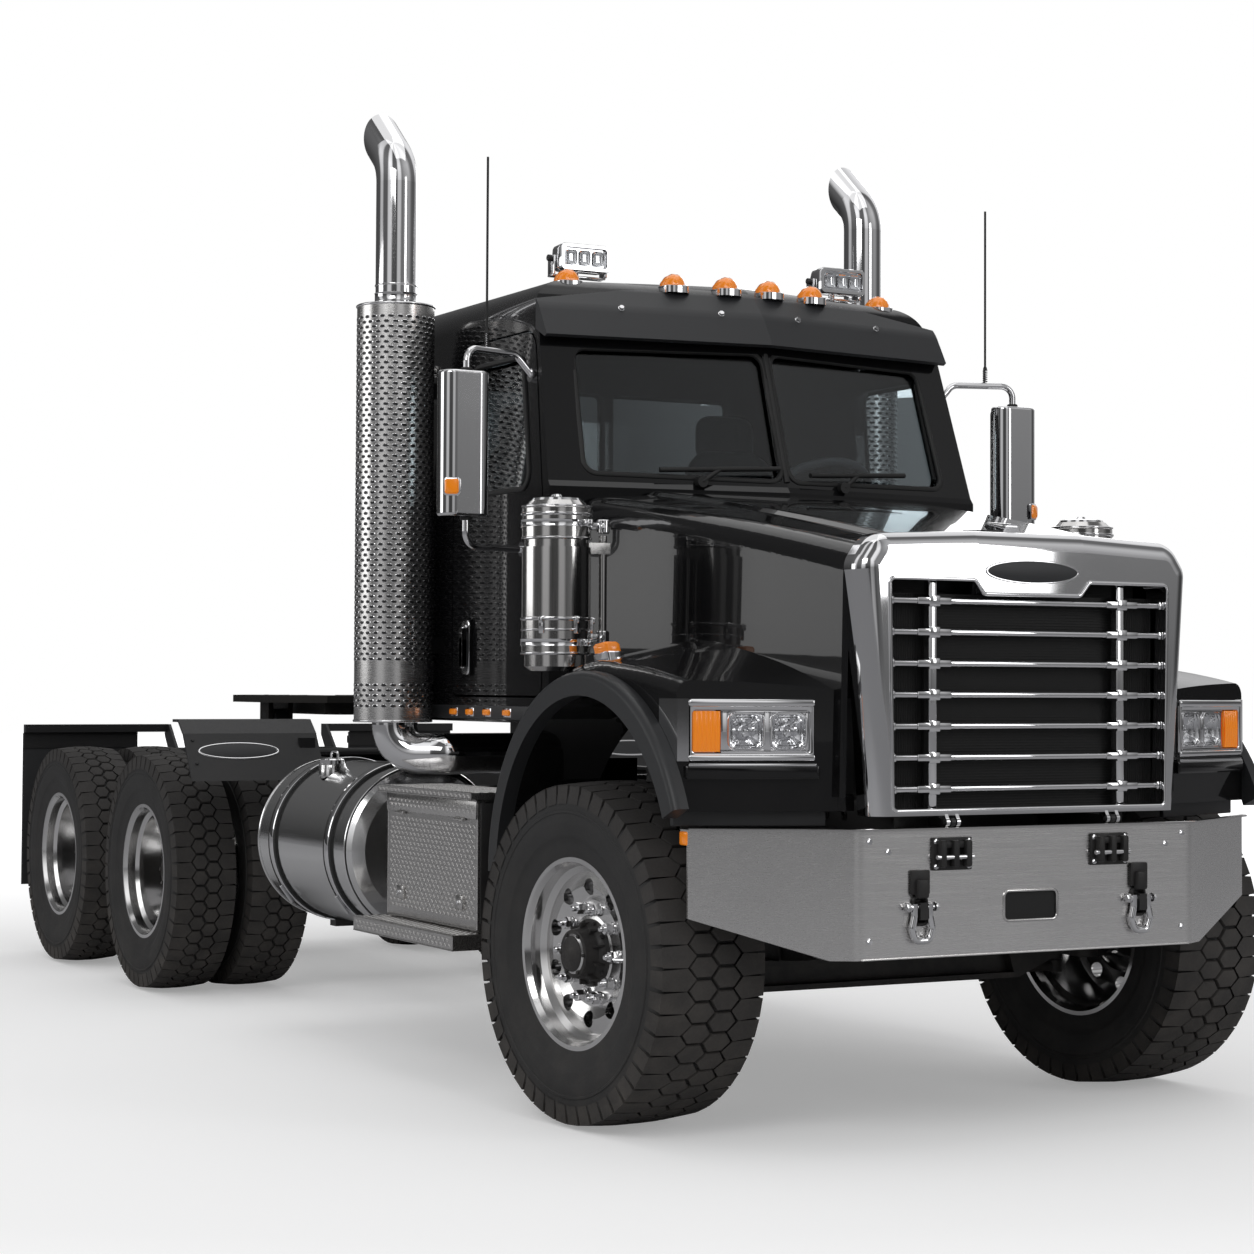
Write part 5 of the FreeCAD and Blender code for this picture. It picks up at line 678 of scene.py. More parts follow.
NODE_FINISHES = {
    PAINT: "cab_shell door_left door_right hood_shell fenders",
    CHASSIS: "frame_rails crossmembers front_brackets quarter_fenders tail_bar tank_straps engine fifth_wheel_base",
    CASTING: "front_axle drive_axles driveline knuckle_left knuckle_right tie_rod",
    BUMPER_STEEL: "bumper heat_shields",
    CHROME: "grille_surround grille_bars mirror_left mirror_right headlamps tow_shackles work_lights exhaust_stacks",
    STAINLESS: "air_cleaners",
    ALUMINIUM: "fuel_tanks",
    TREAD_METAL: "step_boxes",
    WHEEL_ALLOY: "front_rim_left front_rim_right dual_rims_forward_left dual_rims_forward_right dual_rims_rear_left "
                 "dual_rims_rear_right",
    TYRE_RUBBER: "front_tyre_left front_tyre_right dual_tyres_forward_left dual_tyres_forward_right "
                 "dual_tyres_rear_left dual_tyres_rear_right",
    PLASTIC: "wheel_arch_flares mud_flaps sun_visor",
    RUBBER: "wipers",
    CABIN: "dashboard",
    WOVEN_COVER: "seats",
    GREASE: "fifth_wheel_plate",
    DARK_METAL: "grille_screen radiator",
    AMBER: "cab_lights",
    GLASS: "cab_glass door_glass_left door_glass_right",
}


def finish_nodes():
    """Gives each carried-over node its finish."""
    for material, names in NODE_FINISHES.items():
        for name in names.split():
            mesh = frame["nodes"][name].data
            mesh.materials.clear()
            mesh.materials.append(material)


# Tyres and wheels

PITCHES = 48
GROOVE = 0.0075
TREAD_DEPTH = 0.017
TREAD_FOOT = -TREAD_DEPTH - 0.002
BLOCK_CHAMFER = 0.0022
SHOULDER_DROP = 0.040
RIM_SEAT = 0.2855
# Width, radius and half the rim's width
FRONT_TYRE = (0.385, 0.536, 0.1675)
DRIVE_TYRE = (0.279, 0.527, 0.1175)
TWIN_OFFSET = 0.1715
NUT_CIRCLE = 0.1425
NUT_ACROSS = 0.033
NUT_HIGH = 0.026
FRONT_HUB = [(0.094, 0.104), (0.102, 0.106), (0.106, 0.096), (0.120, 0.088), (0.1235, 0.082), (0.134, 0.080),
             (0.1645, 0.0745), (0.1665, 0.071), (0.1665, 0.056), (0.1725, 0.0545), (0.1765, 0.046), (0.1765, 0.030),
             (0.181, 0.020), (0.1825, 0)]
# The valve's corners, as ways along the axle and out from it
VALVE = ((0.115, 0.245), (0.135, 0.236), (0.158, 0.214))
DRIVE_HUB = [(0.022, 0.118), (0.030, 0.121), (0.052, 0.121), (0.058, 0.112), (0.062, 0.082), (0.150, 0.076),
             (0.160, 0.0755), (0.163, 0.096), (0.172, 0.097), (0.1745, 0.093), (0.1765, 0.052), (0.188, 0.047),
             (0.191, 0.038), (0.191, 0)]


def inset_outline(outline, by):
    """A convex outline drawn in on all sides: each corner moves by the two edge normals' bisector."""
    a, b = outline - np.roll(outline, 1, 0), np.roll(outline, -1, 0) - outline
    a /= np.linalg.norm(a, axis=1, keepdims=True)
    b /= np.linalg.norm(b, axis=1, keepdims=True)
    na, nb = np.column_stack([-a[:, 1], a[:, 0]]), np.column_stack([-b[:, 1], b[:, 0]])
    return outline + (na + nb) * by / (1 + np.sum(na * nb, axis=1, keepdims=True))


def blocks_round(levels, offsets, centre, axis):
    """Tread blocks lofted through levels of (across, angle, radius), set round the tyre at each angle offset."""
    first, second = cross_axes(axis)
    rings = np.stack(levels) + np.array([0, 1, 0]) * offsets[:, None, None, None]
    across, angle, radius = (rings[..., k, None] for k in range(3))
    points = centre + across * axis + radius * (np.cos(angle) * first + np.sin(angle) * second)
    walls = grid(rings[0], wrap_columns=True)[1][0]
    size, corners = rings[0, ..., 0].size, rings.shape[2]
    top = np.arange(corners)[None] + size - corners
    return points.reshape(-1, 3), repeated([walls, top], len(offsets), size)


def tread_block(outline, tread_radius, crown, offsets, centre, axis):
    """Blocks of one outline (across, around): a foot, a wall, a small chamfer and a top."""
    levels = []
    for by, rise in ((0.0, TREAD_FOOT), (0.001, -BLOCK_CHAMFER * 1.4), (0.001 + BLOCK_CHAMFER, 0.0), (0.014, 0.0005)):
        across, around = inset_outline(outline, by).T
        levels.append(np.column_stack([across, around / tread_radius, crown(across) + rise]))
    return blocks_round(levels, offsets, centre, axis)


def shoulder_block(inner, edge, half_pitch, spacing, tread_radius, side_at, crown, offsets, centre, axis):
    """Blocks of half a honeycomb cell inwards, with a straight outer edge and a wall that drops down the side."""
    sign = math.copysign(1.0, edge)
    half = half_pitch - GROOVE / 2
    root = inner + sign * GROOVE / 2
    outline = np.array([(root - sign * spacing / 3, 0.0), (root, half), (edge, half * 0.90), (edge, -half * 0.90),
                        (root, -half)])
    if sign < 0:
        outline = outline[::-1]
    outer = np.abs(outline[:, 0] - edge) < 1e-9
    levels = []
    for by, rise in ((0.0, TREAD_FOOT), (0.0008, -0.003), (0.003, 0.0)):
        across, around = (inset_outline(outline, by) if by else outline).T
        radius = crown(across) + rise
        if not by:
            radius = np.where(outer, radius - SHOULDER_DROP, radius)
            across = np.where(outer, sign * side_at, across)
        levels.append(np.column_stack([across, around / tread_radius, radius]))
    return blocks_round(levels, offsets, centre, axis)


def tyre_forms(centre, axis, width, radius, rim_half):
    """The casing's turned section, with its rings, and four rows of blocks in a honeycomb."""
    w = width / 2
    base = radius - 0.004 - TREAD_DEPTH

    def crown(across):
        return radius - 0.004 - 0.010 * (np.abs(across) / w) ** 2.5

    bead_edge = (rim_half - 0.016, RIM_SEAT - 0.012)
    by_rim = [(-0.013, 0.001), (-0.004, 0.006), (0.003, 0.018)]
    by_side = [(0.020, 0.050), (0.0105, 0.075), (0.0085, 0.078), (0.0075, 0.084), (0.002, 0.112), (0.001, 0.128),
               (0.003, 0.148), (0.0005, 0.151), (0.0008, 0.157), (0.0045, 0.160)]
    by_base = [(0.006, 0.040), (0.010, 0.022), (0.020, 0.008), (0.045, 0.002)]
    half = [bead_edge, *[(rim_half + a, RIM_SEAT + r) for a, r in by_rim],
            *[(w - a, RIM_SEAT + r) for a, r in by_side], *[(w - a, base - r) for a, r in by_base],
            (w * 0.4, base), (0.0, base + 0.001)]
    casing = lathe(half + [(-a, r) for a, r in half[-2::-1]], centre, axis, 120)
    inside = lathe([bead_edge, (-bead_edge[0], bead_edge[1])], centre, axis, 120)
    spacing = (width - 0.020) / 4.3
    half_pitch = math.pi * radius / PITCHES
    cell = np.array([(2 / 3, 0.0), (1 / 3, 1.0), (-1 / 3, 1.0), (-2 / 3, 0.0), (-1 / 3, -1.0), (1 / 3, -1.0)])
    cell = inset_outline(cell * [spacing, half_pitch], GROOVE / 2)
    rows = []
    for sign in (1, -1):
        turn = circle(PITCHES) + (math.pi / PITCHES if sign < 0 else 0.0)
        rows.append(tread_block(cell + [sign * spacing / 2, 0], radius, crown, turn, centre, axis))
        rows.append(shoulder_block(sign * spacing * (1 + 1 / 6), sign * (w - 0.009), half_pitch, spacing, radius,
                                   w - 0.003, crown, turn + math.pi / PITCHES, centre, axis))
    return [(TYRE_RUBBER, casing, inside), (TREAD_RUBBER, *rows)]


def nuts_on(centre, axis, face):
    """Wheel nuts in a ring: a washer, a hexagon and the stud's rounded end."""
    foot = centre + axis * face + cross_axes(axis)[0] * NUT_CIRCLE
    r = NUT_ACROSS
    washer = lathe([(0, 0.004), (0, r * 0.62), (0.004, r * 0.60), (0.006, r * 0.5)], foot, axis, 20)
    nut = hex_nut(foot + axis * 0.005, axis, r, NUT_HIGH)
    stud = lathe([(0, r * 0.30), (0.014, r * 0.30), (0.018, r * 0.22), (0.019, 0)],
                 foot + axis * (NUT_HIGH + 0.004), axis, 14)
    return spun(merged(washer, nut, stud), centre, axis, 10)


def front_wheel_pieces():
    """Each front wheel's tyre, nuts, ribbed hub with its cap, and valve."""
    for side_name, side in SIDES:
        body = f"front_wheel_{side_name}"
        centre, axis = joint_place(f"{body}_roll")
        axis = axis * side
        first, _ = cross_axes(axis)
        tyre = tyre_forms(centre, axis, *FRONT_TYRE)
        item = piece(f"front_tyre_{side_name}_tread", body, "tyre", *tyre, angle=38)
        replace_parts(item, f"front_tyre_{side_name}")
        piece(f"front_nuts_{side_name}", body, "chrome", (CHROME, nuts_on(centre, axis, 0.096)), angle=30)
        cap_bolt = hex_nut(centre + axis * 0.1665 + first * 0.0635, axis, 0.011, 0.006)
        hub_bolt = hex_nut(centre + axis * 0.104 + first * 0.0945, axis, 0.014, 0.009)
        rib = placed(block(0, 0.004, 0.078, 0.096, 0.104, 0.140, 0.002), centre, np.cross(first, axis), first, axis)
        piece(f"front_hub_{side_name}", body, "cast_black",
              (CASTING, lathe(FRONT_HUB, centre, axis), spun(cap_bolt, centre, axis, 6),
               spun(hub_bolt, centre, axis, 10), spun(rib, centre, axis, 10, math.pi / 10)), angle=35)
        stem = bent_path([centre + axis * a + first * b for a, b in VALVE], 0.01)
        piece(f"front_valve_{side_name}", body, "chrome",
              (CHROME, tube(stem, 0.0045, 10, np.cross(first, axis))), angle=32)


def drive_wheel_pieces():
    """Each pair of twin wheels' tyres, nuts and hub."""
    for axle in AXLES:
        for side_name, side in SIDES:
            tag = f"{axle}_{side_name}"
            body = f"drive_wheels_{tag}"
            centre, axis = joint_place(f"{body}_roll")
            axis = axis * side
            tyres = [part for offset in (TWIN_OFFSET, -TWIN_OFFSET)
                     for part in tyre_forms(centre + axis * offset, axis, *DRIVE_TYRE)]
            item = piece(f"dual_tread_{tag}", body, "tyre", *tyres, angle=38)
            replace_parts(item, f"dual_tyres_{tag}")
            piece(f"dual_nuts_{tag}", body, "chrome", (CHROME, nuts_on(centre, axis, 0.024)), angle=30)
            shaft_bolt = hex_nut(centre + axis * 0.1735 + cross_axes(axis)[0] * 0.084, axis, 0.016, 0.011)
            piece(f"dual_hub_{tag}", body, "cast_black",
                  (CASTING, lathe(DRIVE_HUB, centre, axis), spun(shaft_bolt, centre, axis, 8)), angle=35)


# Front end

GRILLE_FACE = AXLE_Y - 0.845
GRILLE_FOOT, GRILLE_TOP = 1.000, 1.690
BAR_LEVELS = 1.624 - 0.0935 * np.arange(7)
UPRIGHT_X = 0.353
MESH_PITCH = 0.0085
MESH_REACH = 0.509
LAMP_CORNER = (0.690, AXLE_Y - 0.7054, 1.145)
LAMP_ACROSS = np.array([0.9476, 0.3193, 0.0])
LAMP_AWAY = np.array([0.3193, -0.9476, 0.0])
LAMP_WIDE, LAMP_HIGH = 0.382, 0.185
BOWL_PITCH = 0.128
APRON = np.array([(0.640, -3.275), (1.068, -3.108), (1.068, -3.088), (0.640, -3.255)])
BUMPER_FACE = AXLE_Y - 0.835
BUMPER_TOP = 0.945
HATCH_X, SEAT_X = 0.295, 0.410


def grille_pieces():
    """Rounded bars with sleeves where two uprights cross them, before thin fins and a wire mesh."""
    f = GRILLE_FACE
    bars, sleeves = [], [block(UPRIGHT_X, 0.015, f + 0.018, f + 0.05, GRILLE_FOOT, GRILLE_TOP, 0.006, 3)]
    for z in BAR_LEVELS:
        reach = 0.521 - 0.012 * (GRILLE_TOP - z) / (GRILLE_TOP - GRILLE_FOOT)
        bars.append(block(0, reach, f + 0.012, f + 0.042, z - 0.009, z + 0.009, 0.0065, 3))
        for x, half, y0, y1, high, radius in ((UPRIGHT_X, 0.062, 0.009, 0.042, 0.011, 0.005),
                                              (UPRIGHT_X, 0.021, 0.0085, 0.05, 0.017, 0.005),
                                              (reach - 0.011, 0.011, 0.010, 0.044, 0.012, 0.004)):
            sleeves.append(block(x, half, f + y0, f + y1, z - high, z + high, radius))
    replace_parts(piece("grille_rounded_bars", "hood", "chrome", (CHROME, *bars, both(*sleeves))), "grille_bars")

    levels = (GRILLE_FOOT + 0.004 + MESH_PITCH * np.arange(75))[:, None] * UP
    mesh = [plank((-MESH_REACH, f + 0.066, GRILLE_FOOT), (MESH_REACH, f + 0.070, 1.647)),
            copies(plank((-UPRIGHT_X, f + 0.0615, 0), (UPRIGHT_X, f + 0.0665, 0.0022)), levels)]
    for low, high in ((-MESH_REACH, -UPRIGHT_X), (UPRIGHT_X, MESH_REACH)):
        mesh.append(copies(plank((low, f + 0.0625, 0), (high, f + 0.0645, 0.0018)), levels))
        columns = np.arange(low + 0.004, high - 0.003, MESH_PITCH)[:, None] * ACROSS
        mesh.append(copies(plank((0, f + 0.0620, GRILLE_FOOT), (0.0018, f + 0.064, 1.646)), columns))
    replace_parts(piece("grille_fins", "hood", "screen_black", (DARK_METAL, *mesh), angle=20), "grille_screen")

    inside = [(0.522, GRILLE_TOP), (0.215, GRILLE_TOP), (0.180, 1.648)]
    inside = [(-0.510, GRILLE_FOOT), (0.510, GRILLE_FOOT), *inside, *[(-x, z) for x, z in inside[::-1]]]
    lip = moulding(loop([(x, f, z) for x, z in inside], 0.016, 5), half_round(0.013, 0.006), AHEAD)
    plate, rim = (placed(form, (0, f + 0.001, 1.718), ACROSS, UP, AHEAD) for form in oval(0.172, 0.034, 0.006, 0.008))
    piece("grille_trim", "hood", "chrome", (CHROME, lip, rim), (PLASTIC, plate), angle=35)


def on_lamp(*forms):
    """Forms drawn on the left headlamp's face, set down on it."""
    return [placed(form, LAMP_CORNER, LAMP_ACROSS, UP, LAMP_AWAY) for form in forms]


def reflector(u, v, half):
    """A bowl behind a lens: a rounded square flange that runs into circles, deeper by the square of the way in."""
    flange = rounded_outline(half + 0.007, half + 0.007, 0.010, 9)
    mouth = rounded_outline(half, half, 0.020, 9)
    turn = np.arctan2(mouth[:, 1], mouth[:, 0])
    ring = np.column_stack([np.cos(turn), np.sin(turn)]) * half
    outlines = [flange, mouth, mouth * 0.4 + ring * 0.6]
    depths = [0 * turn - 0.0145, 0 * turn - 0.0135, 0 * turn - 0.0165]
    for share in (0.97, 0.86, 0.72, 0.56, 0.40, 0.22):
        outlines.append(ring * share)
        depths.append(-0.0175 - 0.036 * (1 - share ** 2) + 0.0011 * np.cos(24 * turn) * share)
    points, faces = grid(np.stack([np.column_stack(pair) for pair in zip(outlines, depths)]), wrap_columns=True)
    return points + [u, v, 0], faces + [np.arange(len(turn))[None] + len(points) - len(turn)]


def headlamp_pieces():
    """A deep bezel with heavy lips, two bowls under fluted lenses, and a ribbed amber lens at the outer corner."""
    levels = [(0.0, 0.0, 0.0, 0.014, -0.062), (0.0, 0.0, 0.0, 0.014, -0.012), (0.002, 0.002, 0.002, 0.014, -0.004)]
    body = [dish(*[(a, LAMP_WIDE - a, b, LAMP_HIGH - c, r, h) for a, b, c, r, h in levels],
                 (0.006, 0.378, 0.007, 0.178, 0.014, 0.0), (0.012, 0.374, 0.020, 0.157, 0.010, 0.0),
                 (0.016, 0.371, 0.024, 0.152, 0.010, -0.003), (0.018, 0.370, 0.026, 0.150, 0.010, -0.016),
                 (0.018, 0.370, 0.026, 0.150, 0.010, -0.058)),
            soft_box((0.0, 0.160, -0.02), (0.384, 0.1845, 0.006), 0.009, 3),
            soft_box((0.0, 0.001, -0.02), (0.384, 0.020, 0.005), 0.007, 3)]
    body += [soft_box((u0, 0.026, -0.030), (u1, 0.150, -0.010), 0.003)
             for u0, u1 in ((0.017, 0.030), (0.130, 0.158), (0.258, 0.286))]
    body += [soft_box((0.017, v0, -0.030), (0.286, v1, -0.010), 0.003) for v0, v1 in ((0.025, 0.037), (0.139, 0.151))]
    bowls, lenses = [], []
    for u in (0.080, 0.080 + BOWL_PITCH):
        v, half = 0.088, 0.053
        rim = [(u - half, v - half), (u + half, v - half), (u + half, v + half), (u - half, v + half)]
        body.append(moulding(loop([(*corner, -0.010) for corner in rim], 0.022, 7), half_round(0.010, 0.007), UP))
        bulb = [(0, 0.016), (0.014, 0.0155), (0.017, 0.013), (0.014, 0.0115), (0.021, 0.007), (0.023, 0)]
        bowls += [reflector(u, v, 0.0495), lathe(bulb, (u, v, -0.053), UP, 24)]
        a, b = np.meshgrid(np.linspace(-1, 1, 41), np.linspace(-1, 1, 9))
        dome = -0.0075 + 0.0038 * (1 - a ** 2) * (1 - b ** 2) + 0.0006 * np.cos(a * math.pi * 10)
        lenses.append(grid(np.stack([u + a * 0.0485, v + b * 0.0485, dome], -1)))
    a, b = np.meshgrid(np.linspace(0, 1, 37), np.linspace(0, 1, 9))
    rise = -0.006 + 0.0024 * np.abs(np.sin(a * math.pi * 6)) + 0.003 * np.sin(b * math.pi)
    amber = [grid(np.stack([0.288 + 0.081 * a, 0.028 + 0.120 * b, rise], -1)),
             soft_box((0.288, 0.028, -0.020), (0.369, 0.148, -0.0065), 0.002)]
    plan = np.array([(1.052, -0.583), (1.0795, -0.562), (1.0795, -0.450), (1.040, -0.450)]) + [0, AXLE_Y]
    end = stacked([plan] * 2, [1.1455, 1.3295])
    item = piece("headlamp_units", "hood", "lamp_lens", (CHROME, *on_lamp(*body), end),
                 (REFLECTOR, *on_lamp(*bowls)), (LENS, *on_lamp(*lenses)), (AMBER, *on_lamp(*amber)),
                 sides=BOTH, angle=35)
    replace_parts(item, "headlamps")
    piece("fender_aprons", "hood", "black_plastic", (PLASTIC, stacked([APRON] * 2, [0.952, 1.002])),
          sides=BOTH, bevel=0.003)
    ledge = dish((-0.012, 0.392, -0.052, -0.012, 0.004, -0.04), (-0.012, 0.392, -0.052, -0.012, 0.006, 0.002),
                 (-0.006, 0.386, -0.046, -0.017, 0.006, 0.007))
    # The chrome strip along the ledge's top edge is a painted highlight: it stands in for the bright edge of the black
    # fender lip.
    strip = soft_box((-0.002, -0.0145, -0.01), (0.384, -0.006, 0.004), 0.003)
    piece("headlamp_ledges", "hood", "gloss_black", (PAINT, *on_lamp(ledge)), (CHROME, *on_lamp(strip)), sides=BOTH)


def bumper_pieces():
    """A bright lip, hinged hatch castings, slot rims, shackle seats, bolts and the amber end markers."""
    f = BUMPER_FACE
    bend = bent_path([(-1.053, f + 0.250, BUMPER_TOP), (-0.620, f, BUMPER_TOP), (0.620, f, BUMPER_TOP),
                      (1.053, f + 0.250, BUMPER_TOP)], 0.07)
    section = [(0.003, -0.006), (0.003, 0.004), (0.0, 0.006), (-0.016, 0.006), (-0.019, 0.004), (-0.019, -0.001),
               (0.0, -0.001)]
    x, ear = HATCH_X, SEAT_X
    castings = [block(x, 0.072, f - 0.009, f + 0.002, 0.822, 0.920),
                block(x, 0.052, f - 0.022, f - 0.004, 0.888, 0.908, 0.005),
                block(ear, 0.034, f - 0.012, f + 0.002, 0.752, 0.826, 0.006),
                block(ear, 0.020, f - 0.030, f - 0.004, 0.742, 0.800, 0.008)]
    seats = [moulding(upright_loop(f, at - 0.024, at + 0.024, 0.666, 0.744, 0.012, 5),
                      half_round(0.014, 0.010), AHEAD) for at in (-ear, ear)]
    castings += [block(x + shift, 0.011, f - 0.034, f - 0.004, 0.832, 0.912, 0.006) for shift in (-0.046, 0.0, 0.046)]
    hatch_bolts = [(x + dx, f - 0.009, z) for dx in (-0.060, 0.060) for z in (0.834, 0.908)]
    heads = [(0.586, f, 0.912), (0.520, f, 0.880), (0.586, f, 0.620)]
    pins = [rod((x - 0.066, f - 0.024, 0.862), (x + 0.066, f - 0.024, 0.862), 0.0085, 16, 0.002),
            copies(bolt(AHEAD, 0.012, 0.007), hatch_bolts), copies(bolt(AHEAD, 0.014, 0.008), heads)]
    pins += [copies(bolt(ACROSS * s, 0.020, 0.012), (ear + s * 0.04418, f - 0.017, 0.717)) for s in (-1, 1)]
    piece("bumper_lips", "root", "bumper_steel",
          (STAINLESS, moulding(bend, section, UP, closed=False),
           bead((-0.615, f, 0.5665), (0.615, f, 0.5665), AHEAD, 0.006, 0.004),
           moulding(upright_loop(f, -0.100, 0.100, 0.663, 0.753, 0.018), half_round(0.010, 0.004), AHEAD)))
    # The dark plank set just behind the centre slot's rim is painted shade, in place of the slot's open depth.
    piece("bumper_castings", "root", "cast_black", (CASTING, both(*castings), *seats),
          (DARK_METAL, plank((-0.098, f + 0.004, 0.665), (0.098, f + 0.006, 0.751))))
    piece("bumper_pins", "root", "chrome", (CHROME, *pins), sides=BOTH, angle=35)
    marker = soft_box((1.030, AXLE_Y - 0.583, 0.898), (1.058, AXLE_Y - 0.535, 0.940), 0.006, 3)
    piece("bumper_markers", "root", "amber_lens", (AMBER, marker), sides=BOTH)


# Cab

CAB_FRONT = AXLE_Y + 0.550
CAB_BACK = AXLE_Y + 1.960
CAB_HALF = 0.880
CAB_LEAN = 0.075
SILL = 2.045
SCREEN_SWEEP = 0.110 / 0.750
SCREEN_LEAN = 0.327
DOOR_FRONT, DOOR_REAR = AXLE_Y + 0.735, AXLE_Y + 1.460
RAIL_Y = AXLE_Y + 1.705
RAIL_TOP, RAIL_FOOT = 2.54, 1.36
SILL_LAMPS = (-1.152, -1.290, -1.433, -1.596)
# The roof markers, as ways across and back from the front axle
MARKERS = ((0.090, 0.860), (0.290, 0.890), (0.660, 1.000))
WORK_LAMP_AT = np.array([0.550, AXLE_Y + 1.110, 2.902])
MIRROR_AT = np.array([1.150, AXLE_Y + 0.790, 1.935])
MIRROR_HIGH = 0.495
AERIAL_TOP = 3.178
COIL_TURNS = 7
SEAL = [(-0.010, -0.004), (-0.010, 0.004), (-0.006, 0.007), (0.004, 0.007), (0.008, 0.003), (0.008, -0.004)]


def on_screen(x, z, proud):
    """Points over the windscreen: it falls back by its lean with height and by its sweep to both sides."""
    return np.stack([x, CAB_FRONT + 0.015 + np.abs(x) * SCREEN_SWEEP + (z - 2.065) * SCREEN_LEAN - proud, z], -1)


def cab_side(z):
    """Half the cab's width: upright up to the sills, then leaning in."""
    return CAB_HALF - np.maximum(0.0, np.asarray(z, float) - SILL) * CAB_LEAN


def window_pieces():
    """Rubber seals round both panes of the windscreen, the divider between them, and the rear and door windows'."""
    corners = [(0.016, 0, 2.085), (0.745, 0, 2.095), (0.722, 0, 2.540), (0.016, 0, 2.552)]
    flat = loop(corners, 0.045, 7)
    steps = np.linspace(0, 1, 6)[:-1, None]
    fine = (flat[:, None] * (1 - steps) + np.roll(flat, -1, 0)[:, None] * steps).reshape(-1, 3)
    pane = moulding(on_screen(fine[:, 0], fine[:, 2], -0.001), SEAL, (SCREEN_SWEEP, -1.0, SCREEN_LEAN))
    level = np.linspace(2.083, 2.552, 12)
    divider = moulding(on_screen(0 * level, level, 0.002), half_round(0.022, 0.007), (0, -1, SCREEN_LEAN),
                       closed=False)
    piece("windscreen_seals", "root", "rubber", (RUBBER, both(pane), divider), angle=45)
    rim = upright_loop(CAB_BACK, 0.018, 0.560, 2.080, 2.520, 0.030)
    piece("rear_window_seals", "root", "rubber", (RUBBER, moulding(rim, SEAL, BACK)), sides=BOTH, angle=45)
    front, back, low, high = DOOR_FRONT + 0.095, DOOR_REAR - 0.095, SILL + 0.002, 2.515
    flat = loop([(0, front, low), (0, back, low), (0, back, high), (0, front + 0.130, high)], 0.05, 7)
    flat[:, 0] = cab_side(flat[:, 2]) + 0.001
    for side_name, side in SIDES:
        piece(f"door_window_seal_{side_name}", f"door_{side_name}", "rubber",
              (RUBBER, moulding(flat, SEAL, (1, 0, CAB_LEAN))), sides=(side,), angle=45)


def door_pieces():
    """A bright dished escutcheon with its paddle and lock, the grab rail behind the door, and the sill's lamps."""
    plate = tray((0.036, 0.100, 0.018, 0.0), (0.036, 0.100, 0.020, 0.009), (0.032, 0.096, 0.020, 0.012),
                 (0.025, 0.088, 0.018, 0.0115))
    well = dish((-0.024, 0.024, -0.087, 0.060, 0.016, 0.0118), (-0.022, 0.022, -0.084, 0.057, 0.015, 0.0122))
    paddle = dish((-0.014, 0.014, -0.075, 0.040, 0.012, 0.012), (-0.014, 0.014, -0.075, 0.040, 0.012, 0.026),
                  (-0.010, 0.010, -0.070, 0.036, 0.010, 0.030))
    lock = lathe([(0.011, 0.0), (0.011, 0.010), (0.0145, 0.009), (0.0145, 0.0)], (0, 0.073, 0), UP, 20)
    plate, well, paddle, lock = (placed(form, (CAB_HALF, DOOR_REAR - 0.130, 1.500), BACK, UP, ACROSS)
                                 for form in (plate, well, paddle, lock))
    for side_name, side in SIDES:
        piece(f"door_handle_{side_name}", f"door_{side_name}", "chrome", (CHROME, plate, paddle, lock),
              (PLASTIC, well), sides=(side,), angle=35)
    top = cab_side(RAIL_TOP)
    rail = bent_path([(top - 0.004, RAIL_Y, RAIL_TOP), (top + 0.055, RAIL_Y, RAIL_TOP),
                      (CAB_HALF + 0.045, RAIL_Y, RAIL_FOOT), (CAB_HALF - 0.004, RAIL_Y, RAIL_FOOT)], 0.035, 7)
    feet = [rod((cab_side(z) - 0.002, RAIL_Y, z), (cab_side(z) + 0.006, RAIL_Y, z), 0.022, 20, 0.002)
            for z in (RAIL_TOP, RAIL_FOOT)]
    piece("grab_rails", "root", "stainless", (STAINLESS, tube(rail, 0.0125, up=BACK), *feet), sides=BOTH)
    x = CAB_HALF - 0.002
    lamps = [soft_box((x, y - 0.026, 1.2575), (x + 0.015, y + 0.026, 1.2795), 0.006, 3) for y in SILL_LAMPS]
    bezels = [soft_box((x, y - 0.033, 1.252), (x + 0.007, y + 0.033, 1.285)) for y in SILL_LAMPS]
    strip = soft_box((x, AXLE_Y + 0.600, 1.2445), (x + 0.0055, AXLE_Y + 1.900, 1.2925), 0.003)
    piece("sill_lamps", "root", "amber_lens", (AMBER, *lamps), (CHROME, *bezels), (PLASTIC, strip), sides=BOTH)


def marker_lens(long, wide, high):
    """A roof marker's lens: rounded from front to back as the root of a sine, lower towards the rear, and ribbed."""
    u, turn = np.linspace(0, 1, 11)[:, None], np.linspace(0, math.pi, 15)
    reach = np.sqrt(np.clip(np.sin(u * math.pi * 0.94 + 0.10), 0.02, 1))
    ridge = 1 + 0.02 * np.cos(turn * 14)
    lens, faces = grid(np.stack([wide * reach * np.cos(turn) * ridge, long * (u - 0.5) + 0 * turn,
                                 high * reach * (1.0 - 0.30 * u) * np.sin(turn) * ridge], -1))
    ring, start = np.arange(15), np.arange(10) * 15
    floor = np.stack([start, start + 15, start + 29, start + 14], -1)
    return lens, faces + [ring[None], ring[None, ::-1] + 150, floor]


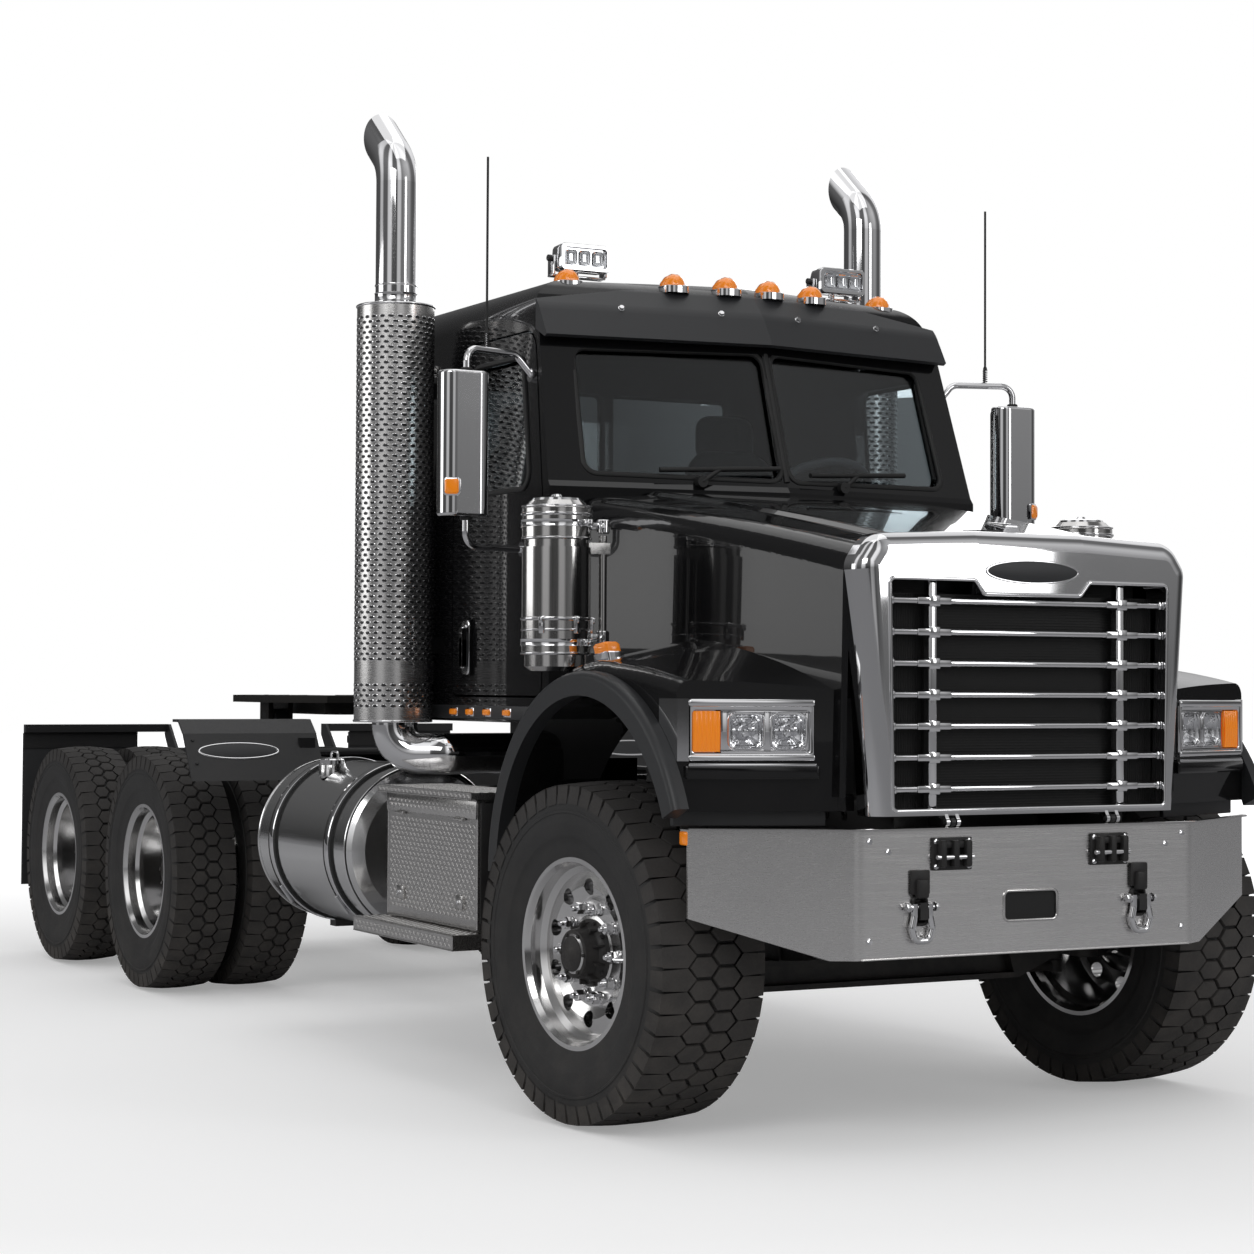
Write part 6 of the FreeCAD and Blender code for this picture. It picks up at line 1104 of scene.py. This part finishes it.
def roof_pieces():
    """Marker lamps with ribbed lenses on bright feet, the work lamps, and the visor's bolts."""
    roof = tree_of("cab_shell")
    places = np.array([struck(roof, (x, AXLE_Y + station, CLEAR_ABOVE), DOWN)[0] for x, station in MARKERS])
    lenses = copies(marker_lens(0.116, 0.044, 0.056), places + [0, -0.004, 0.001])
    feet = copies(dish((-0.050, 0.050, -0.066, 0.070, 0.036, -0.022), (-0.050, 0.050, -0.066, 0.070, 0.036, 0.002),
                       (-0.046, 0.046, -0.062, 0.066, 0.034, 0.005)), places)
    item = piece("roof_markers", "root", "amber_lens", (AMBER, lenses), (CHROME, feet), sides=BOTH)
    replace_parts(item, "cab_lights")

    x, y, z = WORK_LAMP_AT
    shell = tray((0.080, 0.034, 0.030, -0.060), (0.098, 0.047, 0.020, -0.020), (0.100, 0.049, 0.016, 0.048),
                 (0.097, 0.046, 0.015, 0.0545), (0.086, 0.036, 0.012, 0.0545), (0.083, 0.033, 0.011, 0.040))
    cells = [tray((0.022, 0.026, 0.008, 0.040), (0.022, 0.026, 0.008, 0.046), (0.016, 0.020, 0.008, 0.042),
                  (0.006, 0.008, 0.004, 0.041), u=u) for u in (-0.054, 0.0, 0.054)]
    cover = tray((0.083, 0.033, 0.010, 0.0485), (0.083, 0.033, 0.010, 0.0510), (0.070, 0.024, 0.010, 0.0525))
    shell, cover, *cells = (placed(form, WORK_LAMP_AT, ACROSS, UP, AHEAD) for form in (shell, cover, *cells))
    foot, _ = struck(roof, (x, y + 0.030, CLEAR_ABOVE), DOWN)
    post = [(-0.030, 0.030), (0.004, 0.030), (0.010, 0.024), (0.013, 0.012), (0.060, 0.012), (0.060, 0)]
    post = lathe(post, foot, UP, 24)
    yoke = [block(x + s * 0.1045, 0.0035, y - 0.012, y + 0.040, z - 0.060, z + 0.010, 0.003) for s in (-1, 1)]
    yoke.append(block(x, 0.108, y - 0.002, y + 0.042, z - 0.066, z - 0.058, 0.003))
    knobs = [rod((x + s * 0.107, y + 0.012, z), (x + s * 0.122, y + 0.012, z), 0.012, 16, 0.002) for s in (-1, 1)]
    item = piece("work_lamp_units", "root", "chrome", (CHROME, shell, post, *yoke), (REFLECTOR, *cells),
                 (LENS, cover), (PLASTIC, *knobs), sides=BOTH, angle=35)
    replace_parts(item, "work_lights")

    visor = tree_of("sun_visor")
    struck_at = [struck(visor, (x, CLEAR_AHEAD, 2.690), BACK) for x in (0.160, 0.535)]
    heads = [copies(bolt(normal, 0.017, 0.010), spot) for spot, normal in struck_at]
    piece("visor_bolts", "root", "chrome", (CHROME, *heads), sides=BOTH, angle=35)


def mirror_pieces():
    """Two panes in the back of each head, a seam, an amber lamp, arm clamps and a whip aerial on a spring."""
    x, y, low = MIRROR_AT
    high = low + MIRROR_HIGH
    panes = [dish((-0.076, 0.076, v0, v1, 0.018, 0.0), (-0.076, 0.076, v0, v1, 0.018, 0.0025),
                  (-0.074, 0.074, v0 + 0.002, v1 - 0.002, 0.017, 0.003))
             for v0, v1 in ((0.148, 0.480), (0.018, 0.130))]
    bezel = dish((-0.086, 0.086, 0.008, 0.488, 0.020, -0.004), (-0.086, 0.086, 0.008, 0.488, 0.022, 0.0005),
                 (-0.083, 0.083, 0.011, 0.485, 0.022, 0.0012))
    bezel, *panes = (placed(form, (x, y + 0.0335, low), -ACROSS, UP, BACK) for form in (bezel, *panes))
    seam = moulding(upright_loop(y + 0.018, x - 0.0885, x + 0.0885, low + 0.008, high - 0.008, 0.012, 4),
                    [(-0.001, -0.002), (-0.001, 0.001), (0.001, 0.001), (0.001, -0.002)], BACK)
    out = np.array([0.52, -0.854, 0.0])
    lamp = tray((0.024, 0.026, 0.010, 0.0), (0.024, 0.026, 0.010, 0.008), (0.019, 0.021, 0.009, 0.013))
    rim = tray((0.029, 0.031, 0.012, -0.004), (0.029, 0.031, 0.012, 0.004), (0.026, 0.028, 0.011, 0.006))
    lamp, rim = (placed(form, (x + 0.060, y - 0.036, low + 0.098), np.cross(UP, out), UP, out)
                 for form in (lamp, rim))
    mast = np.array([x - 0.103, y + 0.044, high + 0.074])
    t = np.linspace(0, 1, COIL_TURNS * 10)[:, None]
    turn = t * 2 * math.pi * COIL_TURNS
    coil = mast + 0.0075 * (np.cos(turn) * ACROSS + np.sin(turn) * BACK) + (0.018 + 0.050 * t) * UP
    trim = [bezel, seam, tube(coil, 0.0022, 6), rod(mast + UP * 0.066, (*mast[:2], AERIAL_TOP), 0.0042, 10, 0.001),
            lathe([(0, 0), (0, 0.012), (0.014, 0.012), (0.018, 0.008), (0.018, 0)], mast, UP, 18),
            lathe([(0, 0), (0, 0.008), (0.010, 0.007), (0.014, 0.005), (0.014, 0)], mast + UP * 0.066, UP, 18)]
    trim += [rod((x - 0.008, y, z), (x - 0.008, y, z + 0.014), 0.020, 20, 0.003) for z in (high - 0.002, low - 0.012)]
    for side_name, side in SIDES:
        piece(f"mirror_trim_{side_name}", f"door_{side_name}", "chrome", (MIRROR, *panes), (RUBBER, *trim),
              (AMBER, lamp), (CHROME, rim), sides=(side,), angle=38)


def pad(size, seams, depth, shoulder=0.0):
    """A cushion: a crowned closed form whose sides pull in between its corners. Each point of a box's surface is
    pressed towards a superellipsoid, the top swells by the product of two cosines, and seams sink in as valleys."""
    u, v = np.meshgrid(np.linspace(-1, 1, 30), np.linspace(-1, 1, 30), indexing="ij")
    edge = (1 - np.abs(u) ** 6) ** 0.5 * (1 - np.abs(v) ** 6) ** 0.5
    crown = 0.62 + 0.38 * np.cos(u * math.pi / 2) ** 0.6 * np.cos(v * math.pi / 2) ** 0.6
    channels = np.ones_like(u)
    for count, w in zip(seams, (u, v)):
        along = (w * 0.5 + 0.5) * count
        line = np.abs(along - np.round(along)) / count
        channels = channels - 0.35 * np.exp(-(line / 0.012) ** 2) * (np.abs(w) < 0.92)
    half = np.asarray(size, float) / 2
    narrowed = (1 - 0.14 * v ** 6) * (1 - shoulder * np.clip(v, 0, 1) ** 2)
    x = u * half[0] * (1 - 0.03 * np.cos(v * math.pi / 2)) * narrowed
    y = v * half[1] * (1 - 0.03 * np.cos(u * math.pi / 2)) * (1 - 0.16 * np.abs(u) ** 4)
    high = half[2] * edge * (crown * 0.9 + 0.1 * channels) - depth * (1 - channels) * edge
    return merged(grid(np.stack([x, y, high], -1)), grid(np.stack([x, y, -half[2] * edge * 0.85], -1)[::-1]))


def cabin_pieces():
    """Seats as crowned cushions with seams on their bases, and the dash's binnacle, dials and vents."""
    base = placed(pad((0.475, 0.500, 0.150), (5, 4), 0.012), (0, 1.375, 1.720), ACROSS, (0, 1, 0.04), (0, -0.04, 1))
    back = placed(pad((0.480, 0.610, 0.125), (5, 5), 0.012, 0.22), (0, 1.662, 2.010), ACROSS, (0, 0.17, 0.985),
                  (0, -0.985, 0.17))
    head = placed(pad((0.270, 0.185, 0.085), (3, 2), 0.010, 0.10), (0, 1.738, 2.350), ACROSS, (0, 0.05, 1),
                  (0, -1, 0.05))
    frames = [block(0, 0.200, 1.190, 1.600, 1.285, 1.655, 0.030, 3),
              block(0, 0.165, 1.690, 1.765, 1.720, 2.230, 0.034, 4)]
    posts = [rod((x, 1.735, 2.230), (x, 1.742, 2.330), 0.007, 12) for x in (-0.070, 0.070)]
    for side_name, side in SIDES:
        soft, held, bright = (copies(merged(*forms), (side * 0.430, AXLE_Y, 0))
                              for forms in ((base, back, head), frames, posts))
        item = piece(f"cushions_{side_name}", "root", "seat_cover", (WOVEN_COVER, soft), angle=70)
        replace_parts(item, "seats")
        piece(f"cushion_bases_{side_name}", "root", "interior_grey", (CABIN, held), (CHROME, bright))
    y = CAB_FRONT + 0.365
    hood = soft_box((0.230, y - 0.120, 2.010), (0.630, y + 0.060, 2.062), 0.024, 4)
    rim = [(0, 0.030), (0.010, 0.034), (0.010, 0.029), (0.004, 0.027)]
    face = [(0.003, 0.0), (0.003, 0.0275), (0.001, 0.0275)]
    rims, faces = ([lathe(profile, (x, y + 0.034, 1.985), (0, 1, 0.25), 28) for x in (0.305, 0.385, 0.475, 0.555)]
                   for profile in (rim, face))
    vents = [block(x, 0.050, y + 0.020, y + 0.042, 1.890, 1.950, 0.006) for x in (-0.560, -0.120, 0.120, 0.680)]
    piece("dash_details", "root", "interior_grey", (CABIN, hood, *vents), (CHROME, *rims), (DARK_METAL, *faces))


# Sides

STACK_AT = np.array([1.032, AXLE_Y + 1.655, 0.0])
STACK_RADIUS = 0.076
SHIELD_RADIUS = 0.143
SHIELD_LOW, SHIELD_HIGH = 1.227, 2.766
SHIELD_BRACKET = (1.375, 1.445)
SLOT_ROW, SLOT_COLUMN = 0.0190, 0.033
SLOT_MOUTH, SLOT_LIP = (0.0098, 0.0050), (0.0128, 0.0076)
CANISTER_AT = np.array([1.060, AXLE_Y + 0.270, 0.0])
CANISTER_RADIUS = 0.112
CANISTER_BEADS = [(1.468, 0.009, 0.004), (1.544, 0.007, 0.003), (1.579, 0.012, 0.005), (1.838, 0.008, 0.003),
                  (1.915, 0.012, 0.005), (1.941, 0.007, 0.003)]
POST_AT = np.array([0.914, AXLE_Y + 0.225, 0.0])
LUG_PITCH = 0.0172
LUG_LEAN = math.radians(45)
STEP_FRONT, STEP_REAR = AXLE_Y + 0.765, AXLE_Y + 1.530
STEP_HALF = 1.100
TANK_AT = np.array([0.830, 0.0, 0.745])
TANK_FRONT, TANK_REAR = AXLE_Y + 1.800, AXLE_Y + 2.760
TANK_RADIUS = 0.317
STRAPS = (-0.600, -0.020)
STRAP_BOLT = math.radians(-38)
FILLER = (0.980, -0.220)


def slots_round(centre, radius, low, high, plain):
    """Rows of pressed slots round an upright tube: even rows sit half a pitch round from the odd ones, and a plain
    band is left free. Each slot is an oval laid on the tube with a raised lip."""
    rows = np.arange(low, high, SLOT_ROW)
    count = int(round(2 * math.pi * radius / SLOT_COLUMN))
    row, column = np.meshgrid(np.arange(len(rows)), np.arange(count), indexing="ij")
    angle, level = (column + 0.5 * (row % 2)) * 2 * math.pi / count, rows[row]
    keep = (level < plain[0]) | (level > plain[1])
    angle, level = angle[keep][:, None], level[keep][:, None]
    turn = circle(8) + math.pi / 8

    def ring(half_along, half_up, proud):
        a = angle + half_along * np.cos(turn) / radius
        r = radius + proud
        return np.stack([centre[0] + r * np.cos(a), centre[1] + r * np.sin(a), level + half_up * np.sin(turn)],
                        -1).reshape(-1, 3)

    start = np.arange(len(angle))[:, None] * 8
    this, after = start + np.arange(8), start + (np.arange(8) + 1) % 8
    shift = len(angle) * 8
    lip = np.stack([this, after, after + shift, this + shift], -1).reshape(-1, 4)
    return ((ring(*SLOT_MOUTH, 0.0009), [this]),
            (np.concatenate([ring(*SLOT_LIP, -0.0004), ring(*SLOT_MOUTH, 0.0010)]), [lip]))


def ring_bead(centre, radius, z, high, proud):
    """A half-round bead round an upright tube."""
    half = [(-0.5, -0.002), (-0.5, 0.0), (-0.25, proud * 0.87), (0.0, proud)]
    profile = [(share * high, radius + r) for share, r in half + [(-share, r) for share, r in half[-2::-1]]]
    return lathe(profile, (*centre[:2], z), UP, 72)


def band_clamp(centre, radius, z, high, towards):
    """A flat band with turned edges, and its bolted ears towards one side."""
    half = [(high / 2, radius - 0.002), (high / 2, radius + 0.004), (high / 2 - 0.003, radius + 0.0025)]
    spot = np.array([*centre[:2], z])
    towards = np.asarray(towards, float)
    across = np.cross(UP, towards)
    ear = block(0, 0.003, -high / 2, high / 2, -0.014, 0.014, 0.002)
    bar_at = spot + towards * (radius + 0.016)
    ears = [placed(ear, spot + towards * (radius + 0.012) + across * s * 0.009, across, UP, towards) for s in (-1, 1)]
    return merged(lathe([(-a, r) for a, r in half] + half[::-1], spot, UP, 72), *ears,
                  rod(bar_at - across * 0.024, bar_at + across * 0.024, 0.0042, 10, 0.001),
                  copies(bolt(across, 0.013, 0.007), bar_at + across * 0.012))


def shield_pieces():
    """The heat shields' pressed slots between plain bands, their rolled ends, and the stacks' clamps."""
    dark, lip = slots_round(STACK_AT, SHIELD_RADIUS, SHIELD_LOW + 0.060, SHIELD_HIGH - 0.040, SHIELD_BRACKET)
    ends = [ring_bead(STACK_AT, SHIELD_RADIUS, z, 0.010, 0.004) for z in (SHIELD_LOW + 0.005, SHIELD_HIGH - 0.005)]
    # The slots' mouths are dark ovals laid on the shield's skin: painted shade in place of the openings.
    piece("shield_slots", "root", "stainless", (CHASSIS, dark), (CHROME, lip, *ends), sides=BOTH, angle=60)
    piece("stack_clamps", "root", "chrome",
          (CHROME, band_clamp(STACK_AT, STACK_RADIUS, SHIELD_HIGH + 0.030, 0.030, BACK),
           ring_bead(STACK_AT, STACK_RADIUS, SHIELD_HIGH + 0.075, 0.008, 0.003)), sides=BOTH)


def canister_pieces():
    """Beads, band clamps, latches and a cap on each air cleaner, the clamps to its post, and the fender's marker."""
    x, y, _ = CANISTER_AT
    r = CANISTER_RADIUS
    forms = [ring_bead(CANISTER_AT, r, *bead_at) for bead_at in CANISTER_BEADS]
    forms += [band_clamp(CANISTER_AT, r + 0.001, z, 0.022, (-0.42, -0.907, 0)) for z in (1.503, 1.886)]
    latch = merged(block(0, 0.009, -0.030, 0.026, -0.004, 0.006, 0.003),
                   block(0, 0.007, 0.004, 0.024, 0.004, 0.012, 0.003))
    for angle in np.radians([-160.0, -100.0, -40.0]):
        out = np.array([math.cos(angle), math.sin(angle), 0.0])
        forms.append(placed(latch, (x, y, 1.561) + out * (r + 0.003), np.cross(UP, out), UP, out))
    cap = [(0.0, r - 0.030), (0.008, r - 0.034), (0.011, r - 0.050), (0.014, 0.020), (0.022, 0.014), (0.024, 0.0)]
    forms.append(lathe(cap, (x, y, 1.960), UP, 72))
    for z in (1.520, 1.880):
        spot = POST_AT + UP * z
        forms += [rod(spot - UP * 0.022, spot + UP * 0.022, 0.022, 20, 0.003),
                  soft_box(spot + [0, -0.010, -0.012], (x - r + 0.012, spot[1] + 0.014, z + 0.012)),
                  copies(bolt(AHEAD, 0.014, 0.008), spot + [0.012, -0.020, 0])]
    piece("canister_bands", "hood", "chrome", (CHROME, *forms), sides=BOTH, angle=35)
    spot, normal = struck(tree_of("fenders"), (0.985, AXLE_Y + 0.045, 2.0), DOWN)
    base = tray((0.034, 0.052, 0.014, -0.020), (0.034, 0.052, 0.016, 0.012), (0.030, 0.048, 0.014, 0.016))
    lens = [tray((0.027, 0.046, 0.012, 0.012), (0.027, 0.046, 0.012, 0.040), (0.022, 0.041, 0.010, 0.047),
                 (0.008, 0.030, 0.006, 0.049))]
    lens += [block(0, 0.0275, v - 0.0022, v + 0.0022, 0.016, 0.0415, 0.002) for v in np.linspace(-0.036, 0.036, 7)]
    base, *lens = (placed(form, spot, ACROSS, np.cross(normal, ACROSS), normal) for form in (base, *lens))
    piece("fender_markers", "hood", "amber_lens", (AMBER, *lens), (CHROME, base), sides=BOTH)


def lugs(origin, u, v, n, long, wide):
    """A tread plate's lugs on a face: lens shapes, each a ridge over an eight-sided foot, that lean by turns to the
    left and to the right both along a row and from row to row."""
    rows, columns = max(1, int((wide - 0.004) / LUG_PITCH)), int((long - 0.012) / LUG_PITCH)
    row, column = (index.reshape(-1, 1) for index in np.meshgrid(np.arange(rows), np.arange(columns), indexing="ij"))
    a = (column - (columns - 1) / 2) * LUG_PITCH + long / 2
    b = (row - (rows - 1) / 2) * LUG_PITCH + wide / 2
    lean = np.where((row + column) % 2 == 0, LUG_LEAN, -LUG_LEAN)
    turn = circle(8)
    along = np.append(0.0100 * np.cos(turn), [-0.0060, 0.0060])
    aside = np.append(0.0032 * np.sin(turn), [0.0, 0.0])
    high = np.append(np.full(8, -0.0004), [0.0021, 0.0021])
    cos, sin = np.cos(lean), np.sin(lean)
    points = np.stack([a + along * cos - aside * sin, b + along * sin + aside * cos, high + 0 * a], -1)
    three = np.array([[0, 1, 9], [7, 0, 9], [3, 4, 8], [4, 5, 8], [2, 3, 8], [5, 6, 8]])
    four = np.array([[1, 2, 8, 9], [6, 7, 9, 8]])
    return placed((points.reshape(-1, 3), repeated([three, four], len(a), 10)), origin, u, v, n)


def step_pieces():
    """Tread plate on the boxes' sides and tops and on the low treads, with rolled lips, seams, hinges and bolts."""
    front, rear, half = STEP_FRONT, STEP_REAR, STEP_HALF
    long = rear - front
    upright, level = (BACK, UP, ACROSS), (BACK, ACROSS, UP)
    forms = [lugs(origin, *axes, long + more, wide) for origin, axes, more, wide in (
        ((half, front + 0.014, 0.560), upright, -0.028, 0.345),
        ((half + 0.0352, front - 0.012, 0.9805), upright, 0.024, 0.021),
        ((half + 0.008, front + 0.010, 0.918), upright, -0.020, 0.055),
        ((1.195, front - 0.004, 0.480), upright, 0.088, 0.040),
        ((0.850, front - 0.012, 1.002), level, 0.024, 0.275), ((0.920, front - 0.004, 0.526), level, 0.088, 0.262))]
    forms.append(soft_box((half - 0.004, front + 0.002, 0.912), (half + 0.008, rear - 0.002, 0.979)))
    seam = half - 0.0005
    forms += [bead(start, end, ACROSS, width, 0.003) for start, end, width in (
        ((1.134, front - 0.018, 1.0015), (1.134, rear + 0.018, 1.0015), 0.006),
        ((1.134, front - 0.018, 0.9805), (1.134, rear + 0.018, 0.9805), 0.006),
        ((1.1945, front - 0.008, 0.476), (1.1945, rear + 0.088, 0.476), 0.006),
        ((1.1945, front - 0.008, 0.524), (1.1945, rear + 0.088, 0.524), 0.006),
        ((seam, front + 0.004, 0.540), (seam, front + 0.004, 0.912), 0.009),
        ((seam, rear - 0.004, 0.540), (seam, rear - 0.004, 0.912), 0.009),
        ((seam, front + 0.004, 0.540), (seam, rear - 0.004, 0.540), 0.009))]
    hinges = (front + 0.130, rear - 0.130)
    for y in hinges:
        forms += [rod((half + 0.010, y - 0.035, 0.908), (half + 0.010, y + 0.035, 0.908), 0.0065, 12, 0.001),
                  soft_box((half - 0.002, y - 0.028, 0.600), (half + 0.010, y + 0.028, 0.648))]
    heads = copies(bolt(ACROSS, 0.014, 0.008), [(half + 0.009, y, 0.624) for y in hinges])
    dark = soft_box((0.905, front - 0.0075, 0.560), (1.092, front - 0.0005, 0.968), 0.003)
    piece("step_plates", "root", "tread_plate", (TREAD_METAL, *forms), (CHROME, heads), (CHASSIS, dark),
          sides=BOTH, angle=30)


def tank_pieces():
    """Rolled end seams, bright strap bands over rubber, T-bolts, a fluted cap with its lever and a drain plug."""
    r = TANK_RADIUS

    def around(stations, *half):
        """A ring at each station, of a section that is the same to both sides, from the tank's skin out."""
        profile = [(-a, r + b) for a, b in half] + [(a, r + b) for a, b in half[::-1]]
        return [lathe(profile, TANK_AT + BACK * y, BACK, 96) for y in stations]

    seams = [lathe([(-0.006, r - 0.002), (-0.006, r + 0.002), (-0.002, r + 0.0045), (0.003, r + 0.0045),
                    (0.006, r + 0.002), (0.006, r - 0.002)], TANK_AT + BACK * y, BACK, 96)
             for y in (TANK_FRONT + 0.030, TANK_REAR - 0.030)]
    bright = around(STRAPS, (0.024, 0.005), (0.024, 0.0105), (0.021, 0.0125))
    for y in STRAPS:
        spot = TANK_AT + BACK * y + (r + 0.018) * np.array([math.cos(STRAP_BOLT), 0, math.sin(STRAP_BOLT)])
        bright.append(rod(spot - [0.030, 0, 0.040], spot + [0.020, 0, 0.028], 0.007, 12, 0.001))
    top, _ = struck(tree_of("fuel_tanks"), (*FILLER, 1.3), DOWN)
    filler = np.array([*FILLER, top[2]])
    turn = circle(48)
    outline = (0.046 + 0.0016 * np.sign(np.cos(12 * turn)))[:, None] * np.column_stack([np.cos(turn), np.sin(turn)])
    cap = copies(stacked([outline, outline, outline * 0.90], [-0.012, 0.014, 0.019]), filler)
    neck = lathe([(-0.050, 0.052), (-0.006, 0.052), (-0.002, 0.050), (-0.002, 0.040)], filler, UP)
    lever = ((-0.034, 0.014), (-0.034, 0.046), (0.034, 0.046), (0.034, 0.014))
    lever = tube(bent_path([filler + [-0.010, y, z] for y, z in lever], 0.018, 6), 0.0048, 10, ACROSS)
    drain = lathe([(0, 0.020), (-0.008, 0.020), (-0.010, 0.012), (-0.024, 0.012), (-0.024, 0)],
                  TANK_AT + [0, TANK_FRONT + 0.480, 0.002 - r], UP, 20)
    piece("tank_bands", "root", "stainless", (CHROME, *bright, cap, lever, drain),
          (RUBBER, *around(STRAPS, (0.036, -0.002), (0.036, 0.0075))), (ALUMINIUM, *seams, neck),
          sides=BOTH, angle=35)


# Rear and frame

GUARD_NORMAL = np.array([0, -0.848, 0.530])
GUARD_UP = np.array([0, 0.530, 0.848])
GUARD_MIDDLE = np.array([0.960, 0.892, 1.078])
RAIL_BOLT_STATIONS = (-3.05, -2.95, -2.10, -2.00, -1.35, -0.70, -0.10, 0.35, 0.75, 1.00, 1.95, 2.17, 2.39, 3.05, 3.16)
RAIL_BOLT_LEVELS = (0.830, 0.900, 0.970)
COUPLING_Y = 2.090
COUPLING_TOP = 1.3102
COUPLING_BOLTS = ((0.300, 2.330), (0.360, 2.190), (0.330, 1.900), (0.200, 1.800))
HANDLE_HIGH = 1.262
SWAGE_LEVELS = (1.420, 1.560, 1.700, 1.840, 1.980)


def tail_pieces():
    """Round tail lamps in rubber rings and a bare plate holder on the tail panel."""
    panel = tree_of("tail_bar")
    spots = [struck(panel, (x, CLEAR_BEHIND, 0.900), AHEAD)[0] for x in (0.215, 0.345)]
    lens = [(0.002, 0.050), (0.012, 0.050), (0.018, 0.044), (0.020, 0.030), (0.016, 0.026), (0.020, 0.020),
            (0.021, 0)]
    ring = [(-0.004, 0.050), (0.006, 0.060), (0.012, 0.058), (0.014, 0.052), (0.012, 0.050)]
    y = struck(panel, (0.0, CLEAR_BEHIND, 0.900), AHEAD)[0][1]
    screws = copies(bolt(BACK, 0.010, 0.005), [(x, y + 0.005, z) for x in (-0.09, 0.09) for z in (0.850, 0.950)])
    piece("tail_lamps", "root", "amber_lens", (RED, *[both(lathe(lens, spot, BACK, 40)) for spot in spots]),
          (RUBBER, *[both(lathe(ring, spot, BACK, 40)) for spot in spots]),
          (STAINLESS, block(0, 0.155, y - 0.002, y + 0.005, 0.822, 0.978, 0.004, 3)), (CHROME, screws))


def flap_pieces():
    """A folded weight strip, a bolted top clamp and moulded ribs on the back of each mud flap."""
    flap = tree_of("mud_flaps")
    ribs = []
    for x in np.linspace(0.640, 1.120, 7):
        y = struck(flap, (x, CLEAR_BEHIND, 0.700), AHEAD)[0][1] - 0.0005
        ribs.append(bead((x, y, 0.430), (x, y, 1.020), BACK, 0.020, 0.005, 6))
    low, top = (struck(flap, (0.880, CLEAR_BEHIND, z), AHEAD)[0][1] for z in (0.370, 1.060))
    strips = [soft_box((0.600, low - 0.002, 0.345), (1.165, low + 0.006, 0.395), 0.003),
              soft_box((0.590, top - 0.002, 1.045), (1.175, top + 0.008, 1.085), 0.003)]
    heads = [(x, *spot) for x in np.linspace(0.640, 1.130, 5)
             for spot in ((top + 0.008, 1.065), (low + 0.006, 0.370))]
    piece("flap_trim", "root", "rubber", (RUBBER, *ribs), (STAINLESS, *strips),
          (CHROME, copies(bolt(BACK, 0.014, 0.007), heads)), sides=BOTH)


def guard_pieces():
    """The bare oval on each quarter fender's sloping face, and the bolts that hold the panel."""
    spot, _ = struck(tree_of("quarter_fenders"), GUARD_MIDDLE + GUARD_NORMAL * 0.5, -GUARD_NORMAL)
    plate, rim = (placed(form, spot, ACROSS, GUARD_UP, GUARD_NORMAL) for form in oval(0.180, 0.038, 0.004, 0.010))
    heads = [spot + ACROSS * u + GUARD_UP * v for u in (-0.330, 0.200) for v in (-0.060, 0.055)]
    piece("fender_ovals", "root", "chrome", (CHROME, rim), (PLASTIC, plate),
          (CHASSIS, copies(bolt(GUARD_NORMAL, 0.013, 0.006), heads)), sides=BOTH)


def frame_bolt_pieces():
    """Bolt heads with washers in threes where hangers, crossmembers and brackets meet the rails."""
    rails = tree_of("frame_rails")
    places = []
    for y in RAIL_BOLT_STATIONS:
        for z in RAIL_BOLT_LEVELS:
            spot, normal = struck(rails, (CLEAR_ASIDE, y, z), -ACROSS)
            if spot is not None and abs(normal[0]) > 0.95:
                places.append(spot)
    washer = lathe([(0, 0.0), (0, 0.018), (0.003, 0.018), (0.003, 0.0)], (0, 0, 0), ACROSS, 16)
    head = merged(bolt(ACROSS, 0.024, 0.014), washer)
    piece("frame_bolts", "root", "chassis_black", (CHASSIS, copies(head, places)), sides=BOTH, angle=35)


def coupling_pieces():
    """The fifth wheel's pull handle, its plate's bolts and the grease grooves round the throat."""
    handle = ((0.250, 2.060), (0.520, 2.060), (0.560, 2.020), (0.560, 1.985), (0.530, 1.960))
    handle = tube(bent_path([(x, y, HANDLE_HIGH) for x, y in handle], 0.016, 6), 0.0075, 12)
    plate = tree_of("fifth_wheel_plate")
    head = [(-0.002, 0.014), (0.0012, 0.014), (0.0018, 0.010), (-0.001, 0.006), (-0.001, 0)]
    heads = [both(lathe(head, struck(plate, (x, y, 2.0), DOWN)[0], UP, 18)) for x, y in COUPLING_BOLTS]
    # The grooves are drawn as low dark ridges: their colour is the grease in them, with painted shade in place of
    # their depth.
    turn = np.radians(np.linspace(-60, 60, 25))
    grooves = [moulding(np.column_stack([r * np.cos(turn), COUPLING_Y + r * np.sin(turn), 0 * turn + COUPLING_TOP]),
                        half_round(0.010, 0.0009, 5), UP, closed=False) for r in (0.215, 0.330)]
    piece("coupling_trim", "fifth_wheel", "cast_black", (STAINLESS, handle, *heads),
          (DARK_METAL, both(*grooves)))


def rear_wall_pieces():
    """Pressed swages across the cab's back."""
    y = CAB_BACK - 0.0005
    swages = [bead((-0.640, y, z), (0.640, y, z), BACK, 0.040, 0.007, 8) for z in SWAGE_LEVELS]
    piece("cab_swages", "root", "gloss_black", (PAINT, *swages), angle=50)


front_wheel_pieces()
drive_wheel_pieces()
grille_pieces()
headlamp_pieces()
bumper_pieces()
window_pieces()
door_pieces()
roof_pieces()
mirror_pieces()
cabin_pieces()
shield_pieces()
canister_pieces()
step_pieces()
tank_pieces()
tail_pieces()
flap_pieces()
guard_pieces()
frame_bolt_pieces()
coupling_pieces()
rear_wall_pieces()
finish_nodes()
make_camera()
make_floor()
make_world()
make_lamps()
bpy.context.scene.view_settings.view_transform = "Standard"
